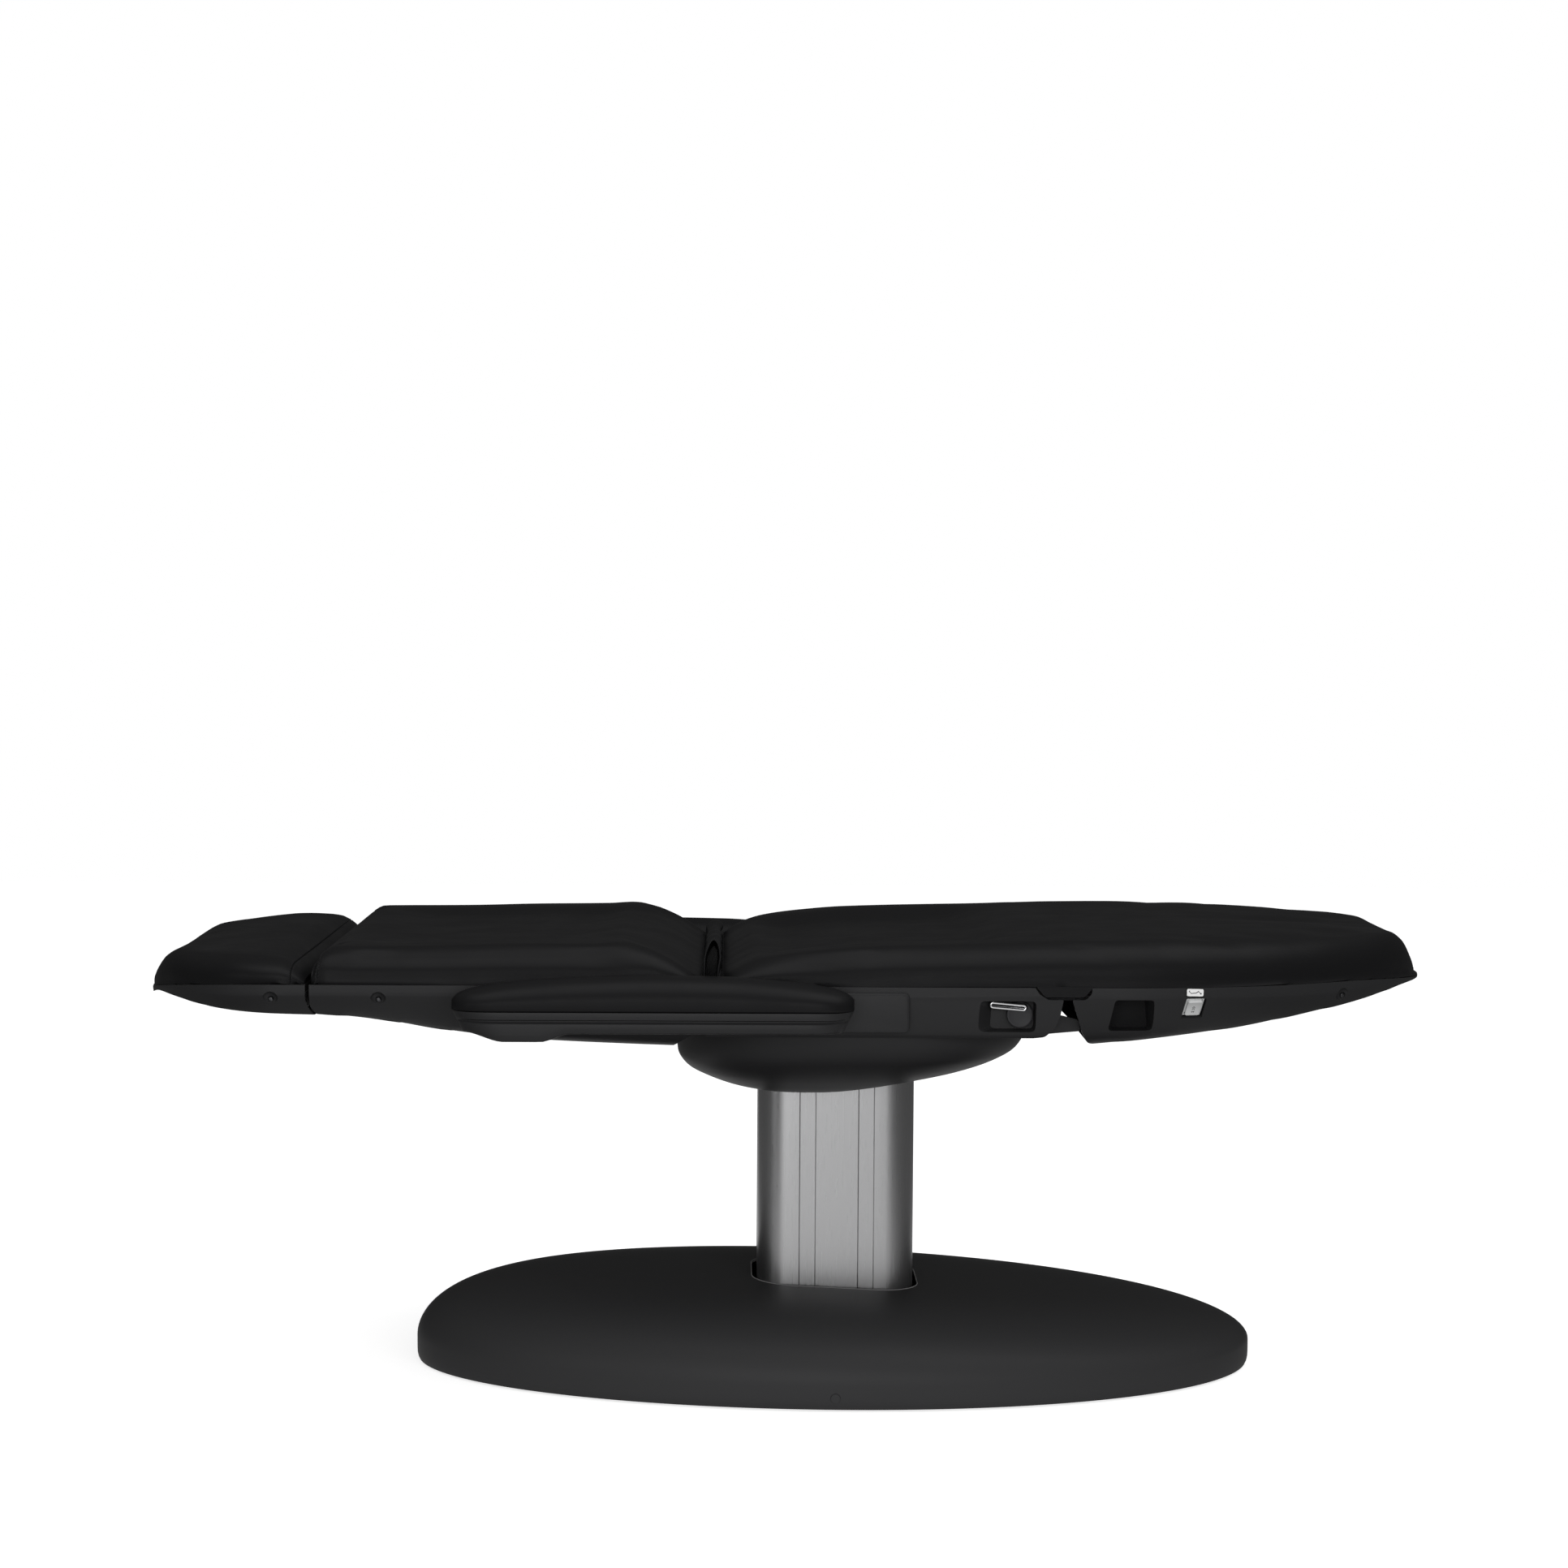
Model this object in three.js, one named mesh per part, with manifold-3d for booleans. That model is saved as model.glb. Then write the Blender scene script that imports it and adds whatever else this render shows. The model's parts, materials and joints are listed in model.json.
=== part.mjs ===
// Electric treatment table. Millimetres, +Z up, X along the table with the head at -X, floor at z 0.
// The shells, cushions and tub are lofts. The driving sizes come first, and fits are made from two clearances.
import * as THREE from "three";
import { mergeVertices } from "three/addons/utils/BufferGeometryUtils.js";
import Module from "manifold-3d";

const wasm = await Module();
wasm.setup();
const { Manifold, Mesh: SolidMesh } = wasm;

// Overall sizes
const HALF_LENGTH = 1000;
const RIM_HALF = 390;
const RIM_Z = 642;
const GAP = 0.3;
const SLIDE_CLEARANCE = 0.4;
const OVERRUN = 40;
const WELD = 2;

// Places along the top and heights of its outlines, as drawn. They stretch with the real length.
const DRAWN = {
  column: 75,
  headNose: 240,
  footNose: 520,
  headDroop: 240,
  footDroop: 180,
  backAxis: -112,
  headAxis: -684,
  legAxis: 402.5,
  armAxis: 50,
  headScrew: -768,
  backScrew: -610,
  legScrew: 832,
  backTubeHead: 50,
  backTubeFoot: 280,
  legTubeHead: 60,
  legTubeFoot: 305,
  backDishStart: -679,
  backDishEnd: -195,
  backDishRun: 120,
  seatDishStart: -85,
  seatDishEnd: 345,
  seatDishRun: 110,
  headBoard: -770,
  legBoard: 810,
  seatCross: 235,
  backCrossSeat: -200,
  backCrossHead: -640,
  headCross: -800,
  legCross: 740,
  headRail: -815,
  legRail: 780,
  seatFlange: 250,
};
const DRAWN_CURVES = {
  headBottom: [[-1000, 593], [-958, 612], [-920, 610], [-860, 601], [-780, 596], [-678, 593]],
  backBottom: [[-716, 596], [-638, 588.5], [-509, 566.5], [-380, 552], [-250, 546], [-130, 542]],
  legBottom: [[400, 545], [448, 548], [560, 560], [670, 574], [775, 593], [880, 611.5], [950, 625],
    [985, 626.5], [1000, 624.5]],
  headTop: [[-1000, 614], [-994, 624], [-984, 634], [-965, 654], [-935, 669], [-890, 674],
    [-820, 680], [-765, 679], [-742, 676], [-728, 669], [-719, 652]],
  backTop: [[-709, 660], [-703, 681], [-690, 690], [-665, 691.5], [-600, 692], [-400, 696],
    [-300, 697], [-255, 699.5], [-215, 695], [-185, 684.5], [-160, 671], [-135, 651]],
  seatTop: [[-105, 651], [-85, 665], [-60, 674], [-30, 680], [20, 687], [100, 694], [250, 699],
    [330, 701.5], [402.2, 704]],
  legTop: [[402.8, 704], [650, 708], [800, 709], [880, 708], [935, 704], [965, 684], [985, 658],
    [995, 643], [1000, 633]],
};
const DRAWN_TUB = [[446, -16, 78, 112], [450, -62, 118, 152], [458, -102, 166, 190], [472, -140, 233, 232],
  [487, -166, 292, 270], [504, -176, 336, 304], [521, -177, 362, 329], [543, -177, 374, 348],
  [563.7, -177, 380, 360]];
const TUB_STEP_IN = 30;
const drawnHalfLength = -DRAWN_CURVES.headBottom[0][0];
const drawnRimHalf = DRAWN_TUB[DRAWN_TUB.length - 1][3] + TUB_STEP_IN;
const along = (x) => (x * HALF_LENGTH) / drawnHalfLength;
const across = (y) => (y * RIM_HALF) / drawnRimHalf;
const stretched = (points) => points.map(([x, z]) => [along(x), z]);
const from = (axis, points) => points.map(([x, z]) => [axis.x + x, z]);

const COLUMN_X = along(DRAWN.column);

// Distances from an axis, the rim or the column to what follows them.
const OFFSETS = {
  backAxisDown: 17,
  headAxisDown: 26,
  legAxisDown: 10,
  armAxisDown: 43,
  armShaftIn: 45,
  armShaftOut: 43,
  headEnd: 33,
  backStart: 27,
  headLip: 18,
  backShellHead: 36,
  backShellSeat: 18,
  headShell: 6,
  legShell: 2.5,
  seatStart: 16,
  stripFar: 76.5,
  stripNear: 42.5,
  bossHead: 32,
  bossFoot: 121,
  bossOut: 7,
  recessIn: 39,
  gripIn: 68,
  headCushion: 35,
  backCushionHead: 25,
  backCushionSeat: 23,
  seatCushion: 7,
  headCross: 49,
  legCross: 47.5,
  columnWalls: 24,
  columnRound: 10,
  headPlate: 14,
  armHead: 547,
  armFoot: 37,
  armOut: 58,
  bulgeStart: 9,
  bulgeEnd: 167,
  rodSlot: 5,
  disc: 66.5,
  loop: 17.5,
  rocker: 190.5,
  gaiterSide: 18,
  boxHead: 150,
  boxFoot: 260,
};

// Plan outline and droop of the shell rim
const HEAD_NOSE = along(DRAWN.headNose);
const FOOT_NOSE = along(DRAWN.footNose);
const HEAD_DROOP = 48;
const HEAD_DROOP_RUN = along(DRAWN.headDroop);
const FOOT_DROOP = 15;
const FOOT_DROOP_RUN = along(DRAWN.footDroop);
const TIP_INSET = 1.5;

// Shells
const WALL = 5;
const RIM_BAND = 17;
const RIM_STEP = 1;
const BAND_SHARE = 0.4;
const SLOPE_INSET_SHARE = 0.75;
const SLOPE_WIDTH_SHARE = 0.4;
const BILGE = 16;
const BELLY_DROP = 4;
const HULL_SHARES = {
  bilge: 0.33,
  side: 0.3,
  sideDrop: 0.42,
  slope: 0.85,
  turn: 0.8,
  turnRise: 0.28,
  bottom: 1.9,
  spread: 0.05,
};
const END_WALLS = 8;
const HEAD_BOTTOM = stretched(DRAWN_CURVES.headBottom);
const BACK_BOTTOM = stretched(DRAWN_CURVES.backBottom);
const LEG_BOTTOM = stretched(DRAWN_CURVES.legBottom);
const HEAD_TOP = stretched(DRAWN_CURVES.headTop);
const BACK_TOP = stretched(DRAWN_CURVES.backTop);
const SEAT_TOP = stretched(DRAWN_CURVES.seatTop);
const LEG_TOP = stretched(DRAWN_CURVES.legTop);
const HEAD_SHELL_STATIONS = [0, 0.012, 0.04, 0.09, 0.16, 0.26, 0.4, 0.55, 0.75, 1];
const BACK_SHELL_STATIONS = [0, 0.13, 0.35, 0.58, 0.8, 1];
const LEG_SHELL_STATIONS = [0, 0.1, 0.25, 0.42, 0.58, 0.7, 0.8, 0.88, 0.94, 0.975, 0.992, 1];

// Joint axes in the XZ plane
const BACK_AXIS = { x: along(DRAWN.backAxis), z: RIM_Z - OFFSETS.backAxisDown };
const HEAD_AXIS = { x: along(DRAWN.headAxis), z: RIM_Z - OFFSETS.headAxisDown };
const LEG_AXIS = { x: along(DRAWN.legAxis), z: RIM_Z - OFFSETS.legAxisDown };
const ARM_AXIS = { x: along(DRAWN.armAxis), z: RIM_Z - OFFSETS.armAxisDown };
const BACK_SHAFT_R = 9;
const HEAD_SHAFT_R = 7;
const LEG_SHAFT_R = 7;
const ARM_SHAFT_R = 13;
const ARM_SHAFT_START = RIM_HALF - OFFSETS.armShaftIn;
const ARM_SHAFT_END = RIM_HALF + OFFSETS.armShaftOut;
const EAR_WALL = 6;
const LEG_EAR_WALL = 2.5;

// Ends of the shells at the joints
const HEAD_END_X = HEAD_AXIS.x - OFFSETS.headEnd;
const BACK_START_X = HEAD_AXIS.x - OFFSETS.backStart;
const HEAD_LIP_X = HEAD_AXIS.x - OFFSETS.headLip;
const HEAD_LIP_R = 31.5;
const BACK_SHELL_X = [HEAD_AXIS.x - OFFSETS.backShellHead, BACK_AXIS.x - OFFSETS.backShellSeat];
const HEAD_SHELL_X = [-HALF_LENGTH, HEAD_AXIS.x + OFFSETS.headShell];
const LEG_SHELL_X = [LEG_AXIS.x - OFFSETS.legShell, HALF_LENGTH];
const BACK_NOSE_R = 28;
const BACK_END_SHAPE = [[-72, 500], [-72, 539], [-38, 565], [-25, 680]];
const BACK_END = from(BACK_AXIS, BACK_END_SHAPE);
const SEAT_START_X = BACK_AXIS.x - OFFSETS.seatStart;
const SEAT_END_SHAPE = [[-21.5, 540], [-21.5, 572], [-6.5, 624.2], [-26.5, 624], [-34.5, 627],
  [-39.5, 634], [-46.5, 642], [-46.5, 690]];
const SEAT_END = from(LEG_AXIS, SEAT_END_SHAPE);
const LEG_START_SHAPE = [[30.5, 500], [28.5, 545], [6.5, 624.2], [28.5, 624], [32.5, 628], [34.5, 634],
  [37.5, 642], [37.5, 690]];
const LEG_START = from(LEG_AXIS, LEG_START_SHAPE);

// Seat shell section, half of it, from the rim down and in
const SEAT_STEPS = [[0, 0], [1, 17], [5, 38], [12, 59], [19, 71], [26, 78]];
const SEAT_SECTION = SEAT_STEPS.map(([inset, drop]) => [RIM_HALF - inset, RIM_Z - drop]);
const SEAT_FLANGE_Y = across(DRAWN.seatFlange);
const SEAT_CAVITY_RISE = 5;
const SEAT_STRIP = { x0: LEG_AXIS.x - OFFSETS.stripFar, x1: LEG_AXIS.x - OFFSETS.stripNear };
const BOSS = {
  x0: ARM_AXIS.x - OFFSETS.bossHead,
  x1: ARM_AXIS.x + OFFSETS.bossFoot,
  z0: 575,
  z1: 634,
  y: RIM_HALF + OFFSETS.bossOut,
  round: 9,
};
const RECESS_MOUTH = [[-136.5, 573], [-44.5, 573], [-44.5, 622], [-124.5, 622]];
const RECESS_FLOOR = [[-110.5, 577], [-45.5, 577], [-45.5, 621], [-106.5, 621]];
const RECESS = {
  mouth: from(LEG_AXIS, RECESS_MOUTH),
  floor: from(LEG_AXIS, RECESS_FLOOR),
  y: RIM_HALF - OFFSETS.recessIn,
};
const GRIP_MOUTH = [[60.5, 571], [137.5, 571], [129.5, 624], [72.5, 624]];
const GRIP_FLOOR = [[69.5, 576], [127.5, 576], [123.5, 619], [77.5, 619]];
const GRIP = {
  mouth: from(LEG_AXIS, GRIP_MOUTH),
  floor: from(LEG_AXIS, GRIP_FLOOR),
  y: RIM_HALF - OFFSETS.gripIn,
};
const SCREW_SCOOP_R = 12;
const SCREW_R = 4.2;
const SCREW_PROUD = 2.4;
const SCOOP_OUT = 1;
const SCOOP_DROP = 4.8;
const SCOOP_WALL = 4;
const SCREW_SEAT_R = 4.4;
const SCREWS = { head: along(DRAWN.headScrew), back: along(DRAWN.backScrew), leg: along(DRAWN.legScrew) };

// Cushions
const CUSHION_HEAD = { x0: -HALF_LENGTH, x1: HEAD_AXIS.x - OFFSETS.headCushion };
const CUSHION_BACK = { x0: HEAD_AXIS.x - OFFSETS.backCushionHead, x1: BACK_AXIS.x - OFFSETS.backCushionSeat };
const CUSHION_SEAT = { x0: BACK_AXIS.x + OFFSETS.seatCushion, x1: LEG_AXIS.x - GAP };
const CUSHION_LEG = { x0: LEG_AXIS.x + GAP, x1: HALF_LENGTH };
const SHOULDER_WIDTH = 58;
const SHOULDER_SHARE = 0.3;
const SIDE_TUCK = 5;
const DISH_START = 95;
const DISH_END = 170;
const CUSHION_SHARES = { shoulder: 0.6, start: 0.7, end: 0.85, tuck: 0.2, tip: 0.4, foot: 0.08, least: 0.03 };
const DISH_SHARES = [0.12, 0.6, 0.95, 1];
const SHOULDER_SHARES = [0.25, 0.5, 0.75, 1];
const BACK_DISH = {
  deep: 9,
  x0: along(DRAWN.backDishStart),
  x1: along(DRAWN.backDishEnd),
  run: along(DRAWN.backDishRun),
};
const SEAT_DISH = {
  deep: 14,
  x0: along(DRAWN.seatDishStart),
  x1: along(DRAWN.seatDishEnd),
  run: along(DRAWN.seatDishRun),
};
const HEAD_TUCK = { run: 36, deep: 9 };
const BACK_HEAD_TUCK = { run: 24, deep: 9 };
const BACK_SEAT_TUCK = { run: 60, deep: 9 };
const HEAD_TIP_SHARE = 0.004;
const HEAD_EDGE_SHARES = [0.9, 0.95, 0.98, 1];
// Along the nose the cushion's rings stand over those of the shell, so their faces run side by side.
const headShellShare = (HEAD_SHELL_X[1] - HEAD_SHELL_X[0]) / (CUSHION_HEAD.x1 - CUSHION_HEAD.x0);
const overShell = HEAD_SHELL_STATIONS.map((s) => s * headShellShare);
const HEAD_STATIONS = [
  HEAD_TIP_SHARE,
  ...overShell.filter((s) => s > HEAD_TIP_SHARE && s < HEAD_EDGE_SHARES[0]),
  ...HEAD_EDGE_SHARES,
];
const BACK_STATIONS = [0, 0.008, 0.025, 0.055, 0.11, 0.2, 0.35, 0.5, 0.65, 0.75, 0.82, 0.88, 0.93, 0.965, 1];
const SEAT_STATIONS = [0, 0.03, 0.07, 0.12, 0.2, 0.32, 0.47, 0.62, 0.74, 0.84, 0.92, 1];
const LEG_STATIONS = [0, 0.15, 0.3, 0.45, 0.58, 0.7, 0.79, 0.86, 0.91, 0.95, 0.975, 0.99, 0.998];

// Boards and frames
const BOARD_T = 12;
const BOARD_Z0 = RIM_Z - GAP - BOARD_T;
const FRAME_TOP = BOARD_Z0 - GAP;
const RAIL_H = 26;
const RAIL_W = 30;
const FRAME_Z0 = FRAME_TOP - RAIL_H;
const SEAT_RAIL_Y = 235;
const INNER_RAIL_Y = 204.5;
const HEAD_RAIL_Y = 120;
const HEAD_EAR_Y = 150.5;
const HEAD_TONGUE_RISE = 8;
const BOARD_INSET = 17;
const LEG_BOARD_INSET = 30;
const BACK_BOARD_GAP = 3;
const LEG_BOARD_GAP = 6;
const HEAD_BOARD_X0 = along(DRAWN.headBoard);
const LEG_BOARD_X1 = along(DRAWN.legBoard);
const SEAT_CROSS = [ARM_AXIS.x, along(DRAWN.seatCross)];
const BACK_CROSS = [along(DRAWN.backCrossSeat), along(DRAWN.backCrossHead)];
const HEAD_CROSS = [along(DRAWN.headCross), HEAD_AXIS.x - OFFSETS.headCross];
const LEG_CROSS = [LEG_AXIS.x + OFFSETS.legCross, along(DRAWN.legCross)];
const HEAD_RAIL_X0 = along(DRAWN.headRail);
const LEG_RAIL_X1 = along(DRAWN.legRail);
const LEVER_T = 8;
const LEVER_HALF = 13;
const ACTUATOR_Y = 160;

// Column and lift
const COLUMN = { length: 246, depth: 214, round: 46, z0: 16, z1: 576 };
const GROOVE_SHARES = [-0.2358, -0.1341, 0.1341, 0.2358];
const GROOVES = GROOVE_SHARES.map((share) => share * COLUMN.length);
const GROOVE = { half: 2.2, deep: 1.6 };
const SIDE_GROOVE_SHARES = [-0.14, 0.14];
const SIDE_GROOVES = SIDE_GROOVE_SHARES.map((share) => share * COLUMN.depth);
const INNER = {
  length: COLUMN.length - OFFSETS.columnWalls,
  depth: COLUMN.depth - OFFSETS.columnWalls,
  round: COLUMN.round - OFFSETS.columnRound,
  wall: 6,
  z0: 40,
};
const HEAD_PLATE = { length: COLUMN.length + OFFSETS.headPlate, depth: 500, t: 12 };
const MOTOR = { r: 40, height: 110, tubeR: 29, top: 500, boreR: 22.4, floor: 125 };
const ROD_R = 22;

// Base
const BASE = { a: 665, b: 358, wall: 4, z0: 4, edge: 39, rise: 98, eggShare: -0.05, slantShare: 0.048 };
const BASE_PROFILE = [[4, 3.5], [12, 0.5], [28, 0]];
const DOME_POWER = 4.4;
const DOME_DEGREES = [0, 18, 34, 48, 60, 71, 79, 84];
const COLUMN_OPENING = { margin: 9, round: 54 };
const PLATE = { z0: 7, t: 9, inset: 2.5 };
const FOOT = { r: 24, x: 440, y: 170 };
const PLUG = { x: 67, z: 22, r: 7, proud: 1.2, inner: 1 };
const INLET = { x: 160, z: 32, r: 11, length: 26, socketR: 6.6, socketDepth: 13 };
const EGG_SEGMENTS = 36;

// Tub
const TUB_RINGS = DRAWN_TUB.map(([z, x0, x1, y]) => [z, along(x0), along(x1), across(y)]);
const TUB_POWER = 2.6;
const TUB_WALL = 5;
const TUB_SEGMENTS = 30;
const TUB_END_SHAPE = [[-78, 527], [-65, 527], [-29, 556], [-19, 563.7], [-19, 600], [-78, 600]];
const TUB_END = from(BACK_AXIS, TUB_END_SHAPE);
const TUB_OPENING_MARGIN = 5;

// Armrests
const ARM = {
  x0: ARM_AXIS.x - OFFSETS.armHead,
  x1: ARM_AXIS.x + OFFSETS.armFoot,
  y: RIM_HALF + OFFSETS.armOut,
  half: 50,
  noseLeft: 75,
  noseRight: 60,
};
const PAD_Z0 = 616;
const PAD_CROWN = [[-547, 629], [-538, 638], [-515, 646], [-453, 655], [-350, 662], [-255, 664.5],
  [-150, 663], [-70, 657], [0, 648], [26, 640], [37, 631]];
const PAD_TOP = from(ARM_AXIS, PAD_CROWN);
const TIER_SHARES = [0.99, 0.985, 0.95, 0.925, 0.93, 0.965, 0.955, 0.9, 0.78];
const TIER_HEIGHTS = [615.7, 607, 604.5, 602, 599.5, 597, 591, 586.5, 584];
const TIER_TAPER_SHARE = 0.055;
const BULGE = { x0: ARM.x0 + OFFSETS.bulgeStart, x1: ARM.x0 + OFFSETS.bulgeEnd, drop: 12, run: 50, tier: 6 };
const ARM_STATIONS = [0.003, 0.015, 0.045, 0.1, 0.19, 0.3, 0.5, 0.72, 0.87, 0.94, 0.98, 0.996];
const PAD_SHARES = { foot: 0.93, side: 0.99, sideRise: 0.12, rise: 0.35, roundness: 0.8 };
const PAD_ARC_SHARES = [0.3, 0.6, 0.82];

// Actuators under the top
const BACK_LEVER = { drop: 55, startDegrees: 33, play: 2.2 };
const LEG_LEVER = { drop: 86, startDegrees: 14, play: 0.6 };
const PIN_R = 5;
const PIN_PLAY = 1;
const PUSH_R = 9;
const PUSH_TUBE_R = 16;
const EYE_R = 12;
const EYE_HALF = 9;
const GEARBOX = { length: 60, half: 22.4, drop: 27.2, rise: 16 };
const ROD_INSIDE = 90;
const BACK_PUSH = { x0: along(DRAWN.backTubeHead), x1: along(DRAWN.backTubeFoot) };
const LEG_PUSH = { x0: along(DRAWN.legTubeHead), x1: along(DRAWN.legTubeFoot) };
const LEG_ROD_SLOT = { x0: LEG_PUSH.x1 - OFFSETS.rodSlot, half: 30 };
const LEVER_NOTCH = { x1: LEG_AXIS.x + OFFSETS.legCross, half: 26, z1: 600 };

// Small parts
const DISC = { x: LEG_AXIS.x - OFFSETS.disc, z: 599, r: 19.5, t: 13 };
const LOOP = {
  x: DISC.x - OFFSETS.loop,
  z: 612.3,
  half: 26,
  high: 3.4,
  bar: 2.6,
  tiltDegrees: 5,
  segments: 10,
};
const ROCKER = {
  x: LEG_AXIS.x + OFFSETS.rocker,
  share: 0.3,
  width: 22,
  length: 30,
  t: 3.2,
  depth: 5,
  bed: 14,
  well: 11,
  play: 0.6,
};
const BEZEL = { width: 27, length: 35, t: 1.8 };
const LABEL = { x: ROCKER.x, z: 634.5, width: 27, height: 12.5, t: 1.2, tiltDegrees: 4 };
const GAITER_PATH = [[-19.5, 648], [-19.5, 656], [-17, 665], [-9, 673], [-2, 675], [6, 671], [10, 664],
  [6, 657], [4.5, 648]];
const GAITER = from(BACK_AXIS, GAITER_PATH);
const GAITER_T = 3.4;
const GAITER_HALF = RIM_HALF - OFFSETS.gaiterSide;
const CONTROL_BOX = { x0: COLUMN_X + OFFSETS.boxHead, x1: COLUMN_X + OFFSETS.boxFoot, y: 75, z0: 571 };

const ROUND_SEGMENTS = 20;
const SMALL_SEGMENTS = 14;
const SCOOP_SEGMENTS = 12;
const NOSE_SEGMENTS = 48;
const MERGE = 1e-4;

// Solids and meshes.

function toSolid(geometry) {
  const bare = new THREE.BufferGeometry();
  const source = geometry.index ? geometry.toNonIndexed() : geometry;
  bare.setAttribute("position", source.getAttribute("position").clone());
  const merged = mergeVertices(bare, MERGE);
  const triVerts = new Uint32Array(merged.index.array);
  const vertProperties = new Float32Array(merged.attributes.position.array);
  return new Manifold(new SolidMesh({ numProp: 3, vertProperties, triVerts }));
}

function toGeometry(solid) {
  const mesh = solid.getMesh();
  const geometry = new THREE.BufferGeometry();
  geometry.setAttribute("position", new THREE.BufferAttribute(new Float32Array(mesh.vertProperties), 3));
  geometry.setIndex(new THREE.BufferAttribute(new Uint32Array(mesh.triVerts), 1));
  return geometry;
}

function union(...solids) {
  return solids.reduce((all, solid) => all.add(solid));
}

function cut(solid, ...tools) {
  return tools.reduce((left, tool) => left.subtract(tool), solid);
}

const group = new THREE.Group();

function addMesh(name, solid, colour, gloss = 0.5, metal = 0) {
  const material = new THREE.MeshStandardMaterial({ color: colour, roughness: gloss, metalness: metal });
  const mesh = new THREE.Mesh(toGeometry(solid), material);
  mesh.name = name;
  group.add(mesh);
}

// Curves.

// Smooth rise through a few points, without overshoot.
function curve(points, x) {
  const last = points.length - 1;
  if (x <= points[0][0]) return points[0][1];
  if (x >= points[last][0]) return points[last][1];
  const secant = points.slice(1).map((p, i) => (p[1] - points[i][1]) / (p[0] - points[i][0]));
  const slope = points.map((_, i) => {
    if (i === 0) return secant[0];
    if (i === last) return secant[last - 1];
    const a = secant[i - 1];
    const b = secant[i];
    return a * b <= 0 ? 0 : (2 * a * b) / (a + b);
  });
  const k = points.findIndex((p) => p[0] > x) - 1;
  const [x0, y0] = points[k];
  const [x1, y1] = points[k + 1];
  const h = x1 - x0;
  const t = (x - x0) / h;
  const s = 1 - t;
  const left = s * s * ((1 + t + t) * y0 + t * h * slope[k]);
  const right = t * t * ((1 + s + s) * y1 - s * h * slope[k + 1]);
  return left + right;
}

function rimHalf(x) {
  const headRun = (-HALF_LENGTH + HEAD_NOSE - x) / HEAD_NOSE;
  const footRun = (x - HALF_LENGTH + FOOT_NOSE) / FOOT_NOSE;
  const run = Math.min(1, Math.max(headRun, footRun, 0));
  return RIM_HALF * Math.sqrt(1 - run * run);
}

function rimZ(x) {
  const head = Math.min(1, Math.max(0, 1 - (x + HALF_LENGTH) / HEAD_DROOP_RUN));
  const foot = Math.max(0, 1 - (HALF_LENGTH - x) / FOOT_DROOP_RUN);
  return RIM_Z - HEAD_DROOP * (1 - Math.sqrt(1 - head * head)) - FOOT_DROOP * foot * foot;
}

// Building blocks.

function loft(rings) {
  const count = rings[0].length;
  const positions = [];
  const put = (a, b, c) => positions.push(a.x, a.y, a.z, b.x, b.y, b.z, c.x, c.y, c.z);
  const middle = (ring) => ring.reduce((sum, p) => sum.add(p), new THREE.Vector3()).divideScalar(count);
  const first = rings[0];
  const final = rings[rings.length - 1];
  const startMiddle = middle(first);
  const endMiddle = middle(final);
  for (let i = 0; i < count; i++) {
    const j = (i + 1) % count;
    for (let k = 0; k + 1 < rings.length; k++) {
      const [a, b] = [rings[k], rings[k + 1]];
      put(a[i], a[j], b[j]);
      put(a[i], b[j], b[i]);
    }
    put(startMiddle, first[j], first[i]);
    put(endMiddle, final[i], final[j]);
  }
  const geometry = new THREE.BufferGeometry();
  geometry.setAttribute("position", new THREE.Float32BufferAttribute(positions, 3));
  const solid = toSolid(geometry);
  return solid.volume() < 0 ? toSolid(flipped(geometry)) : solid;
}

function flipped(geometry) {
  const p = geometry.getAttribute("position");
  const turned = [];
  for (let i = 0; i < p.count; i += 3) {
    for (const k of [i, i + 2, i + 1]) turned.push(p.getX(k), p.getY(k), p.getZ(k));
  }
  const out = new THREE.BufferGeometry();
  out.setAttribute("position", new THREE.Float32BufferAttribute(turned, 3));
  return out;
}

// A ring across the table at x, from half a section of [y, z] points.
function crossRing(x, half) {
  const right = half.map(([y, z]) => new THREE.Vector3(x, y, z));
  const last = half.length - 1;
  const sides = half.filter(([y], i) => y > 0 || (i > 0 && i < last));
  const left = sides.map(([y, z]) => new THREE.Vector3(x, -y, z));
  return [...right, ...left.reverse()];
}

function box(x0, x1, y0, y1, z0, z1) {
  const geometry = new THREE.BoxGeometry(x1 - x0, y1 - y0, z1 - z0);
  geometry.translate((x0 + x1) / 2, (y0 + y1) / 2, (z0 + z1) / 2);
  return toSolid(geometry);
}

// A prism across the table from an outline of [x, z] points.
function slab(points, y0, y1) {
  const shape = new THREE.Shape(points.map(([x, z]) => new THREE.Vector2(x, z)));
  const geometry = new THREE.ExtrudeGeometry(shape, { depth: y1 - y0, bevelEnabled: false });
  geometry.rotateX(Math.PI / 2);
  geometry.translate(0, y1, 0);
  return toSolid(geometry);
}

function bar(x, z, r, y0, y1, segments = ROUND_SEGMENTS) {
  const geometry = new THREE.CylinderGeometry(r, r, y1 - y0, segments);
  geometry.translate(x, (y0 + y1) / 2, z);
  return toSolid(geometry);
}

function post(x, y, r, z0, z1, segments = ROUND_SEGMENTS) {
  const geometry = new THREE.CylinderGeometry(r, r, z1 - z0, segments);
  geometry.rotateX(Math.PI / 2);
  geometry.translate(x, y, (z0 + z1) / 2);
  return toSolid(geometry);
}

function rodAlong(x0, x1, y, z, r, segments = ROUND_SEGMENTS) {
  const geometry = new THREE.CylinderGeometry(r, r, x1 - x0, segments);
  geometry.rotateZ(Math.PI / 2);
  geometry.translate((x0 + x1) / 2, y, z);
  return toSolid(geometry);
}

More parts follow.
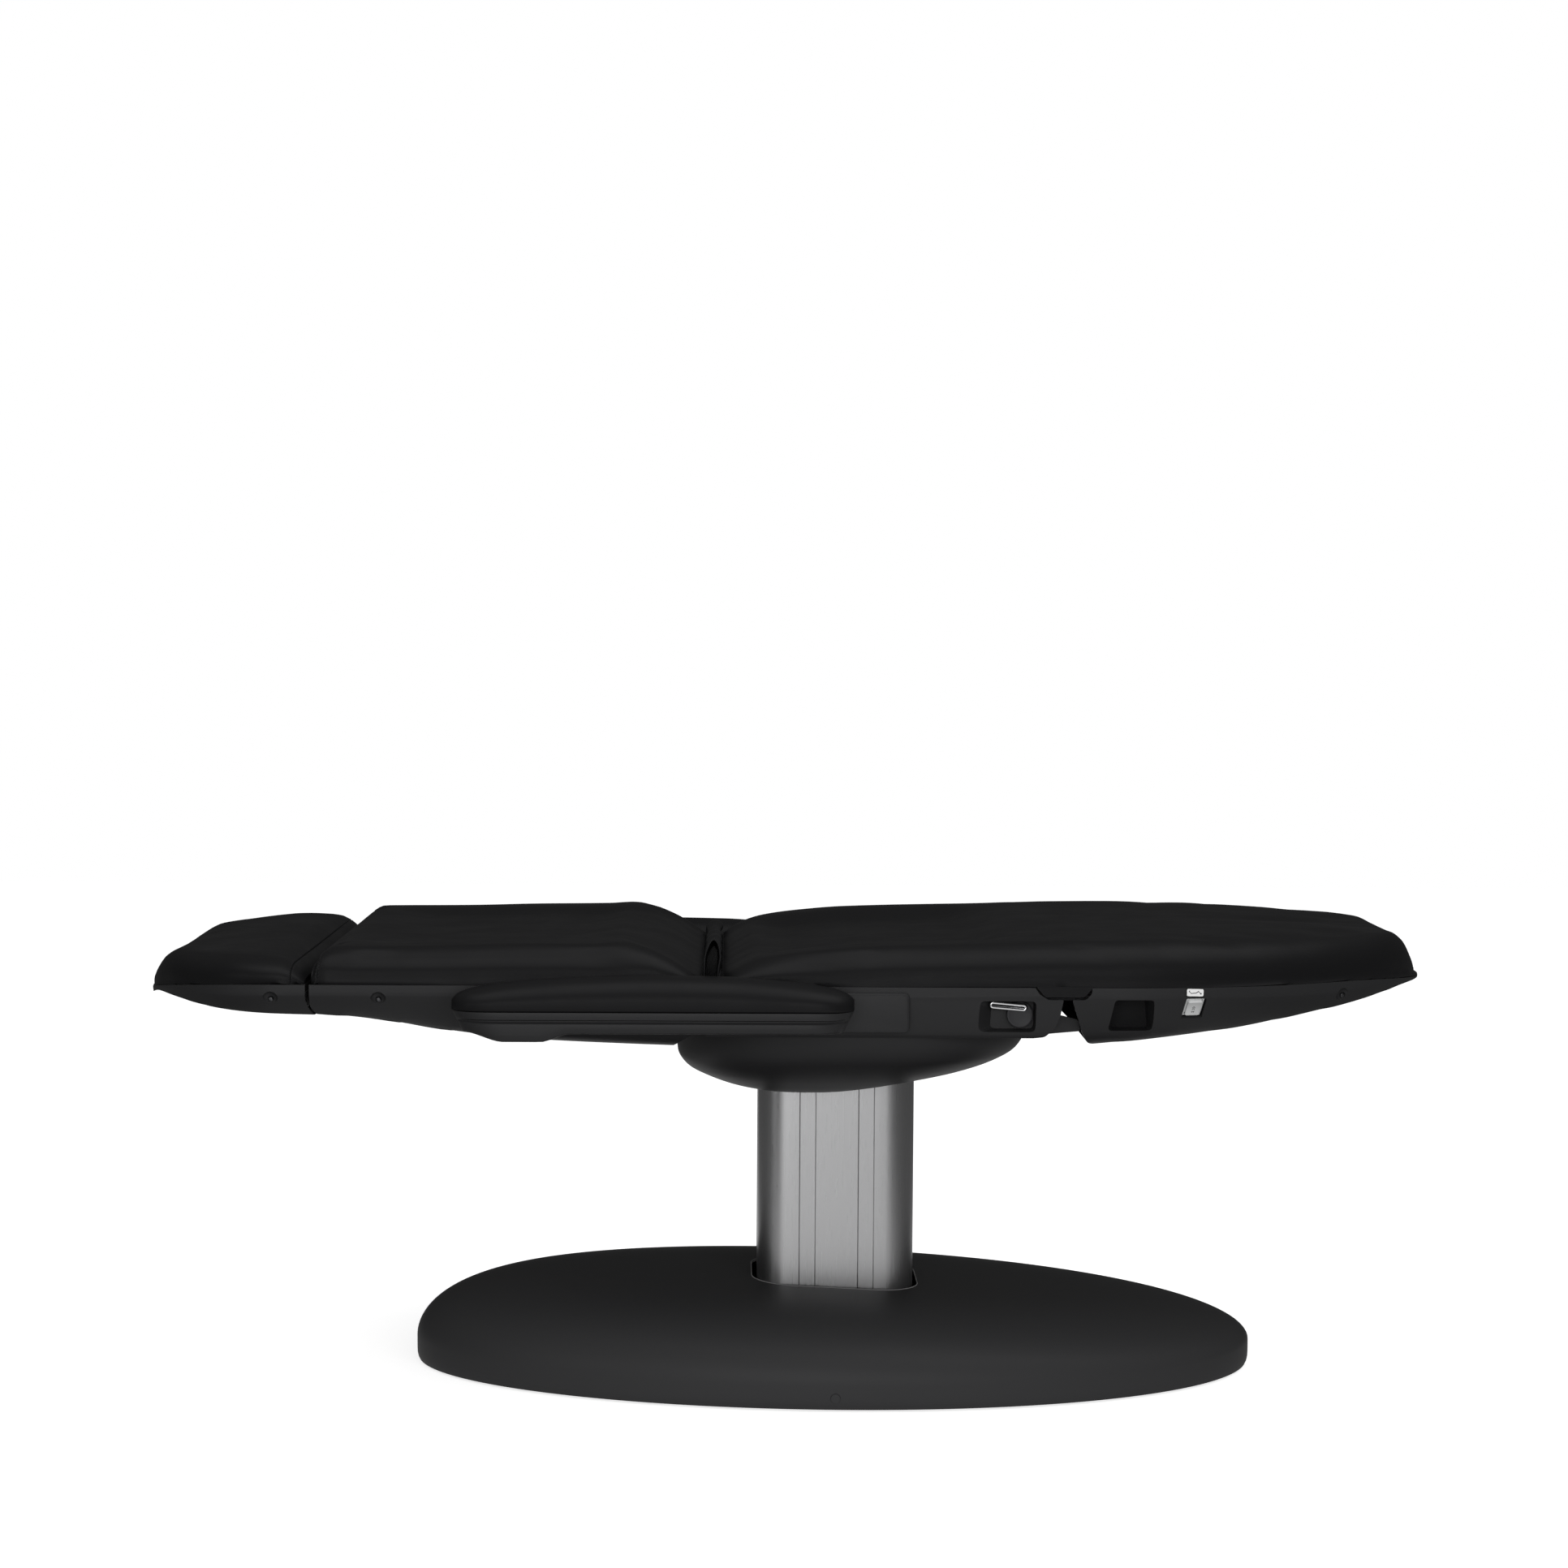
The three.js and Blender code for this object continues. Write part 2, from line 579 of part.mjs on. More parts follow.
function roundedOutline(length, depth, round, arc = 5) {
  const points = [];
  const corners = [[1, 1, 0], [-1, 1, 1], [-1, -1, 2], [1, -1, 3]];
  for (const [sx, sy, quarter] of corners) {
    for (let i = 0; i <= arc; i++) {
      const angle = ((quarter + i / arc) * Math.PI) / 2;
      const x = sx * (length / 2 - round) + round * Math.cos(angle);
      const y = sy * (depth / 2 - round) + round * Math.sin(angle);
      points.push(new THREE.Vector2(x, y));
    }
  }
  return points;
}

function column(points, z0, z1) {
  const shape = new THREE.Shape(points);
  const geometry = new THREE.ExtrudeGeometry(shape, { depth: z1 - z0, bevelEnabled: false });
  geometry.translate(COLUMN_X, 0, z0);
  return toSolid(geometry);
}

// Shell sections.

function hullSection(x, bottom, offset, top) {
  const w = Math.max(rimHalf(x) - offset, TIP_INSET);
  const z1 = rimZ(x);
  const z0 = bottom + offset;
  const h = z1 - z0;
  const band = Math.min(RIM_BAND, BAND_SHARE * h);
  const inset = Math.min(SLOPE_INSET_SHARE * (h - band), SLOPE_WIDTH_SHARE * w);
  const bilge = Math.min(BILGE, (h - band) * HULL_SHARES.bilge);
  const knee = z1 - band;
  const drop = knee - z0 - bilge;
  return [
    [w, z1 + top],
    [w, z1],
    [w - TIP_INSET / 2, knee],
    [w - inset * HULL_SHARES.side, knee - drop * HULL_SHARES.sideDrop],
    [w - inset * HULL_SHARES.slope, z0 + bilge],
    [w - inset - bilge * HULL_SHARES.turn, z0 + bilge * HULL_SHARES.turnRise],
    [w - inset - bilge * HULL_SHARES.bottom, z0],
    [0, z0 - BELLY_DROP * Math.min(1, w / RIM_HALF)],
  ].map(([y, z]) => [Math.max(y, 0), z]);
}

function sectionRing(x, bottom, offset, top) {
  const half = hullSection(x, bottom, offset, top);
  const scale = Math.max(rimHalf(x) - offset, TIP_INSET * 2);
  const last = half.length - 1;
  const least = (i) => scale * HULL_SHARES.spread * (half.length - i);
  return crossRing(x, half.map(([y, z], i) => [i === last ? 0 : Math.max(y, least(i)), z]));
}

function hull(x0, x1, bottoms, stations, offset, top) {
  const xs = stations.map((s) => x0 + (x1 - x0) * s);
  return loft(xs.map((x) => sectionRing(x, curve(bottoms, x), offset, top)));
}

function shellPair(x0, x1, bottoms, stations, openStart, openEnd) {
  const outer = hull(x0, x1, bottoms, stations, 0, 0);
  const cavity = (extra) => {
    const wall = WALL + extra;
    const start = openStart ? x0 - OVERRUN : x0 + wall * END_WALLS;
    const end = openEnd ? x1 + OVERRUN : x1 - wall * END_WALLS;
    return hull(start, end, bottoms, stations, wall, OVERRUN);
  };
  return { outer, shell: cut(outer, cavity(0)), cavity };
}

// Cushion sections.

function cushionHalf(w, z0, z1, dish) {
  const h = z1 - z0;
  const rx = Math.min(SHOULDER_WIDTH, w * CUSHION_SHARES.shoulder);
  const rise = z0 + h * SHOULDER_SHARE;
  const arc = SHOULDER_SHARES.map((t) => {
    const angle = (t * Math.PI) / 2;
    return [w - rx + rx * Math.cos(angle), rise + (z1 - rise) * Math.sin(angle)];
  });
  const start = Math.min(DISH_START, w * CUSHION_SHARES.start);
  const end = Math.min(DISH_END, w * CUSHION_SHARES.end);
  return [
    [0, z0],
    [w - Math.min(SIDE_TUCK, w * CUSHION_SHARES.tuck), z0],
    [w - TIP_INSET * CUSHION_SHARES.tip, z0 + h * CUSHION_SHARES.foot],
    [w, rise],
    ...arc,
    [w - start, z1 - dish * DISH_SHARES[0]],
    [w - (start + end) / 2, z1 - dish * DISH_SHARES[1]],
    [w - end, z1 - dish * DISH_SHARES[2]],
    [0, z1 - dish * DISH_SHARES[3]],
  ].map(([y, z]) => [Math.max(y, 0), z]);
}

function cushion({ x0, x1 }, tops, stations, dishAt, narrowing) {
  const rings = stations.map((s) => {
    const x = x0 + (x1 - x0) * s;
    const w = Math.max(rimHalf(x) - narrowing(x), TIP_INSET * 4);
    const half = cushionHalf(w, rimZ(x) + GAP, curve(tops, x), dishAt(x));
    const last = half.length - 1;
    const least = w * CUSHION_SHARES.least;
    return crossRing(x, half.map(([y, z], i) => [i === 0 || i === last ? 0 : Math.max(y, least), z]));
  });
  return loft(rings);
}

// A soft bump between 0 and 1 over a stretch of x.
function bump(x, a, b, run) {
  const rise = THREE.MathUtils.smoothstep(x, a, a + run);
  const fall = 1 - THREE.MathUtils.smoothstep(x, b - run, b);
  return Math.min(rise, fall);
}

// Base.

function eggRing(z, inset, scale = 1, slant = 0) {
  const ring = [];
  for (let i = 0; i < EGG_SEGMENTS; i++) {
    const angle = (i / EGG_SEGMENTS) * Math.PI * 2;
    const c = Math.cos(angle);
    const x = (BASE.a * scale - inset) * c;
    const y = (BASE.b * scale - inset) * Math.sin(angle) * (1 - BASE.eggShare * c);
    ring.push(new THREE.Vector3(COLUMN_X + x, y, z - slant * x));
  }
  return ring;
}

// An upright wall and a dome over it, which stands a little higher at the head end.
function baseBody(offset, step) {
  const kept = (_, i, all) => i % step === 0 || i === all.length - 1;
  const wall = BASE_PROFILE.filter(kept).map(([z, inset]) => eggRing(z - offset, inset + offset));
  const dome = DOME_DEGREES.filter(kept).map((degrees) => {
    const angle = THREE.MathUtils.degToRad(degrees);
    const rise = Math.sin(angle);
    const z = BASE.edge + BASE.rise * rise - offset;
    return eggRing(z, offset, Math.cos(angle) ** (2 / DOME_POWER), BASE.slantShare * rise);
  });
  return loft([...wall, ...dome]);
}

const opening = roundedOutline(
  COLUMN.length + COLUMN_OPENING.margin * 2,
  COLUMN.depth + COLUMN_OPENING.margin * 2,
  COLUMN_OPENING.round,
  8,
);
const plugHole = bar(PLUG.x, PLUG.z, PLUG.r + GAP, -BASE.b - OVERRUN, -BASE.b + OVERRUN, SMALL_SEGMENTS);
const inletHole = bar(INLET.x, INLET.z, INLET.r + GAP, BASE.b - OVERRUN, BASE.b + OVERRUN, SMALL_SEGMENTS);
const coverFloor = box(-HALF_LENGTH, HALF_LENGTH, -HALF_LENGTH, HALF_LENGTH, -HALF_LENGTH, BASE.z0);
const cover = cut(
  baseBody(0, 1),
  baseBody(BASE.wall, 2),
  coverFloor,
  column(opening, BASE.z0, BASE.edge + BASE.b),
  plugHole,
  inletHole,
);
addMesh("base_cover", cover, 0x2f2f30, 0.55);

const plateRing = (z) => eggRing(z, BASE.wall + GAP + PLATE.inset);
const plate = loft([plateRing(PLATE.z0), plateRing(PLATE.z0 + PLATE.t)]);
addMesh("base_plate", plate, 0x3a3a3c, 0.6, 0.6);

const PLATE_TOP = PLATE.z0 + PLATE.t;
const feet = { head_left: [-1, 1], head_right: [-1, -1], foot_left: [1, 1], foot_right: [1, -1] };
for (const [name, [sx, sy]] of Object.entries(feet)) {
  const foot = post(COLUMN_X + sx * FOOT.x, sy * FOOT.y, FOOT.r, 0, PLATE.z0 - GAP);
  addMesh("foot_" + name, foot, 0x141414, 0.9);
}

function yOnWall(x) {
  const c = (x - COLUMN_X) / BASE.a;
  return BASE.b * Math.sqrt(1 - c * c) * (1 - BASE.eggShare * c);
}
const plugY = yOnWall(PLUG.x);
const plugEnds = [-plugY - PLUG.proud, -plugY + BASE.wall + PLUG.inner];
addMesh("base_plug", bar(PLUG.x, PLUG.z, PLUG.r, ...plugEnds, SMALL_SEGMENTS), 0x2b2b2c);
const inletY = yOnWall(INLET.x);
const inletBody = bar(INLET.x, INLET.z, INLET.r, inletY - INLET.length, inletY + WELD, SMALL_SEGMENTS);
const socketEnds = [inletY - INLET.socketDepth, inletY + OVERRUN];
const socketHole = bar(INLET.x, INLET.z, INLET.socketR, ...socketEnds, SMALL_SEGMENTS);
addMesh("power_inlet", cut(inletBody, socketHole), 0x1c1c1d);

// Column and lift.

function columnOutline() {
  const hx = COLUMN.length / 2;
  const hy = COLUMN.depth / 2;
  const r = COLUMN.round;
  const points = [];
  const face = (length, grooves, place) => {
    points.push(place(-length));
    for (const g of grooves) {
      points.push(place(g - GROOVE.half, 0), place(g, GROOVE.deep), place(g + GROOVE.half, 0));
    }
    points.push(place(length));
  };
  const arc = (cx, cy, quarter) => {
    for (let i = 1; i < 5; i++) {
      const angle = ((quarter + i / 5) * Math.PI) / 2;
      points.push(new THREE.Vector2(cx + r * Math.cos(angle), cy + r * Math.sin(angle)));
    }
  };
  face(hy - r, SIDE_GROOVES, (s, deep = 0) => new THREE.Vector2(hx - deep, s));
  arc(hx - r, hy - r, 0);
  face(hx - r, GROOVES, (s, deep = 0) => new THREE.Vector2(-s, hy - deep));
  arc(-hx + r, hy - r, 1);
  face(hy - r, SIDE_GROOVES, (s, deep = 0) => new THREE.Vector2(-hx + deep, -s));
  arc(-hx + r, -hy + r, 2);
  face(hx - r, GROOVES, (s, deep = 0) => new THREE.Vector2(s, -hy + deep));
  arc(hx - r, -hy + r, 3);
  return points;
}

const boreOutline = roundedOutline(
  INNER.length + SLIDE_CLEARANCE * 2,
  INNER.depth + SLIDE_CLEARANCE * 2,
  INNER.round + SLIDE_CLEARANCE,
);
const outerZ0 = PLATE_TOP + GAP;
const columnOuter = cut(
  column(columnOutline(), outerZ0, COLUMN.z1),
  column(boreOutline, outerZ0 - OVERRUN, COLUMN.z1 + OVERRUN),
);
addMesh("column_outer", columnOuter, 0xa6a6a6, 0.35, 1);

const HEAD_PLATE_Z1 = FRAME_Z0 - GAP;
const HEAD_PLATE_Z0 = HEAD_PLATE_Z1 - HEAD_PLATE.t;
const INNER_TOP = HEAD_PLATE_Z0 - GAP;
const innerBore = roundedOutline(
  INNER.length - INNER.wall * 2,
  INNER.depth - INNER.wall * 2,
  INNER.round - INNER.wall,
);
const columnInner = cut(
  column(roundedOutline(INNER.length, INNER.depth, INNER.round), INNER.z0, INNER_TOP),
  column(innerBore, INNER.z0 - OVERRUN, INNER_TOP + OVERRUN),
);
addMesh("column_inner", columnInner, 0x9a9a9a, 0.35, 1);

const motorTop = outerZ0 + MOTOR.height;
const motor = cut(
  union(
    post(COLUMN_X, 0, MOTOR.r, outerZ0, motorTop),
    post(COLUMN_X, 0, MOTOR.tubeR, motorTop - WELD, MOTOR.top),
  ),
  post(COLUMN_X, 0, MOTOR.boreR, MOTOR.floor, MOTOR.top + OVERRUN),
);
addMesh("lift_motor", motor, 0x222223, 0.5);
addMesh("lift_rod", post(COLUMN_X, 0, ROD_R, MOTOR.floor + WELD, INNER_TOP), 0xb8b8b8, 0.3, 1);
addMesh(
  "lift_head_plate",
  box(
    COLUMN_X - HEAD_PLATE.length / 2,
    COLUMN_X + HEAD_PLATE.length / 2,
    -HEAD_PLATE.depth / 2,
    HEAD_PLATE.depth / 2,
    HEAD_PLATE_Z0,
    HEAD_PLATE_Z1,
  ),
  0x3a3a3c,
  0.5,
  0.7,
);

// Tub.

function tubRing([z, x0, x1, y], offset) {
  const ring = [];
  for (let i = 0; i < TUB_SEGMENTS; i++) {
    const angle = (i / TUB_SEGMENTS) * Math.PI * 2;
    const c = Math.cos(angle);
    const s = Math.sin(angle);
    const px = Math.sign(c) * Math.abs(c) ** (2 / TUB_POWER);
    const py = Math.sign(s) * Math.abs(s) ** (2 / TUB_POWER);
    const half = (x1 - x0) / 2 - offset;
    ring.push(new THREE.Vector3((x0 + x1) / 2 + half * px, (y - offset) * py, z + offset));
  }
  return ring;
}

const tubOuter = loft(TUB_RINGS.map((r) => tubRing(r, 0)));
const tubInner = loft(TUB_RINGS.filter((_, i) => i % 2 === 0).map((r) => tubRing(r, TUB_WALL)));
const tubOpening = roundedOutline(
  COLUMN.length + TUB_OPENING_MARGIN * 2,
  COLUMN.depth + TUB_OPENING_MARGIN * 2,
  COLUMN.round + TUB_OPENING_MARGIN,
);
const tubTop = TUB_RINGS[TUB_RINGS.length - 1][0];
const legPushZ = LEG_AXIS.z - LEG_LEVER.drop;
const rodSlot = box(
  LEG_ROD_SLOT.x0,
  HALF_LENGTH,
  ACTUATOR_Y - LEG_ROD_SLOT.half,
  ACTUATOR_Y + LEG_ROD_SLOT.half,
  legPushZ - EYE_R - LEVER_T,
  tubTop + OVERRUN,
);
const tub = cut(
  tubOuter,
  tubInner,
  column(tubOpening, TUB_RINGS[0][0] - OVERRUN, tubTop + OVERRUN),
  slab(TUB_END, -HALF_LENGTH, HALF_LENGTH),
  rodSlot,
);
addMesh("tub", tub, 0x27272a, 0.5);

// Seat.

// Everything from a profile of an end to a far x.
const endCut = (points, far) => {
  const last = points[points.length - 1];
  return slab([...points, [far, last[1]], [far, points[0][1]]], -HALF_LENGTH, HALF_LENGTH);
};
const seatPrism = (half, x0, x1) => loft([crossRing(x0, half), crossRing(x1, half)]);
const seatSolidHalf = [...SEAT_SECTION, [0, SEAT_SECTION[SEAT_SECTION.length - 1][1]]];
const seatCavityHalf = (extra) => {
  const wall = WALL + extra;
  const rise = (i) => (i === 0 ? OVERRUN : (wall * i) / SEAT_CAVITY_RISE);
  const inner = SEAT_SECTION.map(([y, z], i) => [y - wall, z + rise(i)]);
  return [...inner, [0, inner[inner.length - 1][1]]];
};
const SEAT_MAX_X = SEAT_END[2][0];
const bossOutline = [
  [BOSS.x0, BOSS.z0],
  [BOSS.x1 - BOSS.round, BOSS.z0],
  [BOSS.x1, BOSS.z0 + BOSS.round],
  [BOSS.x1, BOSS.z1 - BOSS.round],
  [BOSS.x1 - BOSS.round, BOSS.z1],
  [BOSS.x0, BOSS.z1],
];
const SEAT_WALL_Y = SEAT_SECTION[3][0] - WALL * 2;
const boss = (side) => {
  const [a, b] = side > 0 ? [SEAT_WALL_Y, BOSS.y - GAP] : [-BOSS.y + GAP, -SEAT_WALL_Y];
  return slab(bossOutline, a, b);
};
// A pocket in a side wall on the near side, from its outline at the mouth to the one at its floor.
function pocket({ mouth, floor, y }, grow) {
  const middle = (points) => points.reduce((sum, [x, z]) => [sum[0] + x / 4, sum[1] + z / 4], [0, 0]);
  const ring = (points, at) => {
    const [cx, cz] = middle(points);
    const out = (value, centre) => value + Math.sign(value - centre) * grow;
    return points.map(([x, z]) => new THREE.Vector3(out(x, cx), -at, out(z, cz)));
  };
  const start = RIM_HALF - WALL;
  const run = OVERRUN / (start - y);
  const wide = mouth.map(([x, z], i) => [x + (x - floor[i][0]) * run, z + (z - floor[i][1]) * run]);
  return loft([ring(wide, start + OVERRUN), ring(mouth, start), ring(floor, y - grow)]);
}
const recessOuter = pocket(RECESS, WALL);
const recessCut = pocket(RECESS, 0);
const seatEndCut = endCut(SEAT_END, HALF_LENGTH);
const seatEnvelope = seatPrism(seatSolidHalf, SEAT_START_X, SEAT_MAX_X + WELD);
const seatCavity = (extra) => seatPrism(seatCavityHalf(extra), SEAT_START_X - OVERRUN, SEAT_MAX_X + OVERRUN);
const floorWindow = (x0, x1) => box(x0, x1, -SEAT_FLANGE_Y, SEAT_FLANGE_Y, tubTop - OVERRUN, RIM_Z);
const boreEnd = ARM_SHAFT_END + GAP;
const shaftBore = bar(ARM_AXIS.x, ARM_AXIS.z, ARM_SHAFT_R + GAP, -boreEnd, boreEnd);
let seatShell = cut(
  seatEnvelope,
  seatCavity(0),
  floorWindow(SEAT_START_X - OVERRUN, SEAT_STRIP.x0),
  floorWindow(SEAT_STRIP.x1, SEAT_MAX_X + OVERRUN),
);
const bosses = cut(union(boss(1), boss(-1)), seatCavity(0));
seatShell = union(seatShell, recessOuter.intersect(seatEnvelope), bosses);
seatShell = cut(seatShell, recessCut, shaftBore, seatEndCut);
addMesh("seat_shell", seatShell, 0x2f2f31, 0.45);

const ear = ({ x, z }, r, y, towards) => {
  const y0 = y - RAIL_W / 2;
  const y1 = y + RAIL_W / 2;
  const reach = x + towards * (r + RAIL_W);
  const flag = box(Math.min(x, reach), Math.max(x, reach), y0, y1, FRAME_Z0, FRAME_TOP);
  return union(bar(x, z, r, y0, y1), flag);
};
const mirrored = (make) => union(make(1), make(-1));
const backEarR = BACK_SHAFT_R + EAR_WALL;
const legEarR = LEG_SHAFT_R + LEG_EAR_WALL;
const headEarR = HEAD_SHAFT_R + EAR_WALL;
const rail = (x0, x1, y) => box(x0, x1, y - RAIL_W / 2, y + RAIL_W / 2, FRAME_Z0, FRAME_TOP);
const crossBar = (x) => box(x - RAIL_W / 2, x + RAIL_W / 2, -RIM_HALF, RIM_HALF, FRAME_Z0, FRAME_TOP);
let seatFrame = mirrored((s) =>
  union(
    rail(BACK_AXIS.x + backEarR, LEG_AXIS.x - legEarR, s * SEAT_RAIL_Y),
    ear(BACK_AXIS, backEarR, s * SEAT_RAIL_Y, 1),
    ear(LEG_AXIS, legEarR, s * SEAT_RAIL_Y, -1),
  ),
);
for (const x of SEAT_CROSS) seatFrame = union(seatFrame, crossBar(x).intersect(seatCavity(GAP)));
const bearingR = ARM_SHAFT_R + EAR_WALL;
const bearing = (s) => {
  const [a, b] = s > 0 ? [ARM_SHAFT_START - EAR_WALL, RIM_HALF] : [-RIM_HALF, EAR_WALL - ARM_SHAFT_START];
  return box(ARM_AXIS.x - bearingR, ARM_AXIS.x + bearingR, a, b, ARM_AXIS.z - bearingR, FRAME_TOP);
};
seatFrame = union(seatFrame, mirrored(bearing).intersect(seatCavity(GAP)));
const shaftSocket = (side) => {
  const [a, b] = side > 0 ? [ARM_SHAFT_START - GAP, RIM_HALF] : [-RIM_HALF, GAP - ARM_SHAFT_START];
  return bar(ARM_AXIS.x, ARM_AXIS.z, ARM_SHAFT_R + GAP, a, b);
};
const shaftThrough = ({ x, z }, r) => bar(x, z, r + GAP, -RIM_HALF, RIM_HALF);
seatFrame = cut(seatFrame, shaftThrough(BACK_AXIS, BACK_SHAFT_R), shaftThrough(LEG_AXIS, LEG_SHAFT_R));
seatFrame = cut(seatFrame, shaftSocket(1), shaftSocket(-1));
addMesh("seat_frame", seatFrame, 0x3c3c3e, 0.5, 0.6);

const seatBoardX0 = BACK_AXIS.x + backEarR + BACK_BOARD_GAP;
const seatBoardX1 = LEG_AXIS.x - legEarR - LEG_BOARD_GAP;
const board = (x0, x1, half) => box(x0, x1, -half, half, BOARD_Z0, BOARD_Z0 + BOARD_T);
const seatBoard = board(seatBoardX0, seatBoardX1, RIM_HALF - BOARD_INSET);
addMesh("seat_board", seatBoard, 0x8a6f4d, 0.8);

const armShaft = (side) => {
  const [a, b] = side > 0 ? [ARM_SHAFT_START, ARM_SHAFT_END] : [-ARM_SHAFT_END, -ARM_SHAFT_START];
  return bar(ARM_AXIS.x, ARM_AXIS.z, ARM_SHAFT_R, a, b);
};
addMesh("armrest_shaft_left", armShaft(1), 0x8d8d8f, 0.35, 1);
addMesh("armrest_shaft_right", armShaft(-1), 0x8d8d8f, 0.35, 1);
const shaftHalf = SEAT_RAIL_Y + RAIL_W / 2;
const hingeShaft = ({ x, z }, r, half) => bar(x, z, r, -half, half);
addMesh("back_hinge_shaft", hingeShaft(BACK_AXIS, BACK_SHAFT_R, shaftHalf), 0x8d8d8f, 0.35, 1);
addMesh("leg_hinge_shaft", hingeShaft(LEG_AXIS, LEG_SHAFT_R, shaftHalf), 0x8d8d8f, 0.35, 1);

// Back part.

const backPair = shellPair(...BACK_SHELL_X, BACK_BOTTOM, BACK_SHELL_STATIONS, true, true);
const bigSlab = (x0, x1, z0, z1) => box(x0, x1, -HALF_LENGTH, HALF_LENGTH, z0, z1);
const backNoseKeep = union(
  bar(HEAD_AXIS.x, HEAD_AXIS.z, BACK_NOSE_R, -HALF_LENGTH, HALF_LENGTH, NOSE_SEGMENTS),
  bigSlab(HEAD_AXIS.x, 0, 0, HALF_LENGTH),
  bigSlab(BACK_START_X, 0, HEAD_AXIS.z, HALF_LENGTH),
).intersect(bigSlab(BACK_START_X, 0, 0, HALF_LENGTH));
const scoopCentre = (x) => ({ y: rimHalf(x) + SCOOP_OUT, z: rimZ(x) - RIM_BAND - SCOOP_DROP });
const scoopBall = (x, side, r) => {
  const { y, z } = scoopCentre(x);
  const geometry = new THREE.SphereGeometry(r, SCOOP_SEGMENTS, SCOOP_SEGMENTS / 2);
  geometry.translate(x, side * y, z);
  return toSolid(geometry);
};
// Each visible screw sits at the bottom of a round scoop in the shell's side.
function scooped(shell, outer, x) {
  const wide = SCREW_SCOOP_R + SCOOP_WALL;
  const balls = (r) => [scoopBall(x, 1, r), scoopBall(x, -1, r)];
  const backed = union(shell, ...balls(wide).map((ball) => ball.intersect(outer)));
  return cut(backed, ...balls(SCREW_SCOOP_R));
}
function addScrews(name, x) {
  const { y, z } = scoopCentre(x);
  const depth = Math.sqrt(SCREW_SCOOP_R ** 2 - SCREW_SEAT_R ** 2);
  const base = y - depth + GAP;
  const half = (side) => (side > 0 ? [base, base + SCREW_PROUD] : [-base - SCREW_PROUD, -base]);
  for (const [label, side] of [["left", 1], ["right", -1]]) {
    addMesh(name + "_screw_" + label, bar(x, z, SCREW_R, ...half(side), SMALL_SEGMENTS), 0xb9b9bb, 0.25, 1);
  }
}

let backShell = scooped(backPair.shell, backPair.outer, SCREWS.back).intersect(backNoseKeep);
backShell = cut(backShell, endCut(BACK_END, 0));
addMesh("back_shell", backShell, 0x2f2f31, 0.45);
addScrews("back", SCREWS.back);

// A slotted lever under a hinge: the pin of the push rod slides in its slot.
function lever(axis, y, { drop, startDegrees, play }, side) {
  const angle = THREE.MathUtils.degToRad(startDegrees);
  const [sin, cos] = [Math.sin(angle), Math.cos(angle)];
  const at = (r, w) => [axis.x + r * sin + w * cos, axis.z - r * cos + w * sin];
  const far = drop / cos + PIN_R + PIN_PLAY;
  const near = drop - PIN_R - PIN_PLAY;
  const tip = far + LEVER_T;
  const y0 = side > 0 ? y + EYE_HALF + GAP : y - EYE_HALF - GAP - LEVER_T;
  const h = PIN_R + play;
  const outline = [at(0, -LEVER_HALF), at(tip, -LEVER_HALF), at(tip, LEVER_HALF), at(0, LEVER_HALF)];
  const arm = slab(outline, y0, y0 + LEVER_T);
  const slot = slab([at(near, -h), at(far, -h), at(far, h), at(near, h)], y0 - LEVER_T, y0 + LEVER_T * 2);
  return cut(arm, slot);
}
const leverFork = (axis, y, spec) => union(lever(axis, y, spec, 1), lever(axis, y, spec, -1));
const innerRails = (x0, x1, y) => union(rail(x0, x1, y), rail(x0, x1, -y));

const backTube = hingeShaft(BACK_AXIS, backEarR, INNER_RAIL_Y + RAIL_W / 2);
let backFrame = union(
  innerRails(HEAD_AXIS.x - HEAD_SHAFT_R, BACK_AXIS.x - backEarR, INNER_RAIL_Y),
  ear(BACK_AXIS, backEarR, INNER_RAIL_Y, -1),
  ear(BACK_AXIS, backEarR, -INNER_RAIL_Y, -1),
  ...BACK_CROSS.map(crossBar),
  ear(HEAD_AXIS, headEarR, HEAD_EAR_Y, 1),
  ear(HEAD_AXIS, headEarR, -HEAD_EAR_Y, 1),
);
backFrame = backFrame.intersect(backPair.cavity(GAP));
backFrame = union(backFrame, backTube, leverFork(BACK_AXIS, -ACTUATOR_Y, BACK_LEVER));
backFrame = cut(backFrame, shaftThrough(BACK_AXIS, BACK_SHAFT_R), shaftThrough(HEAD_AXIS, HEAD_SHAFT_R));
addMesh("back_frame", backFrame, 0x3c3c3e, 0.5, 0.6);

const backBoardX1 = BACK_AXIS.x - backEarR - BACK_BOARD_GAP;
const backBoard = board(HEAD_AXIS.x + headEarR, backBoardX1, RIM_HALF - BOARD_INSET);
addMesh("back_board", backBoard, 0x8a6f4d, 0.8);
const headShaftHalf = HEAD_EAR_Y + RAIL_W / 2;
addMesh("head_hinge_shaft", hingeShaft(HEAD_AXIS, HEAD_SHAFT_R, headShaftHalf), 0x8d8d8f, 0.35, 1);

// Headrest.

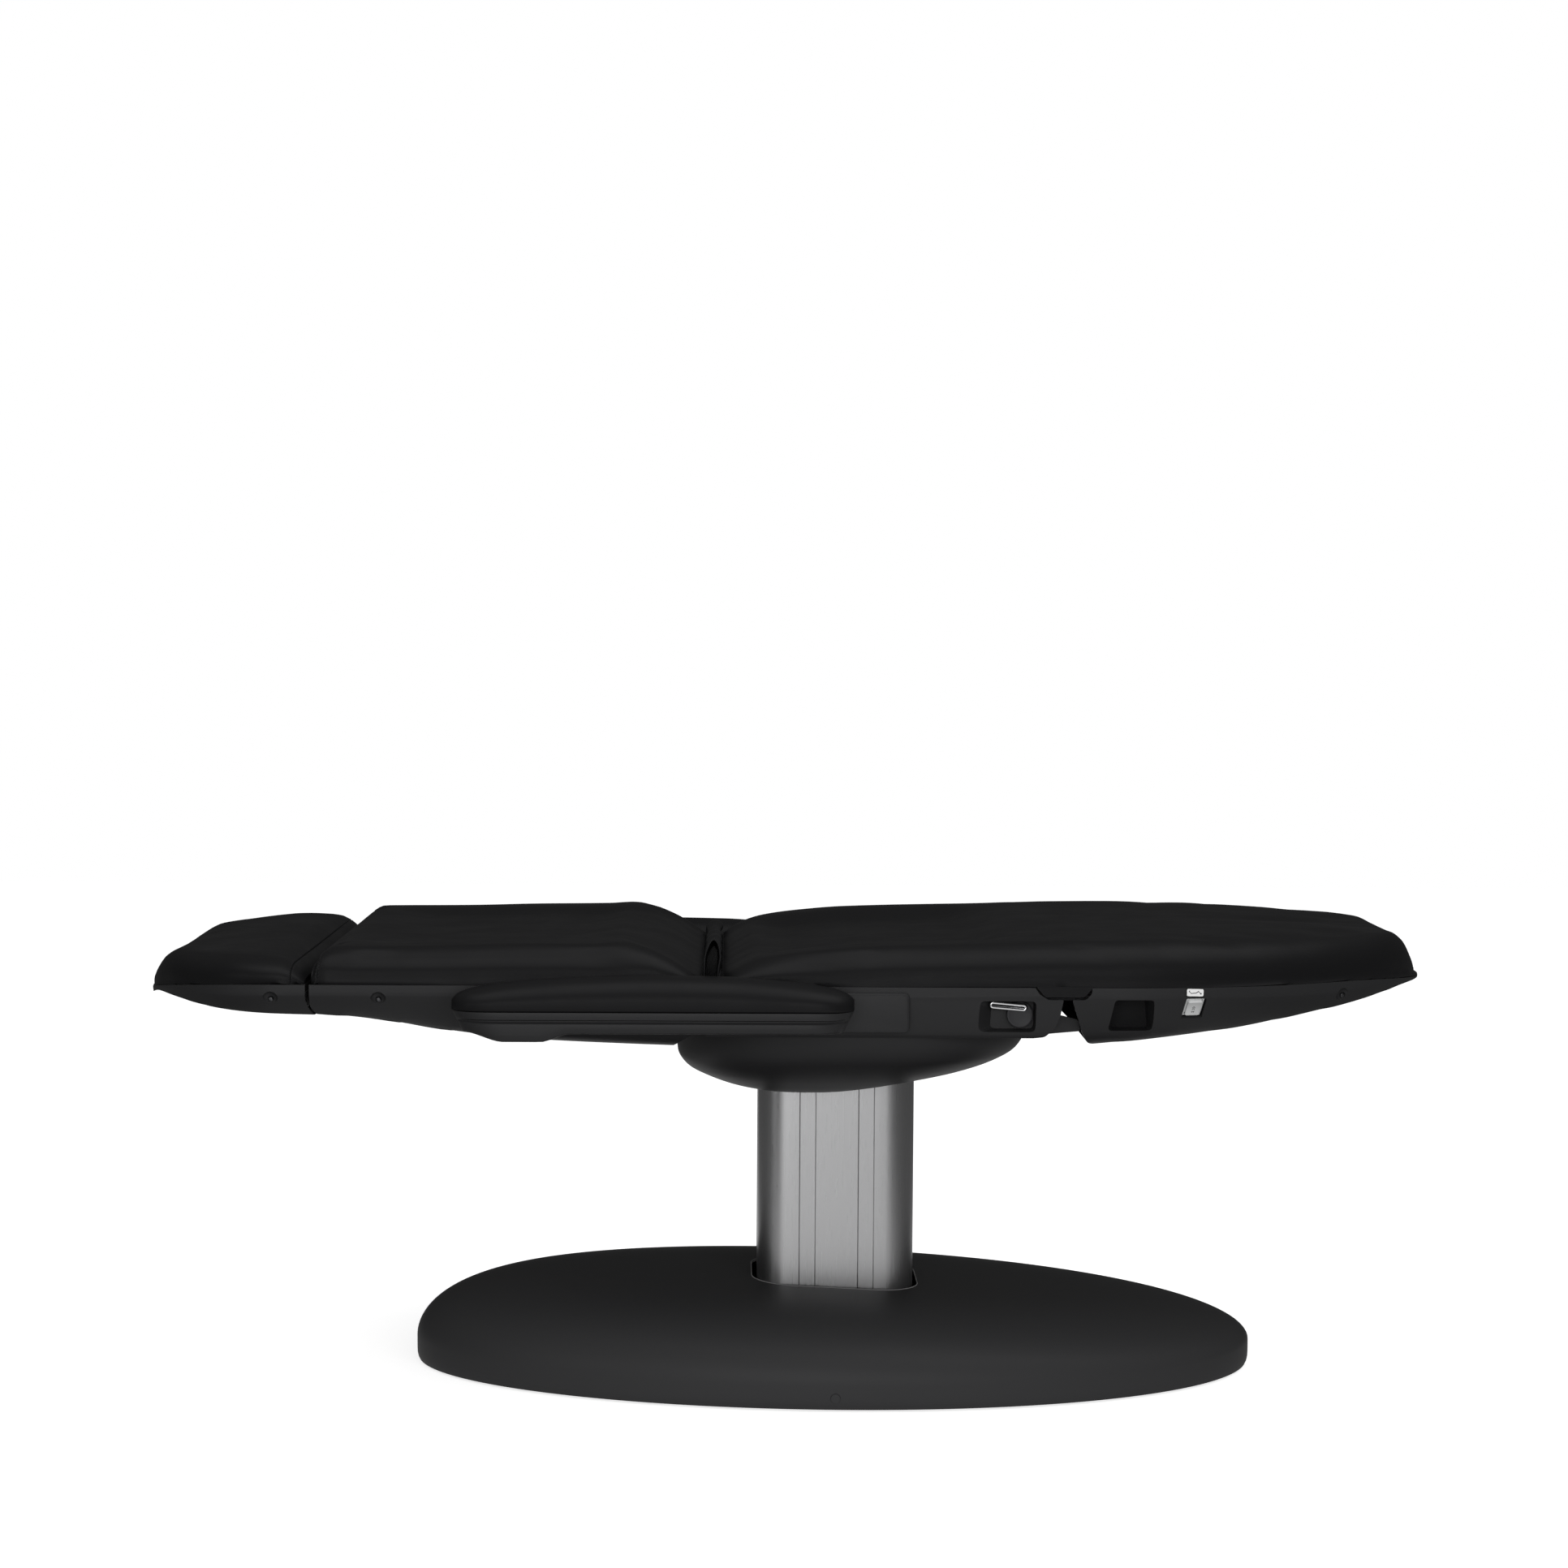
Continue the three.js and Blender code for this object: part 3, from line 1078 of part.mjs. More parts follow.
const headPair = shellPair(...HEAD_SHELL_X, HEAD_BOTTOM, HEAD_SHELL_STATIONS, false, true);
const headLip = bigSlab(HEAD_END_X - WELD, HEAD_LIP_X, 0, HEAD_AXIS.z);
const headKeep = cut(
  union(bigSlab(-HALF_LENGTH - WELD, HEAD_END_X, 0, HALF_LENGTH), headLip),
  bar(HEAD_AXIS.x, HEAD_AXIS.z, HEAD_LIP_R, -HALF_LENGTH, HALF_LENGTH, NOSE_SEGMENTS),
);
const headShell = scooped(headPair.shell, headPair.outer, SCREWS.head).intersect(headKeep);
addMesh("head_shell", headShell, 0x2f2f31, 0.45);
addScrews("head", SCREWS.head);

const headTube = hingeShaft(HEAD_AXIS, headEarR, HEAD_RAIL_Y + RAIL_W / 2);
const headTongue = (s) => {
  const [a, b] = [s * HEAD_RAIL_Y - RAIL_W / 2, s * HEAD_RAIL_Y + RAIL_W / 2];
  return box(HEAD_CROSS[1], HEAD_AXIS.x, a, b, FRAME_Z0 + HEAD_TONGUE_RISE, FRAME_TOP);
};
const headRails = innerRails(HEAD_RAIL_X0, HEAD_CROSS[1], HEAD_RAIL_Y);
let headFrame = union(headRails, mirrored(headTongue), ...HEAD_CROSS.map(crossBar));
headFrame = headFrame.intersect(headPair.cavity(GAP));
headFrame = cut(union(headFrame, headTube), shaftThrough(HEAD_AXIS, HEAD_SHAFT_R));
addMesh("head_frame", headFrame, 0x3c3c3e, 0.5, 0.6);
const headBoard = board(HEAD_BOARD_X0, HEAD_END_X - WELD, RIM_HALF - BOARD_INSET);
addMesh("head_board", headBoard.intersect(headPair.cavity(GAP * 2)), 0x8a6f4d, 0.8);

// Leg part.

const legPair = shellPair(...LEG_SHELL_X, LEG_BOTTOM, LEG_SHELL_STATIONS, true, false);
const notchY = [ACTUATOR_Y - LEVER_NOTCH.half, ACTUATOR_Y + LEVER_NOTCH.half];
const leverNotch = box(0, LEVER_NOTCH.x1, ...notchY, 0, LEVER_NOTCH.z1);
let legShell = scooped(legPair.shell, legPair.outer, SCREWS.leg);
legShell = union(legShell, pocket(GRIP, WALL).intersect(legPair.outer));
legShell = cut(legShell, pocket(GRIP, 0), endCut(LEG_START, 0), leverNotch);

// The rocker sits on a flat cut into the sloped near side of the leg shell, the plate on its rim band.
// The loft's side is flat between its stations, so its half width there is a share of the two rings.
const legRingX = LEG_SHELL_STATIONS.map((s) => LEG_SHELL_X[0] + (LEG_SHELL_X[1] - LEG_SHELL_X[0]) * s);
function facetHalf(x) {
  const k = legRingX.findIndex((ringX) => ringX > x);
  const share = (x - legRingX[k - 1]) / (legRingX[k] - legRingX[k - 1]);
  return THREE.MathUtils.lerp(rimHalf(legRingX[k - 1]), rimHalf(legRingX[k]), share);
}
function onSide(width, length, t0, t1, x, y, z, lean, tilt) {
  const turn = Math.atan2(facetHalf(x) - facetHalf(x + RIM_STEP), RIM_STEP);
  const geometry = new THREE.BoxGeometry(width, t1 - t0, length);
  geometry.translate(0, -(t0 + t1) / 2, 0);
  geometry.rotateY(THREE.MathUtils.degToRad(tilt));
  geometry.rotateX(lean);
  geometry.rotateZ(turn);
  geometry.translate(x, -y, z);
  return toSolid(geometry);
}
const rockerSection = hullSection(ROCKER.x, curve(LEG_BOTTOM, ROCKER.x), 0, 0);
const [slopeTop, slopeLow] = [rockerSection[2], rockerSection[4]];
const flatness = rimHalf(ROCKER.x) - facetHalf(ROCKER.x);
const rockerY = slopeTop[0] + (slopeLow[0] - slopeTop[0]) * ROCKER.share - flatness;
const rockerZ = slopeTop[1] + (slopeLow[1] - slopeTop[1]) * ROCKER.share;
const rockerLean = Math.atan2(slopeTop[0] - slopeLow[0], slopeTop[1] - slopeLow[1]);
const rockerAt = [ROCKER.x, rockerY, rockerZ, rockerLean, 0];
const onSlope = (width, length, t0, t1) => onSide(width, length, t0, t1, ...rockerAt);
const rockerBed = onSlope(BEZEL.width + WALL, BEZEL.length + WALL, -ROCKER.bed, -ROCKER.t);
const rockerFlat = onSlope(BEZEL.width + WALL, BEZEL.length + WALL, -ROCKER.t, OVERRUN);
const rockerHole = [ROCKER.width + ROCKER.play * 2, ROCKER.length + ROCKER.play * 2];
const rockerWell = onSlope(...rockerHole, -ROCKER.well, OVERRUN);
legShell = cut(union(legShell, rockerBed), rockerWell, rockerFlat);
addMesh("leg_shell", legShell, 0x2f2f31, 0.45);
addScrews("leg", SCREWS.leg);

const legTube = hingeShaft(LEG_AXIS, legEarR, INNER_RAIL_Y + RAIL_W / 2);
let legFrame = union(
  innerRails(LEG_AXIS.x + legEarR, LEG_RAIL_X1, INNER_RAIL_Y),
  ear(LEG_AXIS, legEarR, INNER_RAIL_Y, 1),
  ear(LEG_AXIS, legEarR, -INNER_RAIL_Y, 1),
  ...LEG_CROSS.map(crossBar),
);
legFrame = legFrame.intersect(legPair.cavity(GAP));
legFrame = union(legFrame, legTube, leverFork(LEG_AXIS, ACTUATOR_Y, LEG_LEVER));
legFrame = cut(legFrame, shaftThrough(LEG_AXIS, LEG_SHAFT_R));
addMesh("leg_frame", legFrame, 0x3c3c3e, 0.5, 0.6);
const legBoardBox = board(LEG_AXIS.x + legEarR + LEG_BOARD_GAP, LEG_BOARD_X1, RIM_HALF - LEG_BOARD_INSET);
const legBoard = legBoardBox.intersect(legPair.cavity(GAP * 2));
addMesh("leg_board", legBoard, 0x8a6f4d, 0.8);

// The four cushions of the top.

const none = () => 0;
const dish = ({ deep, x0, x1, run }) => (x) => deep * bump(x, x0, x1, run);
const tuck = (at, { run, deep }) => (x) => deep * Math.max(0, 1 - Math.abs(x - at) / run) ** 2;
const headTuck = tuck(CUSHION_HEAD.x1, HEAD_TUCK);
const backTucks = [tuck(CUSHION_BACK.x0, BACK_HEAD_TUCK), tuck(CUSHION_BACK.x1, BACK_SEAT_TUCK)];
const backTuck = (x) => backTucks[0](x) + backTucks[1](x);
const seatTuck = tuck(CUSHION_SEAT.x0, BACK_SEAT_TUCK);
const SOFT = 0x262627;
addMesh("head_cushion", cushion(CUSHION_HEAD, HEAD_TOP, HEAD_STATIONS, none, headTuck), SOFT, 0.7);
addMesh("back_cushion", cushion(CUSHION_BACK, BACK_TOP, BACK_STATIONS, dish(BACK_DISH), backTuck), SOFT, 0.7);
addMesh("seat_cushion", cushion(CUSHION_SEAT, SEAT_TOP, SEAT_STATIONS, dish(SEAT_DISH), seatTuck), SOFT, 0.7);
addMesh("leg_cushion", cushion(CUSHION_LEG, LEG_TOP, LEG_STATIONS, none, none), SOFT, 0.7);

// Gaiter in the gap.

function bandOutline(points, t) {
  const side = (sign) =>
    points.map(([x, z], i) => {
      const a = points[Math.max(0, i - 1)];
      const b = points[Math.min(points.length - 1, i + 1)];
      const length = Math.hypot(b[0] - a[0], b[1] - a[1]);
      return [x - (sign * (b[1] - a[1]) * t) / length / 2, z + (sign * (b[0] - a[0]) * t) / length / 2];
    });
  return [...side(1), ...side(-1).reverse()];
}
addMesh("gap_gaiter", slab(bandOutline(GAITER, GAITER_T), -GAITER_HALF, GAITER_HALF), 0x222223, 0.7);

// Armrests.

function armWidth(x) {
  const left = Math.max(0, (ARM.x0 + ARM.noseLeft - x) / ARM.noseLeft);
  const right = Math.max(0, (x - ARM.x1 + ARM.noseRight) / ARM.noseRight);
  const run = Math.min(1, Math.max(left, right));
  return ARM.half * Math.sqrt(1 - run * run * run);
}
function armRing(x, half, side) {
  const ring = crossRing(x, half);
  return ring.map((p) => p.setY(p.y + side * ARM.y));
}

// The lower tiers are shorter than the upper ones.
function tapered(ring) {
  const middle = (ARM.x0 + ARM.x1) / 2;
  const [top] = TIER_HEIGHTS;
  const deep = top - TIER_HEIGHTS[TIER_HEIGHTS.length - 1];
  return ring.map((p) => p.setX(middle + (p.x - middle) * (1 - (TIER_TAPER_SHARE * (top - p.z)) / deep)));
}
function armPad(side) {
  const rings = ARM_STATIONS.map((s) => {
    const x = ARM.x0 + (ARM.x1 - ARM.x0) * s;
    const w = armWidth(x);
    const z0 = PAD_Z0;
    const z1 = curve(PAD_TOP, x);
    const h = z1 - z0;
    const rise = z0 + h * PAD_SHARES.rise;
    const arc = PAD_ARC_SHARES.map((t) => {
      const angle = (t * Math.PI) / 2;
      return [w * Math.cos(angle) ** PAD_SHARES.roundness, rise + (z1 - rise) * Math.sin(angle)];
    });
    const edge = [w * PAD_SHARES.side, z0 + h * PAD_SHARES.sideRise];
    return armRing(x, [[0, z0], [w * PAD_SHARES.foot, z0], edge, [w, rise], ...arc, [0, z1]], side);
  });
  return loft(rings);
}
function armShell(side) {
  const rings = ARM_STATIONS.map((s) => {
    const x = ARM.x0 + (ARM.x1 - ARM.x0) * s;
    const w = armWidth(x);
    const lower = BULGE.drop * bump(x, BULGE.x0, BULGE.x1, BULGE.run);
    const tier = (z, i) => [w * TIER_SHARES[i], z - (i >= BULGE.tier ? lower : 0)];
    const half = TIER_HEIGHTS.map(tier);
    return tapered(armRing(x, [[0, half[0][1]], ...half, [0, half[half.length - 1][1]]], side));
  });
  return cut(loft(rings), shaftBore);
}
for (const [name, side] of [["left", 1], ["right", -1]]) {
  addMesh("armrest_shell_" + name, armShell(side), 0x2f2f31, 0.45);
  addMesh("armrest_pad_" + name, armPad(side), SOFT, 0.7);
}

// Actuators.

// A tube and gearbox hung from the head plate, and a rod whose cross pin rides in the lever's slots.
function actuator(name, { x0, x1 }, y, axis, { drop, startDegrees }) {
  const pinX = axis.x + drop * Math.tan(THREE.MathUtils.degToRad(startDegrees));
  const z = axis.z - drop;
  const side = Math.sign(pinX - (x0 + x1) / 2);
  const [near, far] = side < 0 ? [x0, x1] : [x1, x0];
  const along = (a, b, r) => rodAlong(Math.min(a, b), Math.max(a, b), y, z, r);
  const boxTo = far + side * GEARBOX.length;
  const hangerX = COLUMN_X + HEAD_PLATE.length / 2 - RAIL_W * 2;
  const hanger = box(hangerX, hangerX + RAIL_W, y - LEVER_T, y + LEVER_T, z, HEAD_PLATE_Z0 - GAP);
  const gearX = [Math.min(far, boxTo), Math.max(far, boxTo)];
  const gearbox = box(...gearX, y - GEARBOX.half, y + GEARBOX.half, z - GEARBOX.drop, z + GEARBOX.rise);
  const bore = along(boxTo, near + side * OVERRUN, PUSH_R + SLIDE_CLEARANCE);
  const housing = cut(union(along(x0, x1, PUSH_TUBE_R), gearbox, hanger), bore);
  addMesh(name + "_actuator", housing, 0x2a2a2b, 0.5);
  const pinHalf = EYE_HALF + GAP + LEVER_T;
  const rod = union(
    along(near - side * ROD_INSIDE, pinX, PUSH_R),
    bar(pinX, z, EYE_R, y - EYE_HALF, y + EYE_HALF),
    bar(pinX, z, PIN_R, y - pinHalf, y + pinHalf, SMALL_SEGMENTS),
  );
  addMesh(name + "_push_rod", rod, 0xb0b0b0, 0.3, 1);
}
actuator("back", BACK_PUSH, -ACTUATOR_Y, BACK_AXIS, BACK_LEVER);
actuator("leg", LEG_PUSH, ACTUATOR_Y, LEG_AXIS, LEG_LEVER);

// Small parts.

const rockerBody = onSlope(ROCKER.width, ROCKER.length, -ROCKER.depth - ROCKER.t, ROCKER.t);
addMesh("rocker_switch", rockerBody, 0xc8c9ca, 0.4);
const bezelHole = onSlope(...rockerHole, -ROCKER.bed, OVERRUN);
const bezel = cut(onSlope(BEZEL.width, BEZEL.length, GAP - ROCKER.t, BEZEL.t - ROCKER.t), bezelHole);
addMesh("rocker_bezel", bezel, 0x9a9b9d, 0.4);
const labelAt = [LABEL.x, facetHalf(LABEL.x), LABEL.z, 0, LABEL.tiltDegrees];
addMesh("label_plate", onSide(LABEL.width, LABEL.height, GAP, LABEL.t, ...labelAt), 0xe8e8e8, 0.4);

const discFront = -(RECESS.y + GAP + DISC.t);
addMesh("lever_disc", bar(DISC.x, DISC.z, DISC.r, discFront, discFront + DISC.t), 0x7d7d7f, 0.4);

// The release loop is a closed ring of round bar.
function closedTube(path, r, segments) {
  const positions = [];
  const across = new THREE.Vector3(0, 1, 0);
  const rings = path.map((p, i) => {
    const ahead = path[(i + 1) % path.length];
    const behind = path[(i + path.length - 1) % path.length];
    const out = new THREE.Vector3().subVectors(ahead, behind).cross(across).normalize();
    return Array.from({ length: segments }, (_, k) => {
      const angle = (k / segments) * Math.PI * 2;
      return p.clone().addScaledVector(out, r * Math.cos(angle)).addScaledVector(across, r * Math.sin(angle));
    });
  });
  rings.forEach((ring, i) => {
    const next = rings[(i + 1) % rings.length];
    ring.forEach((p, k) => {
      const l = (k + 1) % segments;
      for (const v of [p, ring[l], next[l], p, next[l], next[k]]) positions.push(v.x, v.y, v.z);
    });
  });
  const geometry = new THREE.BufferGeometry();
  geometry.setAttribute("position", new THREE.Float32BufferAttribute(positions, 3));
  const solid = toSolid(geometry);
  return solid.volume() < 0 ? toSolid(flipped(geometry)) : solid;
}
const loopPath = [];
for (const end of [0, 1]) {
  for (let i = 0; i <= LOOP.segments; i++) {
    const angle = (i / LOOP.segments - 0.5 + end) * Math.PI;
    const flat = (LOOP.half - LOOP.high) * (end ? -1 : 1);
    const px = flat + LOOP.high * Math.cos(angle);
    const pz = LOOP.high * Math.sin(angle);
    const tilt = -THREE.MathUtils.degToRad(LOOP.tiltDegrees);
    const x = LOOP.x + px * Math.cos(tilt) - pz * Math.sin(tilt);
    const z = LOOP.z + px * Math.sin(tilt) + pz * Math.cos(tilt);
    loopPath.push(new THREE.Vector3(x, discFront - GAP - LOOP.bar, z));
  }
}
addMesh("lever_loop", closedTube(loopPath, LOOP.bar, LOOP.segments), 0xd8d8da, 0.12, 1);

const { x0: boxX0, x1: boxX1, y: boxY, z0: boxZ0 } = CONTROL_BOX;
addMesh("control_box", box(boxX0, boxX1, -boxY, boxY, boxZ0, FRAME_Z0 - GAP), 0x1d1d1e, 0.6);

export default group;
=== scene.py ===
"""Electric treatment table: the looks of its pieces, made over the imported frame.

Lengths in the tables below are millimetres in the frame's own axes: the head is at -X, the near side at -Y.
"""

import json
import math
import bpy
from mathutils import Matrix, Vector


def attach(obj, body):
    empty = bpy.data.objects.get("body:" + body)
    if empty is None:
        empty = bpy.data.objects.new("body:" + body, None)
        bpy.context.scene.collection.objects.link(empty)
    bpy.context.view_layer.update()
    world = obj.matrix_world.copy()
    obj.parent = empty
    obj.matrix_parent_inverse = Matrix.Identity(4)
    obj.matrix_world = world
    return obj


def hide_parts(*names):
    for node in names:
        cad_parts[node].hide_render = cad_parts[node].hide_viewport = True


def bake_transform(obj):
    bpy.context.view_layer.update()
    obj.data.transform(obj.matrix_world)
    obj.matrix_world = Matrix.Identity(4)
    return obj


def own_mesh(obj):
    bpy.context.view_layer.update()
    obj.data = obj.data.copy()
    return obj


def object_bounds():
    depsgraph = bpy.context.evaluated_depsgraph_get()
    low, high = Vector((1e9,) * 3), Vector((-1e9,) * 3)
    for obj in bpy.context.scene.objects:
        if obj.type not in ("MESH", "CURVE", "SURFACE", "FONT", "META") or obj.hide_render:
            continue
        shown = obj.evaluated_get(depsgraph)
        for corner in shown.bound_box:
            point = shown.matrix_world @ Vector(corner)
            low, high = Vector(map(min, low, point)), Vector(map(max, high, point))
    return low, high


bl_info = {
    "name": "Electric treatment table",
    "version": (1, 0, 0),
    "blender": (4, 5, 0),
    "location": "View3D > Sidebar > Table",
    "description": "Builds the upholstery, shells, column and controls of an electric treatment table",
    "category": "Object",
}

import bmesh
import bpy
import numpy as np
from mathutils import Matrix, Vector

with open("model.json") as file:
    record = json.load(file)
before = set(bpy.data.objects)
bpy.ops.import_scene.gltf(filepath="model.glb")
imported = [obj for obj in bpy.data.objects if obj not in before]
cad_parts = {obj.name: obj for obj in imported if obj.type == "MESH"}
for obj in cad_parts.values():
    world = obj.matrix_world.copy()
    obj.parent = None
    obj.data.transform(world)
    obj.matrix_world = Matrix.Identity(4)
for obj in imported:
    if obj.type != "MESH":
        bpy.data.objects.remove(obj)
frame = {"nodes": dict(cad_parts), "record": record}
CAD_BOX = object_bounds()
NODES = frame["nodes"]

MM = 0.001
PHOTO_PX = 1932

# Driving sizes, the same as the frame's. A nose is where an end of the plan rounds off, a droop how far the
# rim falls there, and an axis a hinge's place in x and z.
HALF_LENGTH = 1000
RIM_HALF = 390
RIM_Z = 642
COLUMN_X = 75
FIT = 0.3
WALL = 5
FAR = 1500
BORE_R = 13.3
SIDES = ((1, "left"), (-1, "right"))
HEAD_NOSE = 240
FOOT_NOSE = 520
HEAD_DROOP = 48
FOOT_DROOP = (15, 180)
BACK_AXIS = (-112, 625)
HEAD_AXIS = (-684, 616)
LEG_AXIS = (402.5, 632)
ARM_AXIS = (50, 599)

# Undersides of the shells and crowns of the cushions, as (x, z)
HEAD_BOTTOM = ((-1000, 593), (-958, 612), (-920, 610), (-860, 601), (-780, 596), (-678, 593))
BACK_BOTTOM = ((-716, 596), (-638, 588.5), (-509, 566.5), (-380, 552), (-250, 546), (-130, 542))
LEG_BOTTOM = ((400, 545), (448, 548), (560, 560), (670, 574), (775, 593), (880, 611.5), (950, 625),
              (985, 626.5), (1000, 624.5))
HEAD_TOP = ((-1000, 614), (-994, 629), (-984, 643), (-965, 662), (-935, 675), (-890, 676), (-820, 680),
            (-772, 679), (-755, 677.5), (-742, 672.5), (-730, 664), (-719, 650))
BACK_TOP = ((-709, 668), (-706, 684), (-698, 691), (-665, 692), (-600, 692), (-400, 696), (-300, 697),
            (-255, 699.5), (-215, 695), (-185, 684.5), (-160, 671), (-135, 651))
SEAT_TOP = ((-105, 651), (-85, 665), (-60, 674), (-30, 680), (20, 687), (100, 694), (250, 699),
            (330, 701.5), (402.5, 704), (650, 708), (800, 709), (880, 708.5), (935, 707), (965, 692),
            (985, 667), (995, 648), (1000, 633))


# Curves
def curve(points, x):
    """Monotone smooth curve through a few points, for a number or an array."""
    px, py = np.array(points, float).T
    x = np.clip(np.asarray(x, float), px[0], px[-1])
    secant = np.diff(py) / np.diff(px)
    slope = np.empty(len(px))
    slope[0], slope[-1] = secant[0], secant[-1]
    a, b = secant[:-1], secant[1:]
    same = a * b > 0
    slope[1:-1] = np.where(same, 2 * a * b / np.where(same, a + b, 1), 0)
    k = np.clip(np.searchsorted(px, x, side="right") - 1, 0, len(px) - 2)
    h = px[k + 1] - px[k]
    t = (x - px[k]) / h
    s = 1 - t
    left = s * s * ((1 + 2 * t) * py[k] + t * h * slope[k])
    right = t * t * ((1 + 2 * s) * py[k + 1] - s * h * slope[k + 1])
    return left + right


def rim_half(x):
    """Half width of the plan at x."""
    head = (-HALF_LENGTH + HEAD_NOSE - x) / HEAD_NOSE
    foot = (x - HALF_LENGTH + FOOT_NOSE) / FOOT_NOSE
    run = min(1, max(head, foot, 0))
    return RIM_HALF * math.sqrt(1 - run * run)


def rim_z(x):
    """Height of the line between shells and cushions at x."""
    head = min(1, max(0, (-HALF_LENGTH + HEAD_NOSE - x) / HEAD_NOSE))
    foot = max(0, 1 - (HALF_LENGTH - x) / FOOT_DROOP[1])
    return RIM_Z - HEAD_DROOP * (1 - math.sqrt(1 - head * head)) - FOOT_DROOP[0] * foot * foot


def smoothstep(x, a, b):
    """0 up to a, 1 from b on, smooth between."""
    t = min(1, max(0, (x - a) / (b - a)))
    return t * t * (3 - 2 * t)


def bump(x, a, b, run):
    """1 between a and b, falling to 0 over run inside each end."""
    return min(smoothstep(x, a, a + run), 1 - smoothstep(x, b - run, b))


def resampled(points, count, closed=False):
    """The polyline's points again, evenly spaced along it."""
    p = np.array(points, float)
    if closed:
        p = np.vstack([p, p[:1]])
    length = np.concatenate([[0], np.cumsum(np.linalg.norm(np.diff(p, axis=0), axis=1))])
    at = np.linspace(0, length[-1], count + 1 if closed else count)
    if closed:
        at = at[:-1]
    return np.stack([np.interp(at, length, p[:, k]) for k in range(p.shape[1])], axis=1)


def filleted(points, radii, steps=6):
    """A closed outline with its corners rounded."""
    out = []
    count = len(points)
    for i, (p, r) in enumerate(zip(points, radii)):
        here = np.array(p, float)
        if r == 0:
            out.append(here)
            continue
        before = np.array(points[i - 1], float) - here
        after = np.array(points[(i + 1) % count], float) - here
        lb, la = np.linalg.norm(before), np.linalg.norm(after)
        before, after = before / lb, after / la
        half = math.acos(max(-1, min(1, float(before @ after)))) / 2
        reach = min(r / math.tan(half), lb * 0.49, la * 0.49)
        a, b = here + before * reach, here + after * reach
        for k in range(steps + 1):
            t = k / steps
            out.append((1 - t) ** 2 * a + 2 * t * (1 - t) * here + t * t * b)
    return [tuple(p) for p in out]


def through(points, per=6):
    """A smooth open line through the points."""
    p = np.array(points, float)
    p = np.vstack([2 * p[0] - p[1], p, 2 * p[-1] - p[-2]])
    out = []
    for i in range(1, len(p) - 2):
        for k in range(per):
            t = k / per
            a, b, c, d = p[i - 1 : i + 3]
            out.append(0.5 * (2 * b + (c - a) * t + (2 * a - 5 * b + 4 * c - d) * t * t
                              + (3 * b - a - 3 * c + d) * t ** 3))
    out.append(p[-2])
    return np.array(out)


# Meshes
def linked(name, data):
    """A new object of the data, in the scene."""
    obj = bpy.data.objects.new(name, data)
    bpy.context.scene.collection.objects.link(obj)
    return obj


def new_object(name, verts, faces, smooth=40):
    """A mesh object from millimetre points, at the origin, shaded smooth up to an angle in degrees."""
    mesh = bpy.data.meshes.new(name)
    mesh.from_pydata([tuple(v) for v in np.asarray(verts, float) * MM], [], [tuple(f) for f in faces])
    mesh.validate()
    obj = linked(name, mesh)
    shade(obj, smooth)
    return obj


def shade(obj, angle):
    obj.data.shade_smooth()
    obj.data.set_sharp_from_angle(angle=math.radians(angle))


def outward(obj):
    """Faces turned outwards after the doubles are merged."""
    work = bmesh.new()
    work.from_mesh(obj.data)
    bmesh.ops.remove_doubles(work, verts=work.verts, dist=1e-6)
    bmesh.ops.recalc_face_normals(work, faces=work.faces)
    work.to_mesh(obj.data)
    work.free()
    return obj


def ring_faces(rows, count, closed=False):
    """Faces between rings of points: a tube with two ends, or a closed loop of rings."""
    faces = []
    for r in range(rows if closed else rows - 1):
        a, b = r * count, ((r + 1) % rows) * count
        for i in range(count):
            j = (i + 1) % count
            faces.append((a + i, a + j, b + j, b + i))
    if not closed:
        faces.append(tuple(reversed(range(count))))
        faces.append(tuple(range((rows - 1) * count, rows * count)))
    return faces


def loft(name, rings, smooth=40):
    """A closed solid over rings of millimetre points."""
    rings = np.asarray(rings, float)
    rows, count = rings.shape[:2]
    obj = outward(new_object(name, rings.reshape(-1, 3), ring_faces(rows, count), smooth))
    shade(obj, smooth)
    return obj


def prism(name, outline, a, b, plane="XZ", smooth=40):
    """An outline in the XZ or the XY plane, pushed from a to b along the third axis."""
    if plane == "XZ":
        rings = [[(x, t, z) for x, z in outline] for t in (a, b)]
    else:
        rings = [[(x, y, t) for x, y in outline] for t in (a, b)]
    return loft(name, rings, smooth)


def circle(radius, count, centre=(0, 0)):
    turns = [2 * math.pi * i / count for i in range(count)]
    return [(centre[0] + radius * math.cos(t), centre[1] + radius * math.sin(t)) for t in turns]


def rod(name, centre, radius, a, b, count=64):
    """A round bar across the table, about a centre in x and z."""
    return prism(name, circle(radius, count, centre), a, b)


def box(name, x, y, z):
    return prism(name, [(x[0], z[0]), (x[1], z[0]), (x[1], z[1]), (x[0], z[1])], *y)


def combine(obj, how, *others, keep=False):
    """Boolean of obj with other closed solids, which are used up unless they are kept."""
    for other in others:
        modifier = obj.modifiers.new("cut", "BOOLEAN")
        modifier.operation = how
        modifier.solver = "MANIFOLD"
        modifier.object = other
        bake(obj)
        if not keep:
            drop(other)
    return obj


def cut(obj, *others):
    return combine(obj, "DIFFERENCE", *others)


def bake(obj):
    """The modifiers' result becomes the object's own mesh."""
    bpy.context.view_layer.update()
    depsgraph = bpy.context.evaluated_depsgraph_get()
    mesh = bpy.data.meshes.new_from_object(obj.evaluated_get(depsgraph))
    old = obj.data
    obj.modifiers.clear()
    obj.data = mesh
    if old.users == 0:
        bpy.data.meshes.remove(old)


def drop(obj):
    mesh = obj.data
    bpy.data.objects.remove(obj)
    if mesh.users == 0:
        bpy.data.meshes.remove(mesh)


def paint(obj, material):
    obj.data.materials.clear()
    obj.data.materials.append(material)


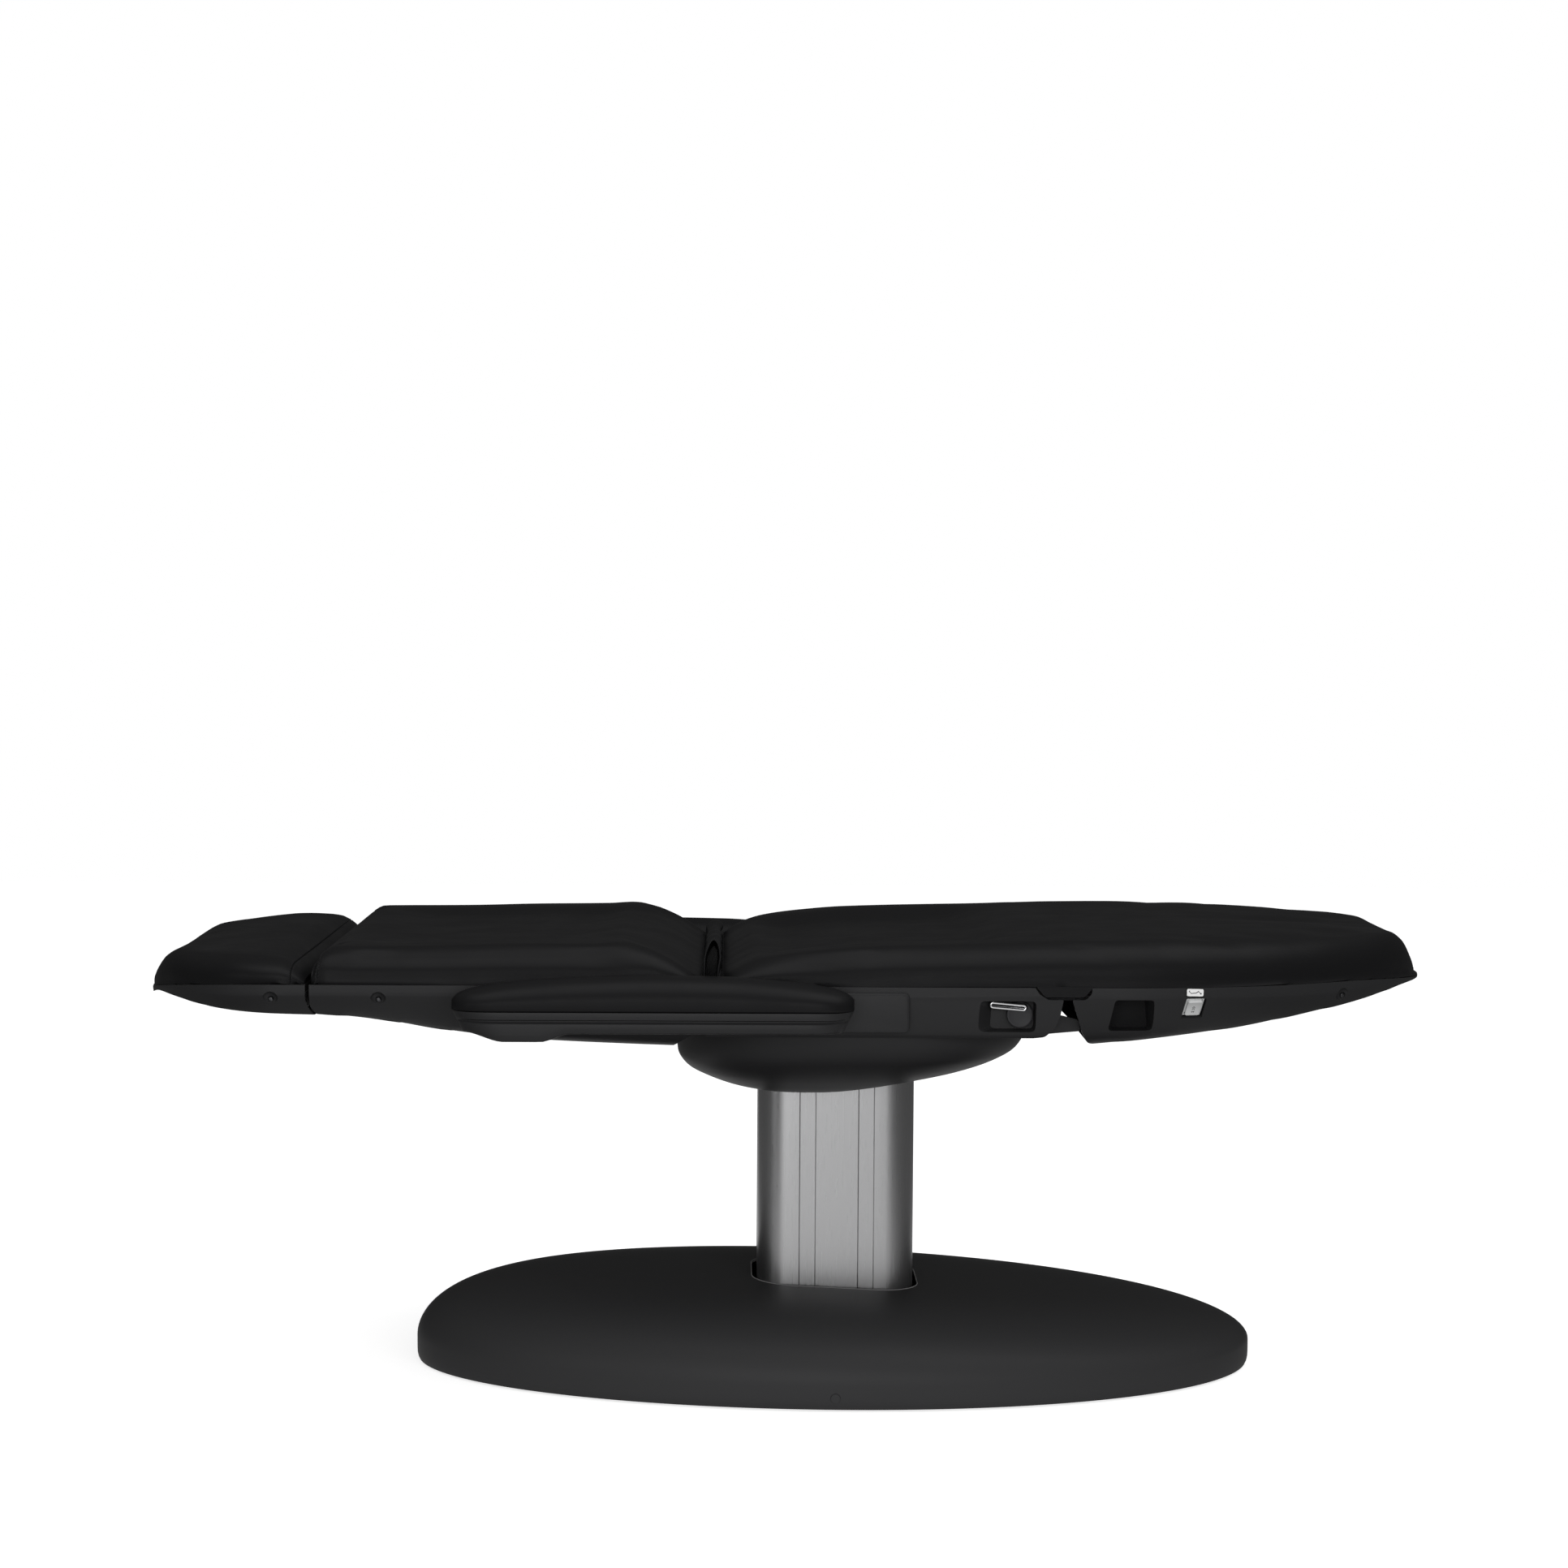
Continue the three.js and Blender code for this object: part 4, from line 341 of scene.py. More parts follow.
def settle(obj, body, nodes, look=None, smooth=None):
    """Gives a finished piece its finish and its body, and hides the frame nodes it stands for."""
    if smooth:
        shade(obj, smooth)
    if look:
        paint(obj, finish(look))
    if nodes:
        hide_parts(*nodes)
    if body:
        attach(obj, body)
    return obj


# Materials
def srgb(code):
    """Linear colour from a hex code."""
    channels = [int(code[i : i + 2], 16) / 255 for i in (1, 3, 5)]
    return tuple(c / 12.92 if c <= 0.04045 else ((c + 0.055) / 1.055) ** 2.4 for c in channels)


def add_node(tree, kind, inputs=(), **settings):
    """A node with its settings, and its inputs set to a value or linked to an output."""
    made = tree.nodes.new(kind)
    for name, value in settings.items():
        setattr(made, name, value)
    for key, value in dict(inputs).items():
        if isinstance(value, bpy.types.NodeSocket):
            tree.links.new(value, made.inputs[key])
        else:
            made.inputs[key].default_value = value
    return made


def base_material(name, colour, roughness, metallic=0.0, **more):
    """A Principled material on its own; its values sit on the shader's sockets."""
    material = bpy.data.materials.new(name)
    material.use_nodes = True
    tree = material.node_tree
    tree.nodes.clear()
    values = {"Base Color": (*colour, 1), "Roughness": roughness, "Metallic": metallic, **more}
    shader = add_node(tree, "ShaderNodeBsdfPrincipled", values)
    add_node(tree, "ShaderNodeOutputMaterial", {"Surface": shader.outputs["BSDF"]})
    material.diffuse_color = (*colour, 1)
    return material, tree, shader


def grain(tree, shader, size_mm, depth_mm, strength, stretch=(1, 1, 1), detail=2.0):
    """A fine relief of a real size in the surface."""
    where = add_node(tree, "ShaderNodeTexCoord").outputs["Object"]
    where = add_node(tree, "ShaderNodeMapping", {"Vector": where, "Scale": stretch}).outputs["Vector"]
    noise = add_node(tree, "ShaderNodeTexNoise", {
        "Vector": where, "Scale": 1 / (size_mm * MM), "Detail": detail})
    relief = add_node(tree, "ShaderNodeBump", {
        "Height": noise.outputs["Fac"], "Strength": strength, "Distance": depth_mm * MM})
    tree.links.new(relief.outputs["Normal"], shader.inputs["Normal"])
    return noise


def uneven_gloss(tree, shader, noise, low, high):
    """Roughness that follows a noise between two values."""
    tone = add_node(tree, "ShaderNodeMapRange", {
        "Value": noise.outputs["Fac"], "From Min": 0.3, "From Max": 0.7, "To Min": low, "To Max": high})
    tree.links.new(tone.outputs["Result"], shader.inputs["Roughness"])


def leather_material(name, colour, roughness, grain_mm):
    """Synthetic leather: embossed polyurethane on knit, with a soft broad shine and a fine pebble."""
    gloss = {"IOR": 1.47, "Specular IOR Level": 0.14}
    material, tree, shader = base_material(name, colour, roughness, **gloss)
    where = add_node(tree, "ShaderNodeTexCoord").outputs["Object"]
    # The pebble is about 1 mm across on the real cover and is drawn coarser, so that a render can hold it.
    pebble = add_node(tree, "ShaderNodeTexVoronoi", {"Vector": where, "Scale": 1 / (grain_mm * MM)},
                      feature="SMOOTH_F1")
    pull = add_node(tree, "ShaderNodeTexNoise", {"Vector": where, "Scale": 14.0, "Detail": 3.0})
    fine = add_node(tree, "ShaderNodeBump", {
        "Height": pebble.outputs["Distance"], "Strength": 0.12, "Distance": 0.3 * MM})
    wide = add_node(tree, "ShaderNodeBump", {
        "Height": pull.outputs["Fac"], "Strength": 0.1, "Distance": 3 * MM, "Normal": fine.outputs["Normal"]})
    tree.links.new(wide.outputs["Normal"], shader.inputs["Normal"])
    uneven_gloss(tree, shader, pull, roughness - 0.03, roughness + 0.05)
    return material


def moulded_material(name, colour, roughness):
    """Injection-moulded ABS with a spark-eroded skin: satin black, a broad dull shine."""
    gloss = {"IOR": 1.5, "Specular IOR Level": 0.2}
    material, tree, shader = base_material(name, colour, roughness, **gloss)
    # The skin's pits are 0.1 mm on the real shell and drawn coarser.
    grain(tree, shader, 0.9, 0.08, 0.25)
    return material


def formed_material(name, colour, roughness):
    """Vacuum-formed sheet: matte black with a slow unevenness that softens its reflections."""
    gloss = {"IOR": 1.49, "Specular IOR Level": 0.2}
    material, tree, shader = base_material(name, colour, roughness, **gloss)
    grain(tree, shader, 1.2, 0.1, 0.3)
    return material


def anodised_material(name, colour, roughness):
    """Anodised aluminium extrusion: fine drawing lines along the length and a satin gloss."""
    material, tree, shader = base_material(name, colour, roughness, 1.0)
    lines = grain(tree, shader, 0.8, 0.05, 0.12, stretch=(1, 1, 0.012), detail=3.0)
    uneven_gloss(tree, shader, lines, roughness - 0.05, roughness + 0.07)
    return material


# Sizes and colours that a user would change
def colour(name, what, code):
    return bpy.props.FloatVectorProperty(
        name=name, description="Colour of the " + what, subtype="COLOR", size=3, min=0, max=1,
        default=srgb(code))


def length(name, description, default, low, high):
    """A length property; its three values are in millimetres."""
    return bpy.props.FloatProperty(
        name=name, description=description, default=default * MM, min=low * MM, max=high * MM, unit="LENGTH",
        precision=4)


def amount(name, description, default, high):
    return bpy.props.FloatProperty(name=name, description=description, default=default, min=0, max=high)


class TableColours(bpy.types.PropertyGroup):
    leather: colour("Upholstery", "synthetic leather", "#171718")
    shell: colour("Shells", "moulded shells", "#2a2a2b")
    base: colour("Base cover", "base cover", "#353536")
    column: colour("Column", "aluminium column", "#b4b4b5")
    switch: colour("Rocker switch", "rocker switch", "#dcdddd")
    plate: colour("Plate", "pictogram plate", "#f2f2f2")
    ink: colour("Pictograms", "printed pictograms", "#1c1c1c")


class TableSizes(bpy.types.PropertyGroup):
    seam_depth: length("Seam depth", "How deep a seam pulls into the cushion", 1.5, 0, 5)
    seam_width: length("Seam width", "Half width of a seam's valley", 0.9, 0.3, 6)
    stitch: length("Stitch", "Length of one stitch along a seam", 4, 2, 10)
    swell: length("Swell", "The most that the padding may push the cover out", 5, 0, 15)
    grain: length("Leather grain", "Size of one pebble of the leather grain", 1.6, 0.5, 5)
    quad: length("Mesh size", "Edge length of a cushion's faces", 5, 4, 30)


class TableStage(bpy.types.PropertyGroup):
    floor: colour("Floor", "floor", "#f6f6f6")
    white: amount("Floor white", "How much the floor is lifted towards white for the camera", 0.7, 2)
    bounce: amount("Floor bounce", "Share of the light that the floor throws back at the object", 0.2, 1)
    sheen: amount("Floor sheen", "How much brighter the floor is in the reflections", 0.6, 1)
    sky: amount("Surround", "Strength of the even light from all round", 0.42, 3)
    mirrored: amount("Mirrored surround", "Strength of the surround as shiny parts see it", 0.07, 3)
    key: amount("Overhead light", "Power of the large overhead light in watts", 44, 2000)
    fill: amount("Fill light", "Power of the low light that shiny parts do not mirror, in watts", 120, 2000)
    strip: amount("Strip light", "Power of the upright strip that shiny parts mirror, in watts", 14, 2000)
    front: amount("Front light", "Power of the wide light behind the camera in watts", 92, 2000)


def sizes():
    return bpy.context.scene.table_sizes


# A finish's maker, its real name, its colour (or the name of a colour property) and its roughness
COATED = {
    "leather": (leather_material, "black synthetic leather", "leather", 0.44),
    "pad": (leather_material, "black armrest leather", "leather", 0.46),
    "shell": (moulded_material, "satin black ABS", "shell", 0.45),
    # Far darker than the shell: painted shade inside the leg shell's grip, with a rougher gloss
    "grip": (moulded_material, "black ABS, rough inside the grip", "#0e0e0f", 0.6),
    "lever": (moulded_material, "grey moulded ABS", "#353537", 0.45),
    "base": (formed_material, "vacuum-formed black sheet", "base", 0.5),
    "column": (anodised_material, "satin anodised aluminium", "column", 0.31),
    "inner": (anodised_material, "anodised aluminium, inner tube", "column", 0.3),
}
# Plain finishes end with how metallic they are
PLAIN = {
    # A pale line round the base cover's opening, where the sheet is cut: a painted highlight, far paler than
    # the sheet
    "edge": ("trimmed edge of formed sheet", "#8c8c8c", 0.4, 0.0),
    # Dull dark grey with a broad highlight
    "frame": ("powder-coated steel", "#343436", 0.55, 0.0),
    # Bright, with a highlight that follows the shaft
    "steel": ("turned steel", "#c2c2c4", 0.22, 1.0),
    # Dark, with a small clear glint on each screw
    "blackened": ("blackened steel", "#4a4a4c", 0.34, 1.0),
    # A sharp mirror
    "chrome": ("chrome plate", "#e4e4e6", 0.07, 1.0),
    # Flat, nearly black, a little warm
    "board": ("black-stained birch plywood", "#1c1b1a", 0.7, 0.0),
    # Dull black with a weak sheen
    "drive": ("black polyamide", "#222223", 0.55, 0.0),
    # No highlight at all
    "rubber": ("black rubber", "#161616", 0.85, 0.0),
    # Light grey with a soft gloss
    "switch": ("light grey ABS", "switch", 0.38, 0.0),
    # Smooth white film
    "plate": ("printed polyester film", "plate", 0.35, 0.0),
    # Flat black print
    "ink": ("black screen ink", "ink", 0.5, 0.0),
    # Dull thread that only shows as a line of grains
    "thread": ("black polyester thread", "#1a1a1b", 0.65, 0.0),
}
FINISHES = {}


def finish(name):
    """The table's materials, each made the first time it is asked for."""
    def tint(code):
        return srgb(code) if code.startswith("#") else getattr(bpy.context.scene.table_colours, code)

    if name in COATED and name not in FINISHES:
        make, label, code, roughness = COATED[name]
        more = (sizes().grain / MM,) if make is leather_material else ()
        FINISHES[name] = make(label, tint(code), roughness, *more)
    elif name not in FINISHES:
        label, code, roughness, metallic = PLAIN[name]
        FINISHES[name] = base_material(label, tint(code), roughness, metallic)[0]
    return FINISHES[name]


# Shell sections
RIM_BAND = 17


def hull_half(x, bottom, offset=0.0, top=0.0, around=26):
    """Half of a shell's section, from the rim down, smooth below the rim band."""
    w = max(rim_half(x) - offset, 1.5)
    z1 = rim_z(x)
    z0 = bottom + offset
    h = z1 - z0
    band = min(RIM_BAND, 0.4 * h)
    inset = min(0.75 * (h - band), 0.4 * w)
    bilge = min(16, (h - band) * 0.33)
    knee = z1 - band
    down = knee - z0 - bilge
    belly = z0 - 4 * min(1, w / RIM_HALF)
    low = w - inset - bilge * 1.9
    line = [
        (w - 0.75, knee),
        (w - inset * 0.3, knee - down * 0.42),
        (w - inset * 0.85, z0 + bilge),
        (w - inset - bilge * 0.8, z0 + bilge * 0.28),
        (low, z0),
        (low * 0.6, z0 - (z0 - belly) * 0.6),
        (0, belly),
    ]
    smooth = resampled(through(line, 40), around)
    rim = [(w, z1 + top), (w, z1), (w, z1 - band * 0.5), (w - 0.25, knee + band * 0.12)]
    half = np.vstack([rim, smooth])
    least = w * 0.02 * np.arange(len(half) - 1, -1, -1) / len(half)
    half[:, 0] = np.maximum(half[:, 0], least)
    half[-1, 0] = 0
    return half


def ring_at(x, half):
    """A closed ring across the table at x from half a section."""
    left = half[::-1][1:] if half[-1][0] == 0 else half[::-1]
    points = [(x, y, z) for y, z in half]
    points += [(x, -y, z) for y, z in left if y > 0]
    return points


def nose_stations(x0, x1, count, start=False, end=False):
    """Stations along x, closer together towards a rounded end."""
    t = np.linspace(0, 1, count)
    if start:
        t = 1 - np.cos(t * math.pi / 2)
        t = t / t[-1]
        t[0] = t[1] * 0.12
    if end:
        t = np.sin(t * math.pi / 2)
        t[-1] = 1 - (1 - t[-2]) * 0.12
    return x0 + (x1 - x0) * t


# Screws sit at these x in hollows that a ball cuts into both sides
SCREW_SPOTS = {"head": -768, "back": -610, "leg": 832}
SCOOP_R = 12
SCOOP_OUT = 1
SCOOP_DOWN = 4.8
SCOOP_WALL = 4
# Half width of a hollow where its screw sits
SCREW_SEAT = 4.4


def scoop_centre(x):
    """The ball's y and z at x."""
    return rim_half(x) + SCOOP_OUT, rim_z(x) - RIM_BAND - SCOOP_DOWN


def ball(name, centre, radius, rows=24, count=40):
    rings = []
    for r in range(rows + 1):
        angle = math.pi * min(max(r / rows, 0.004), 0.996)
        ring = circle(radius * math.sin(angle), count, centre[:2])
        rings.append([(x, y, centre[2] + radius * math.cos(angle)) for x, y in ring])
    return loft(name, rings)


def scooped(shell, outer, x):
    """Round hollows in both sides of a shell for its screws."""
    y, z = scoop_centre(x)
    for side in (1, -1):
        back = ball("scoop wall", (x, side * y, z), SCOOP_R + SCOOP_WALL)
        combine(back, "INTERSECT", outer, keep=True)
        combine(shell, "UNION", back)
        cut(shell, ball("scoop", (x, side * y, z), SCOOP_R))
    drop(outer)
    return shell


def copy_of(obj, name):
    return linked(name, obj.data.copy())


# How far a shell's cavity runs past an open end, and how far short of a rounded one it stops
CAVITY_PAST = 40
CAVITY_SHORT = 40


def shell_of(name, xs, bottoms, open_start, open_end, count):
    """A shell's hull, hollowed from above and at its open ends, and the solid hull beside it."""
    outer = loft(name, [ring_at(x, hull_half(x, float(curve(bottoms, x)))) for x in xs], 30)
    start = xs[0] - CAVITY_PAST if open_start else xs[0] + CAVITY_SHORT
    end = xs[-1] + CAVITY_PAST if open_end else xs[-1] - CAVITY_SHORT
    inner_xs = nose_stations(start, end, count, not open_start, not open_end)
    inner = [ring_at(x, hull_half(x, float(curve(bottoms, x)), WALL, CAVITY_PAST)) for x in inner_xs]
    solid = copy_of(outer, "outer")
    return cut(outer, loft("cavity", inner, 30)), solid


def beside(axis, *points):
    """Outline points whose x is measured from a hinge."""
    return [(axis[0] + x, z) for x, z in points]


def paint_inside(obj, low, high, material):
    """A second material for the faces that lie within a box."""
    obj.data.materials.append(material)
    low, high = Vector(low) * MM, Vector(high) * MM
    for face in obj.data.polygons:
        if all(low[k] < face.center[k] < high[k] for k in range(3)):
            face.material_index = 1


# Radii about the headrest's hinge: the hollow end of its shell runs round the back shell's round end
HEAD_HOLLOW_R = 31.5
BACK_NOSE_R = 28
# From the same hinge towards the head: the end of the shell, its lip below the hinge, and the flat above it
HEAD_END = 33
HEAD_LIP = (35, 18)
BACK_FLAT = 27


def build_head_shell():
    """Headrest shell, hollow at the end that runs round the back shell."""
    xs = nose_stations(-HALF_LENGTH, -678, 46, start=True)
    shell, outer = shell_of("headrest_shell", xs, HEAD_BOTTOM, False, True, 40)
    scooped(shell, outer, SCREW_SPOTS["head"])
    ax, az = HEAD_AXIS
    keep = combine(box("keep", (-FAR, ax - HEAD_END), (-FAR, FAR), (0, FAR)), "UNION",
                   box("lip", (ax - HEAD_LIP[0], ax - HEAD_LIP[1]), (-FAR, FAR), (0, az)))
    cut(keep, rod("hollow", HEAD_AXIS, HEAD_HOLLOW_R, -FAR, FAR, 160))
    return combine(shell, "INTERSECT", keep)


def build_back_shell():
    """Back shell: a round nose at the headrest, and an end cut clear of the seat."""
    xs = np.linspace(-720, -130, 40)
    shell, outer = shell_of("back_shell_skin", xs, BACK_BOTTOM, True, True, 40)
    scooped(shell, outer, SCREW_SPOTS["back"])
    ax, az = HEAD_AXIS
    keep = combine(rod("nose", HEAD_AXIS, BACK_NOSE_R, -FAR, FAR, 160), "UNION",
                   box("below", (ax, 0), (-FAR, FAR), (0, FAR)),
                   box("above", (ax - BACK_FLAT, 0), (-FAR, FAR), (az, FAR)))
    combine(keep, "INTERSECT", box("front", (ax - BACK_FLAT, 0), (-FAR, FAR), (1, FAR - 1)))
    combine(shell, "INTERSECT", keep)
    end = [*beside(BACK_AXIS, (-72, 500), (-72, 539), (-38, 565), (-25, 680)), (0, 680), (0, 500)]
    return cut(shell, prism("end", filleted(end, (0, 8, 8, 0, 0, 0)), -FAR, FAR))


def pocket(name, mouth, floor, y, grow, round_mm=6):
    """A hand pocket in the near side, from the outline at its mouth to the one at its floor."""
    def out(points, by):
        centre = np.mean(points, axis=0)
        return [tuple(np.array(p) + np.sign(np.array(p) - centre) * by) for p in points]

    start = RIM_HALF - WALL
    over = 40
    run = over / (start - y)
    wide = [(mx + (mx - fx) * run, mz + (mz - fz) * run) for (mx, mz), (fx, fz) in zip(mouth, floor)]
    rings = []
    for points, at in ((wide, start + over), (mouth, start), (floor, y - grow)):
        outline = filleted(out(points, grow), [round_mm] * len(points), 5)
        rings.append([(x, -at, z) for x, z in outline])
    return loft(name, rings, 35)


def side_matrix(x, y, z, lean, turn, tilt=0.0):
    """A place on the near side: leant back, turned with the plan and tilted in the wall."""
    turned = Matrix.Translation((x, -y, z)) @ Matrix.Rotation(turn, 4, "Z")
    return turned @ Matrix.Rotation(lean, 4, "X") @ Matrix.Rotation(tilt, 4, "Y")


def on_side(name, outline, t0, t1, *at):
    """A flat block on the near side: (along, up) points, pushed from t0 to t1 out of the wall."""
    place = side_matrix(*at)
    rings = [[tuple(place @ Vector((u, -t, v))) for u, v in outline] for t in (t0, t1)]
    return loft(name, rings, 35)


def rectangle(width, height, radius=0.0, steps=5):
    w, h = width / 2, height / 2
    corners = [(-w, -h), (w, -h), (w, h), (-w, h)]
    return filleted(corners, [radius] * 4, steps) if radius else corners


# The frame's stations along the leg part, and how far out the floors of the grip and the lever's recess lie
LEG_STATIONS = (0, 0.1, 0.25, 0.42, 0.58, 0.7, 0.8, 0.88, 0.94, 0.975, 0.992, 1)
ROCKER_X = LEG_AXIS[0] + 190.5
GRIP_Y = RIM_HALF - 68
RECESS_Y = RIM_HALF - 39
# Both pockets at their mouth and their floor, with x from the leg hinge
GRIP_MOUTH = ((60.5, 571), (137.5, 571), (129.5, 624), (72.5, 624))
GRIP_FLOOR = ((69.5, 576), (127.5, 576), (123.5, 619), (77.5, 619))
RECESS_MOUTH = ((-136.5, 573), (-44.5, 573), (-44.5, 622), (-124.5, 622))
RECESS_FLOOR = ((-110.5, 577), (-45.5, 577), (-45.5, 621), (-106.5, 621))
# The rocker's key, the gap round it in its well, and the flat bed that the well is cut in
ROCKER_SIZE = (22, 30)
ROCKER_GAP = 1.2
BED_SIZE = (32, 40)
BED_IN = -3.2


def rocker_place():
    """Place, lean and turn of the rocker on the near slope, as in the frame."""
    ring_x = [400 + 600 * s for s in LEG_STATIONS]
    k = next(i for i, x in enumerate(ring_x) if x > ROCKER_X)
    share = (ROCKER_X - ring_x[k - 1]) / (ring_x[k] - ring_x[k - 1])
    facet = rim_half(ring_x[k - 1]) * (1 - share) + rim_half(ring_x[k]) * share
    turn = math.atan2(rim_half(ring_x[k - 1]) - rim_half(ring_x[k]), ring_x[k] - ring_x[k - 1])
    bottom = float(curve(LEG_BOTTOM, ROCKER_X))
    w, z1 = rim_half(ROCKER_X), rim_z(ROCKER_X)
    h = z1 - bottom
    inset = min(0.75 * (h - RIM_BAND), 0.4 * w)
    bilge = min(16, (h - RIM_BAND) * 0.33)
    top = (w - 0.75, z1 - RIM_BAND)
    low = (w - inset * 0.85, bottom + bilge)
    y = top[0] + (low[0] - top[0]) * 0.3 - (w - facet)
    z = top[1] + (low[1] - top[1]) * 0.3
    lean = math.atan2(top[0] - low[0], top[1] - low[1])
    return ROCKER_X, y, z, lean, turn


def build_leg_shell():
    """Leg shell with the hand grip, the rocker's bed and the cut that clears the seat."""
    xs = nose_stations(400, HALF_LENGTH, 70, end=True)
    shell, outer = shell_of("leg_shell_skin", xs, LEG_BOTTOM, True, False, 50)
    mouth, floor = beside(LEG_AXIS, *GRIP_MOUTH), beside(LEG_AXIS, *GRIP_FLOOR)
    wall = pocket("pocket wall", mouth, floor, GRIP_Y, WALL)
    combine(wall, "INTERSECT", outer, keep=True)
    combine(shell, "UNION", wall)
    cut(shell, pocket("pocket", mouth, floor, GRIP_Y, 0))
    scooped(shell, outer, SCREW_SPOTS["leg"])
    start = [*beside(LEG_AXIS, (70, 480), (58, 546.5), (40, 550), (28, 570), (8.5, 624.2), (28.5, 624),
                     (37.5, 634), (37.5, 690)), (0, 690), (0, 480)]
    cut(shell, prism("start", filleted(start, (0, 6, 14, 14, 2, 10, 10, 0, 0, 0)), -FAR, FAR))
    cut(shell, box("lever notch", (0, LEG_AXIS[0] + 47.5), (134, 186), (0, 600)))
    at = rocker_place()
    combine(shell, "UNION", on_side("bed", rectangle(*BED_SIZE), -14, BED_IN, *at))
    well = rectangle(*(size + ROCKER_GAP for size in ROCKER_SIZE))
    cut(shell, on_side("well", well, -11, 40, *at))
    return cut(shell, on_side("flat", rectangle(*BED_SIZE, 3), BED_IN, 40, *at))


def seat_half(extra=0.0, up=0.0):
    """Half of the seat shell's section, from the rim down, drawn in by extra."""
    steps = [(0, 0), (0, 15), (1, 18), (5, 38), (12, 59), (19, 71), (26, 78)]
    points = [(RIM_HALF - a - extra, RIM_Z - b + (extra * i / 6)) for i, (a, b) in enumerate(steps)]
    return np.vstack([[(points[0][0], RIM_Z + up)], points[:2], through(points[2:], 6), [(0, points[-1][1])]])


# The armrest's boss on the seat shell: its corners, with x from the armrest's shaft, and its edge from the
# shell outwards as (how far out, how far drawn in)
BOSS = ((-32, 575), (121, 634))
BOSS_EDGE = ((-25, 0), (2.5, 0), (5, 0.8), (6.2, 2.2), (6.7, 4.2))


def build_seat_shell():
    """Seat shell: open above and at both ends, with the armrests' bosses and the lever's recess."""
    x0, x1 = BACK_AXIS[0] - 16, 398
    shell = loft("seat_shell_skin", [ring_at(x, seat_half()) for x in (x0, x1)], 30)
    envelope = copy_of(shell, "envelope")
    start, stop = x0 - CAVITY_PAST, x1 + CAVITY_PAST
    hollow = loft("hollow", [ring_at(x, seat_half(WALL, CAVITY_PAST)) for x in (start, stop)], 30)
    cut(shell, copy_of(hollow, "hollow twin"))
    lx = LEG_AXIS[0]
    for a, b in ((start, lx - 76.5), (lx - 42.5, stop)):
        cut(shell, box("window", (a, b), (-250, 250), (500, RIM_Z)))
    low, high = np.array(beside(ARM_AXIS, *BOSS), float)
    half, centre = (high - low) / 2, (high + low) / 2
    outline = filleted([low, (high[0], low[1]), high, (low[0], high[1])], (2, 9, 9, 2), 8)
    for side in (1, -1):
        rings = []
        for out, inset in BOSS_EDGE:
            ring = [centre + (np.array(p) - centre) * (1 - inset / half) for p in outline]
            rings.append([(x, side * (RIM_HALF + out), z) for x, z in ring])
        boss = loft("boss", rings, 35)
        cut(boss, copy_of(hollow, "hollow twin"))
        combine(shell, "UNION", boss)
    drop(hollow)
    mouth, floor = beside(LEG_AXIS, *RECESS_MOUTH), beside(LEG_AXIS, *RECESS_FLOOR)
    wall = pocket("recess wall", mouth, floor, RECESS_Y, WALL, 8)
    combine(wall, "INTERSECT", envelope)
    combine(shell, "UNION", wall)
    cut(shell, pocket("recess", mouth, floor, RECESS_Y, 0, 8))
    reach = RIM_HALF + 60
    cut(shell, rod("shaft bore", ARM_AXIS, BORE_R, -reach, reach, 48))
    end = [*beside(LEG_AXIS, (-60, 520), (-50, 563.6), (-30, 566), (-17, 579), (-9, 598), (-4.5, 624.2),
                   (-26.5, 624), (-39.5, 632), (-46.5, 642), (-46.5, 690)), (FAR, 690), (FAR, 520)]
    return cut(shell, prism("end", filleted(end, (0, 6, 12, 12, 12, 2, 8, 8, 3, 0, 0, 0)), -FAR, FAR))


# Tub, column and base
# Rings of the tub from its underside up: height, both ends in x, half width
TUB_RINGS = ((446, -16, 78, 112), (450, -62, 118, 152), (458, -102, 166, 190), (472, -140, 233, 232),
             (487, -166, 292, 270), (504, -176, 336, 304), (521, -177, 362, 329), (543, -177, 374, 348),
             (563.7, -177, 380, 360))
TUB_POWER = 2.6
# Openings round the column as (length, depth, corner radius)
TUB_OPENING = (256, 224, 51)
BASE_OPENING = (264, 232, 70)
COLUMN_BORE = (222.8, 190.8, 36.4)


def rounded_rectangle(length, depth, radius, arc=10):
    """An outline in plan about the column's middle."""
    points = []
    for sx, sy, quarter in ((1, 1, 0), (-1, 1, 1), (-1, -1, 2), (1, -1, 3)):
        for i in range(arc + 1):
            angle = (quarter + i / arc) * math.pi / 2
            points.append((COLUMN_X + sx * (length / 2 - radius) + radius * math.cos(angle),
                           sy * (depth / 2 - radius) + radius * math.sin(angle)))
    return points


def grown(opening, by):
    """An opening made wider all round."""
    length, depth, radius = opening
    return length + 2 * by, depth + 2 * by, radius + by


def tub_ring(z, x0, x1, y, offset, count=112):
    """A superellipse in plan."""
    half = (x1 - x0) / 2 - offset
    ring = []
    for c, s in circle(1, count):
        px = math.copysign(abs(c) ** (2 / TUB_POWER), c)
        py = math.copysign(abs(s) ** (2 / TUB_POWER), s)
        ring.append(((x0 + x1) / 2 + half * px, (y - offset) * py, z + offset))
    return ring


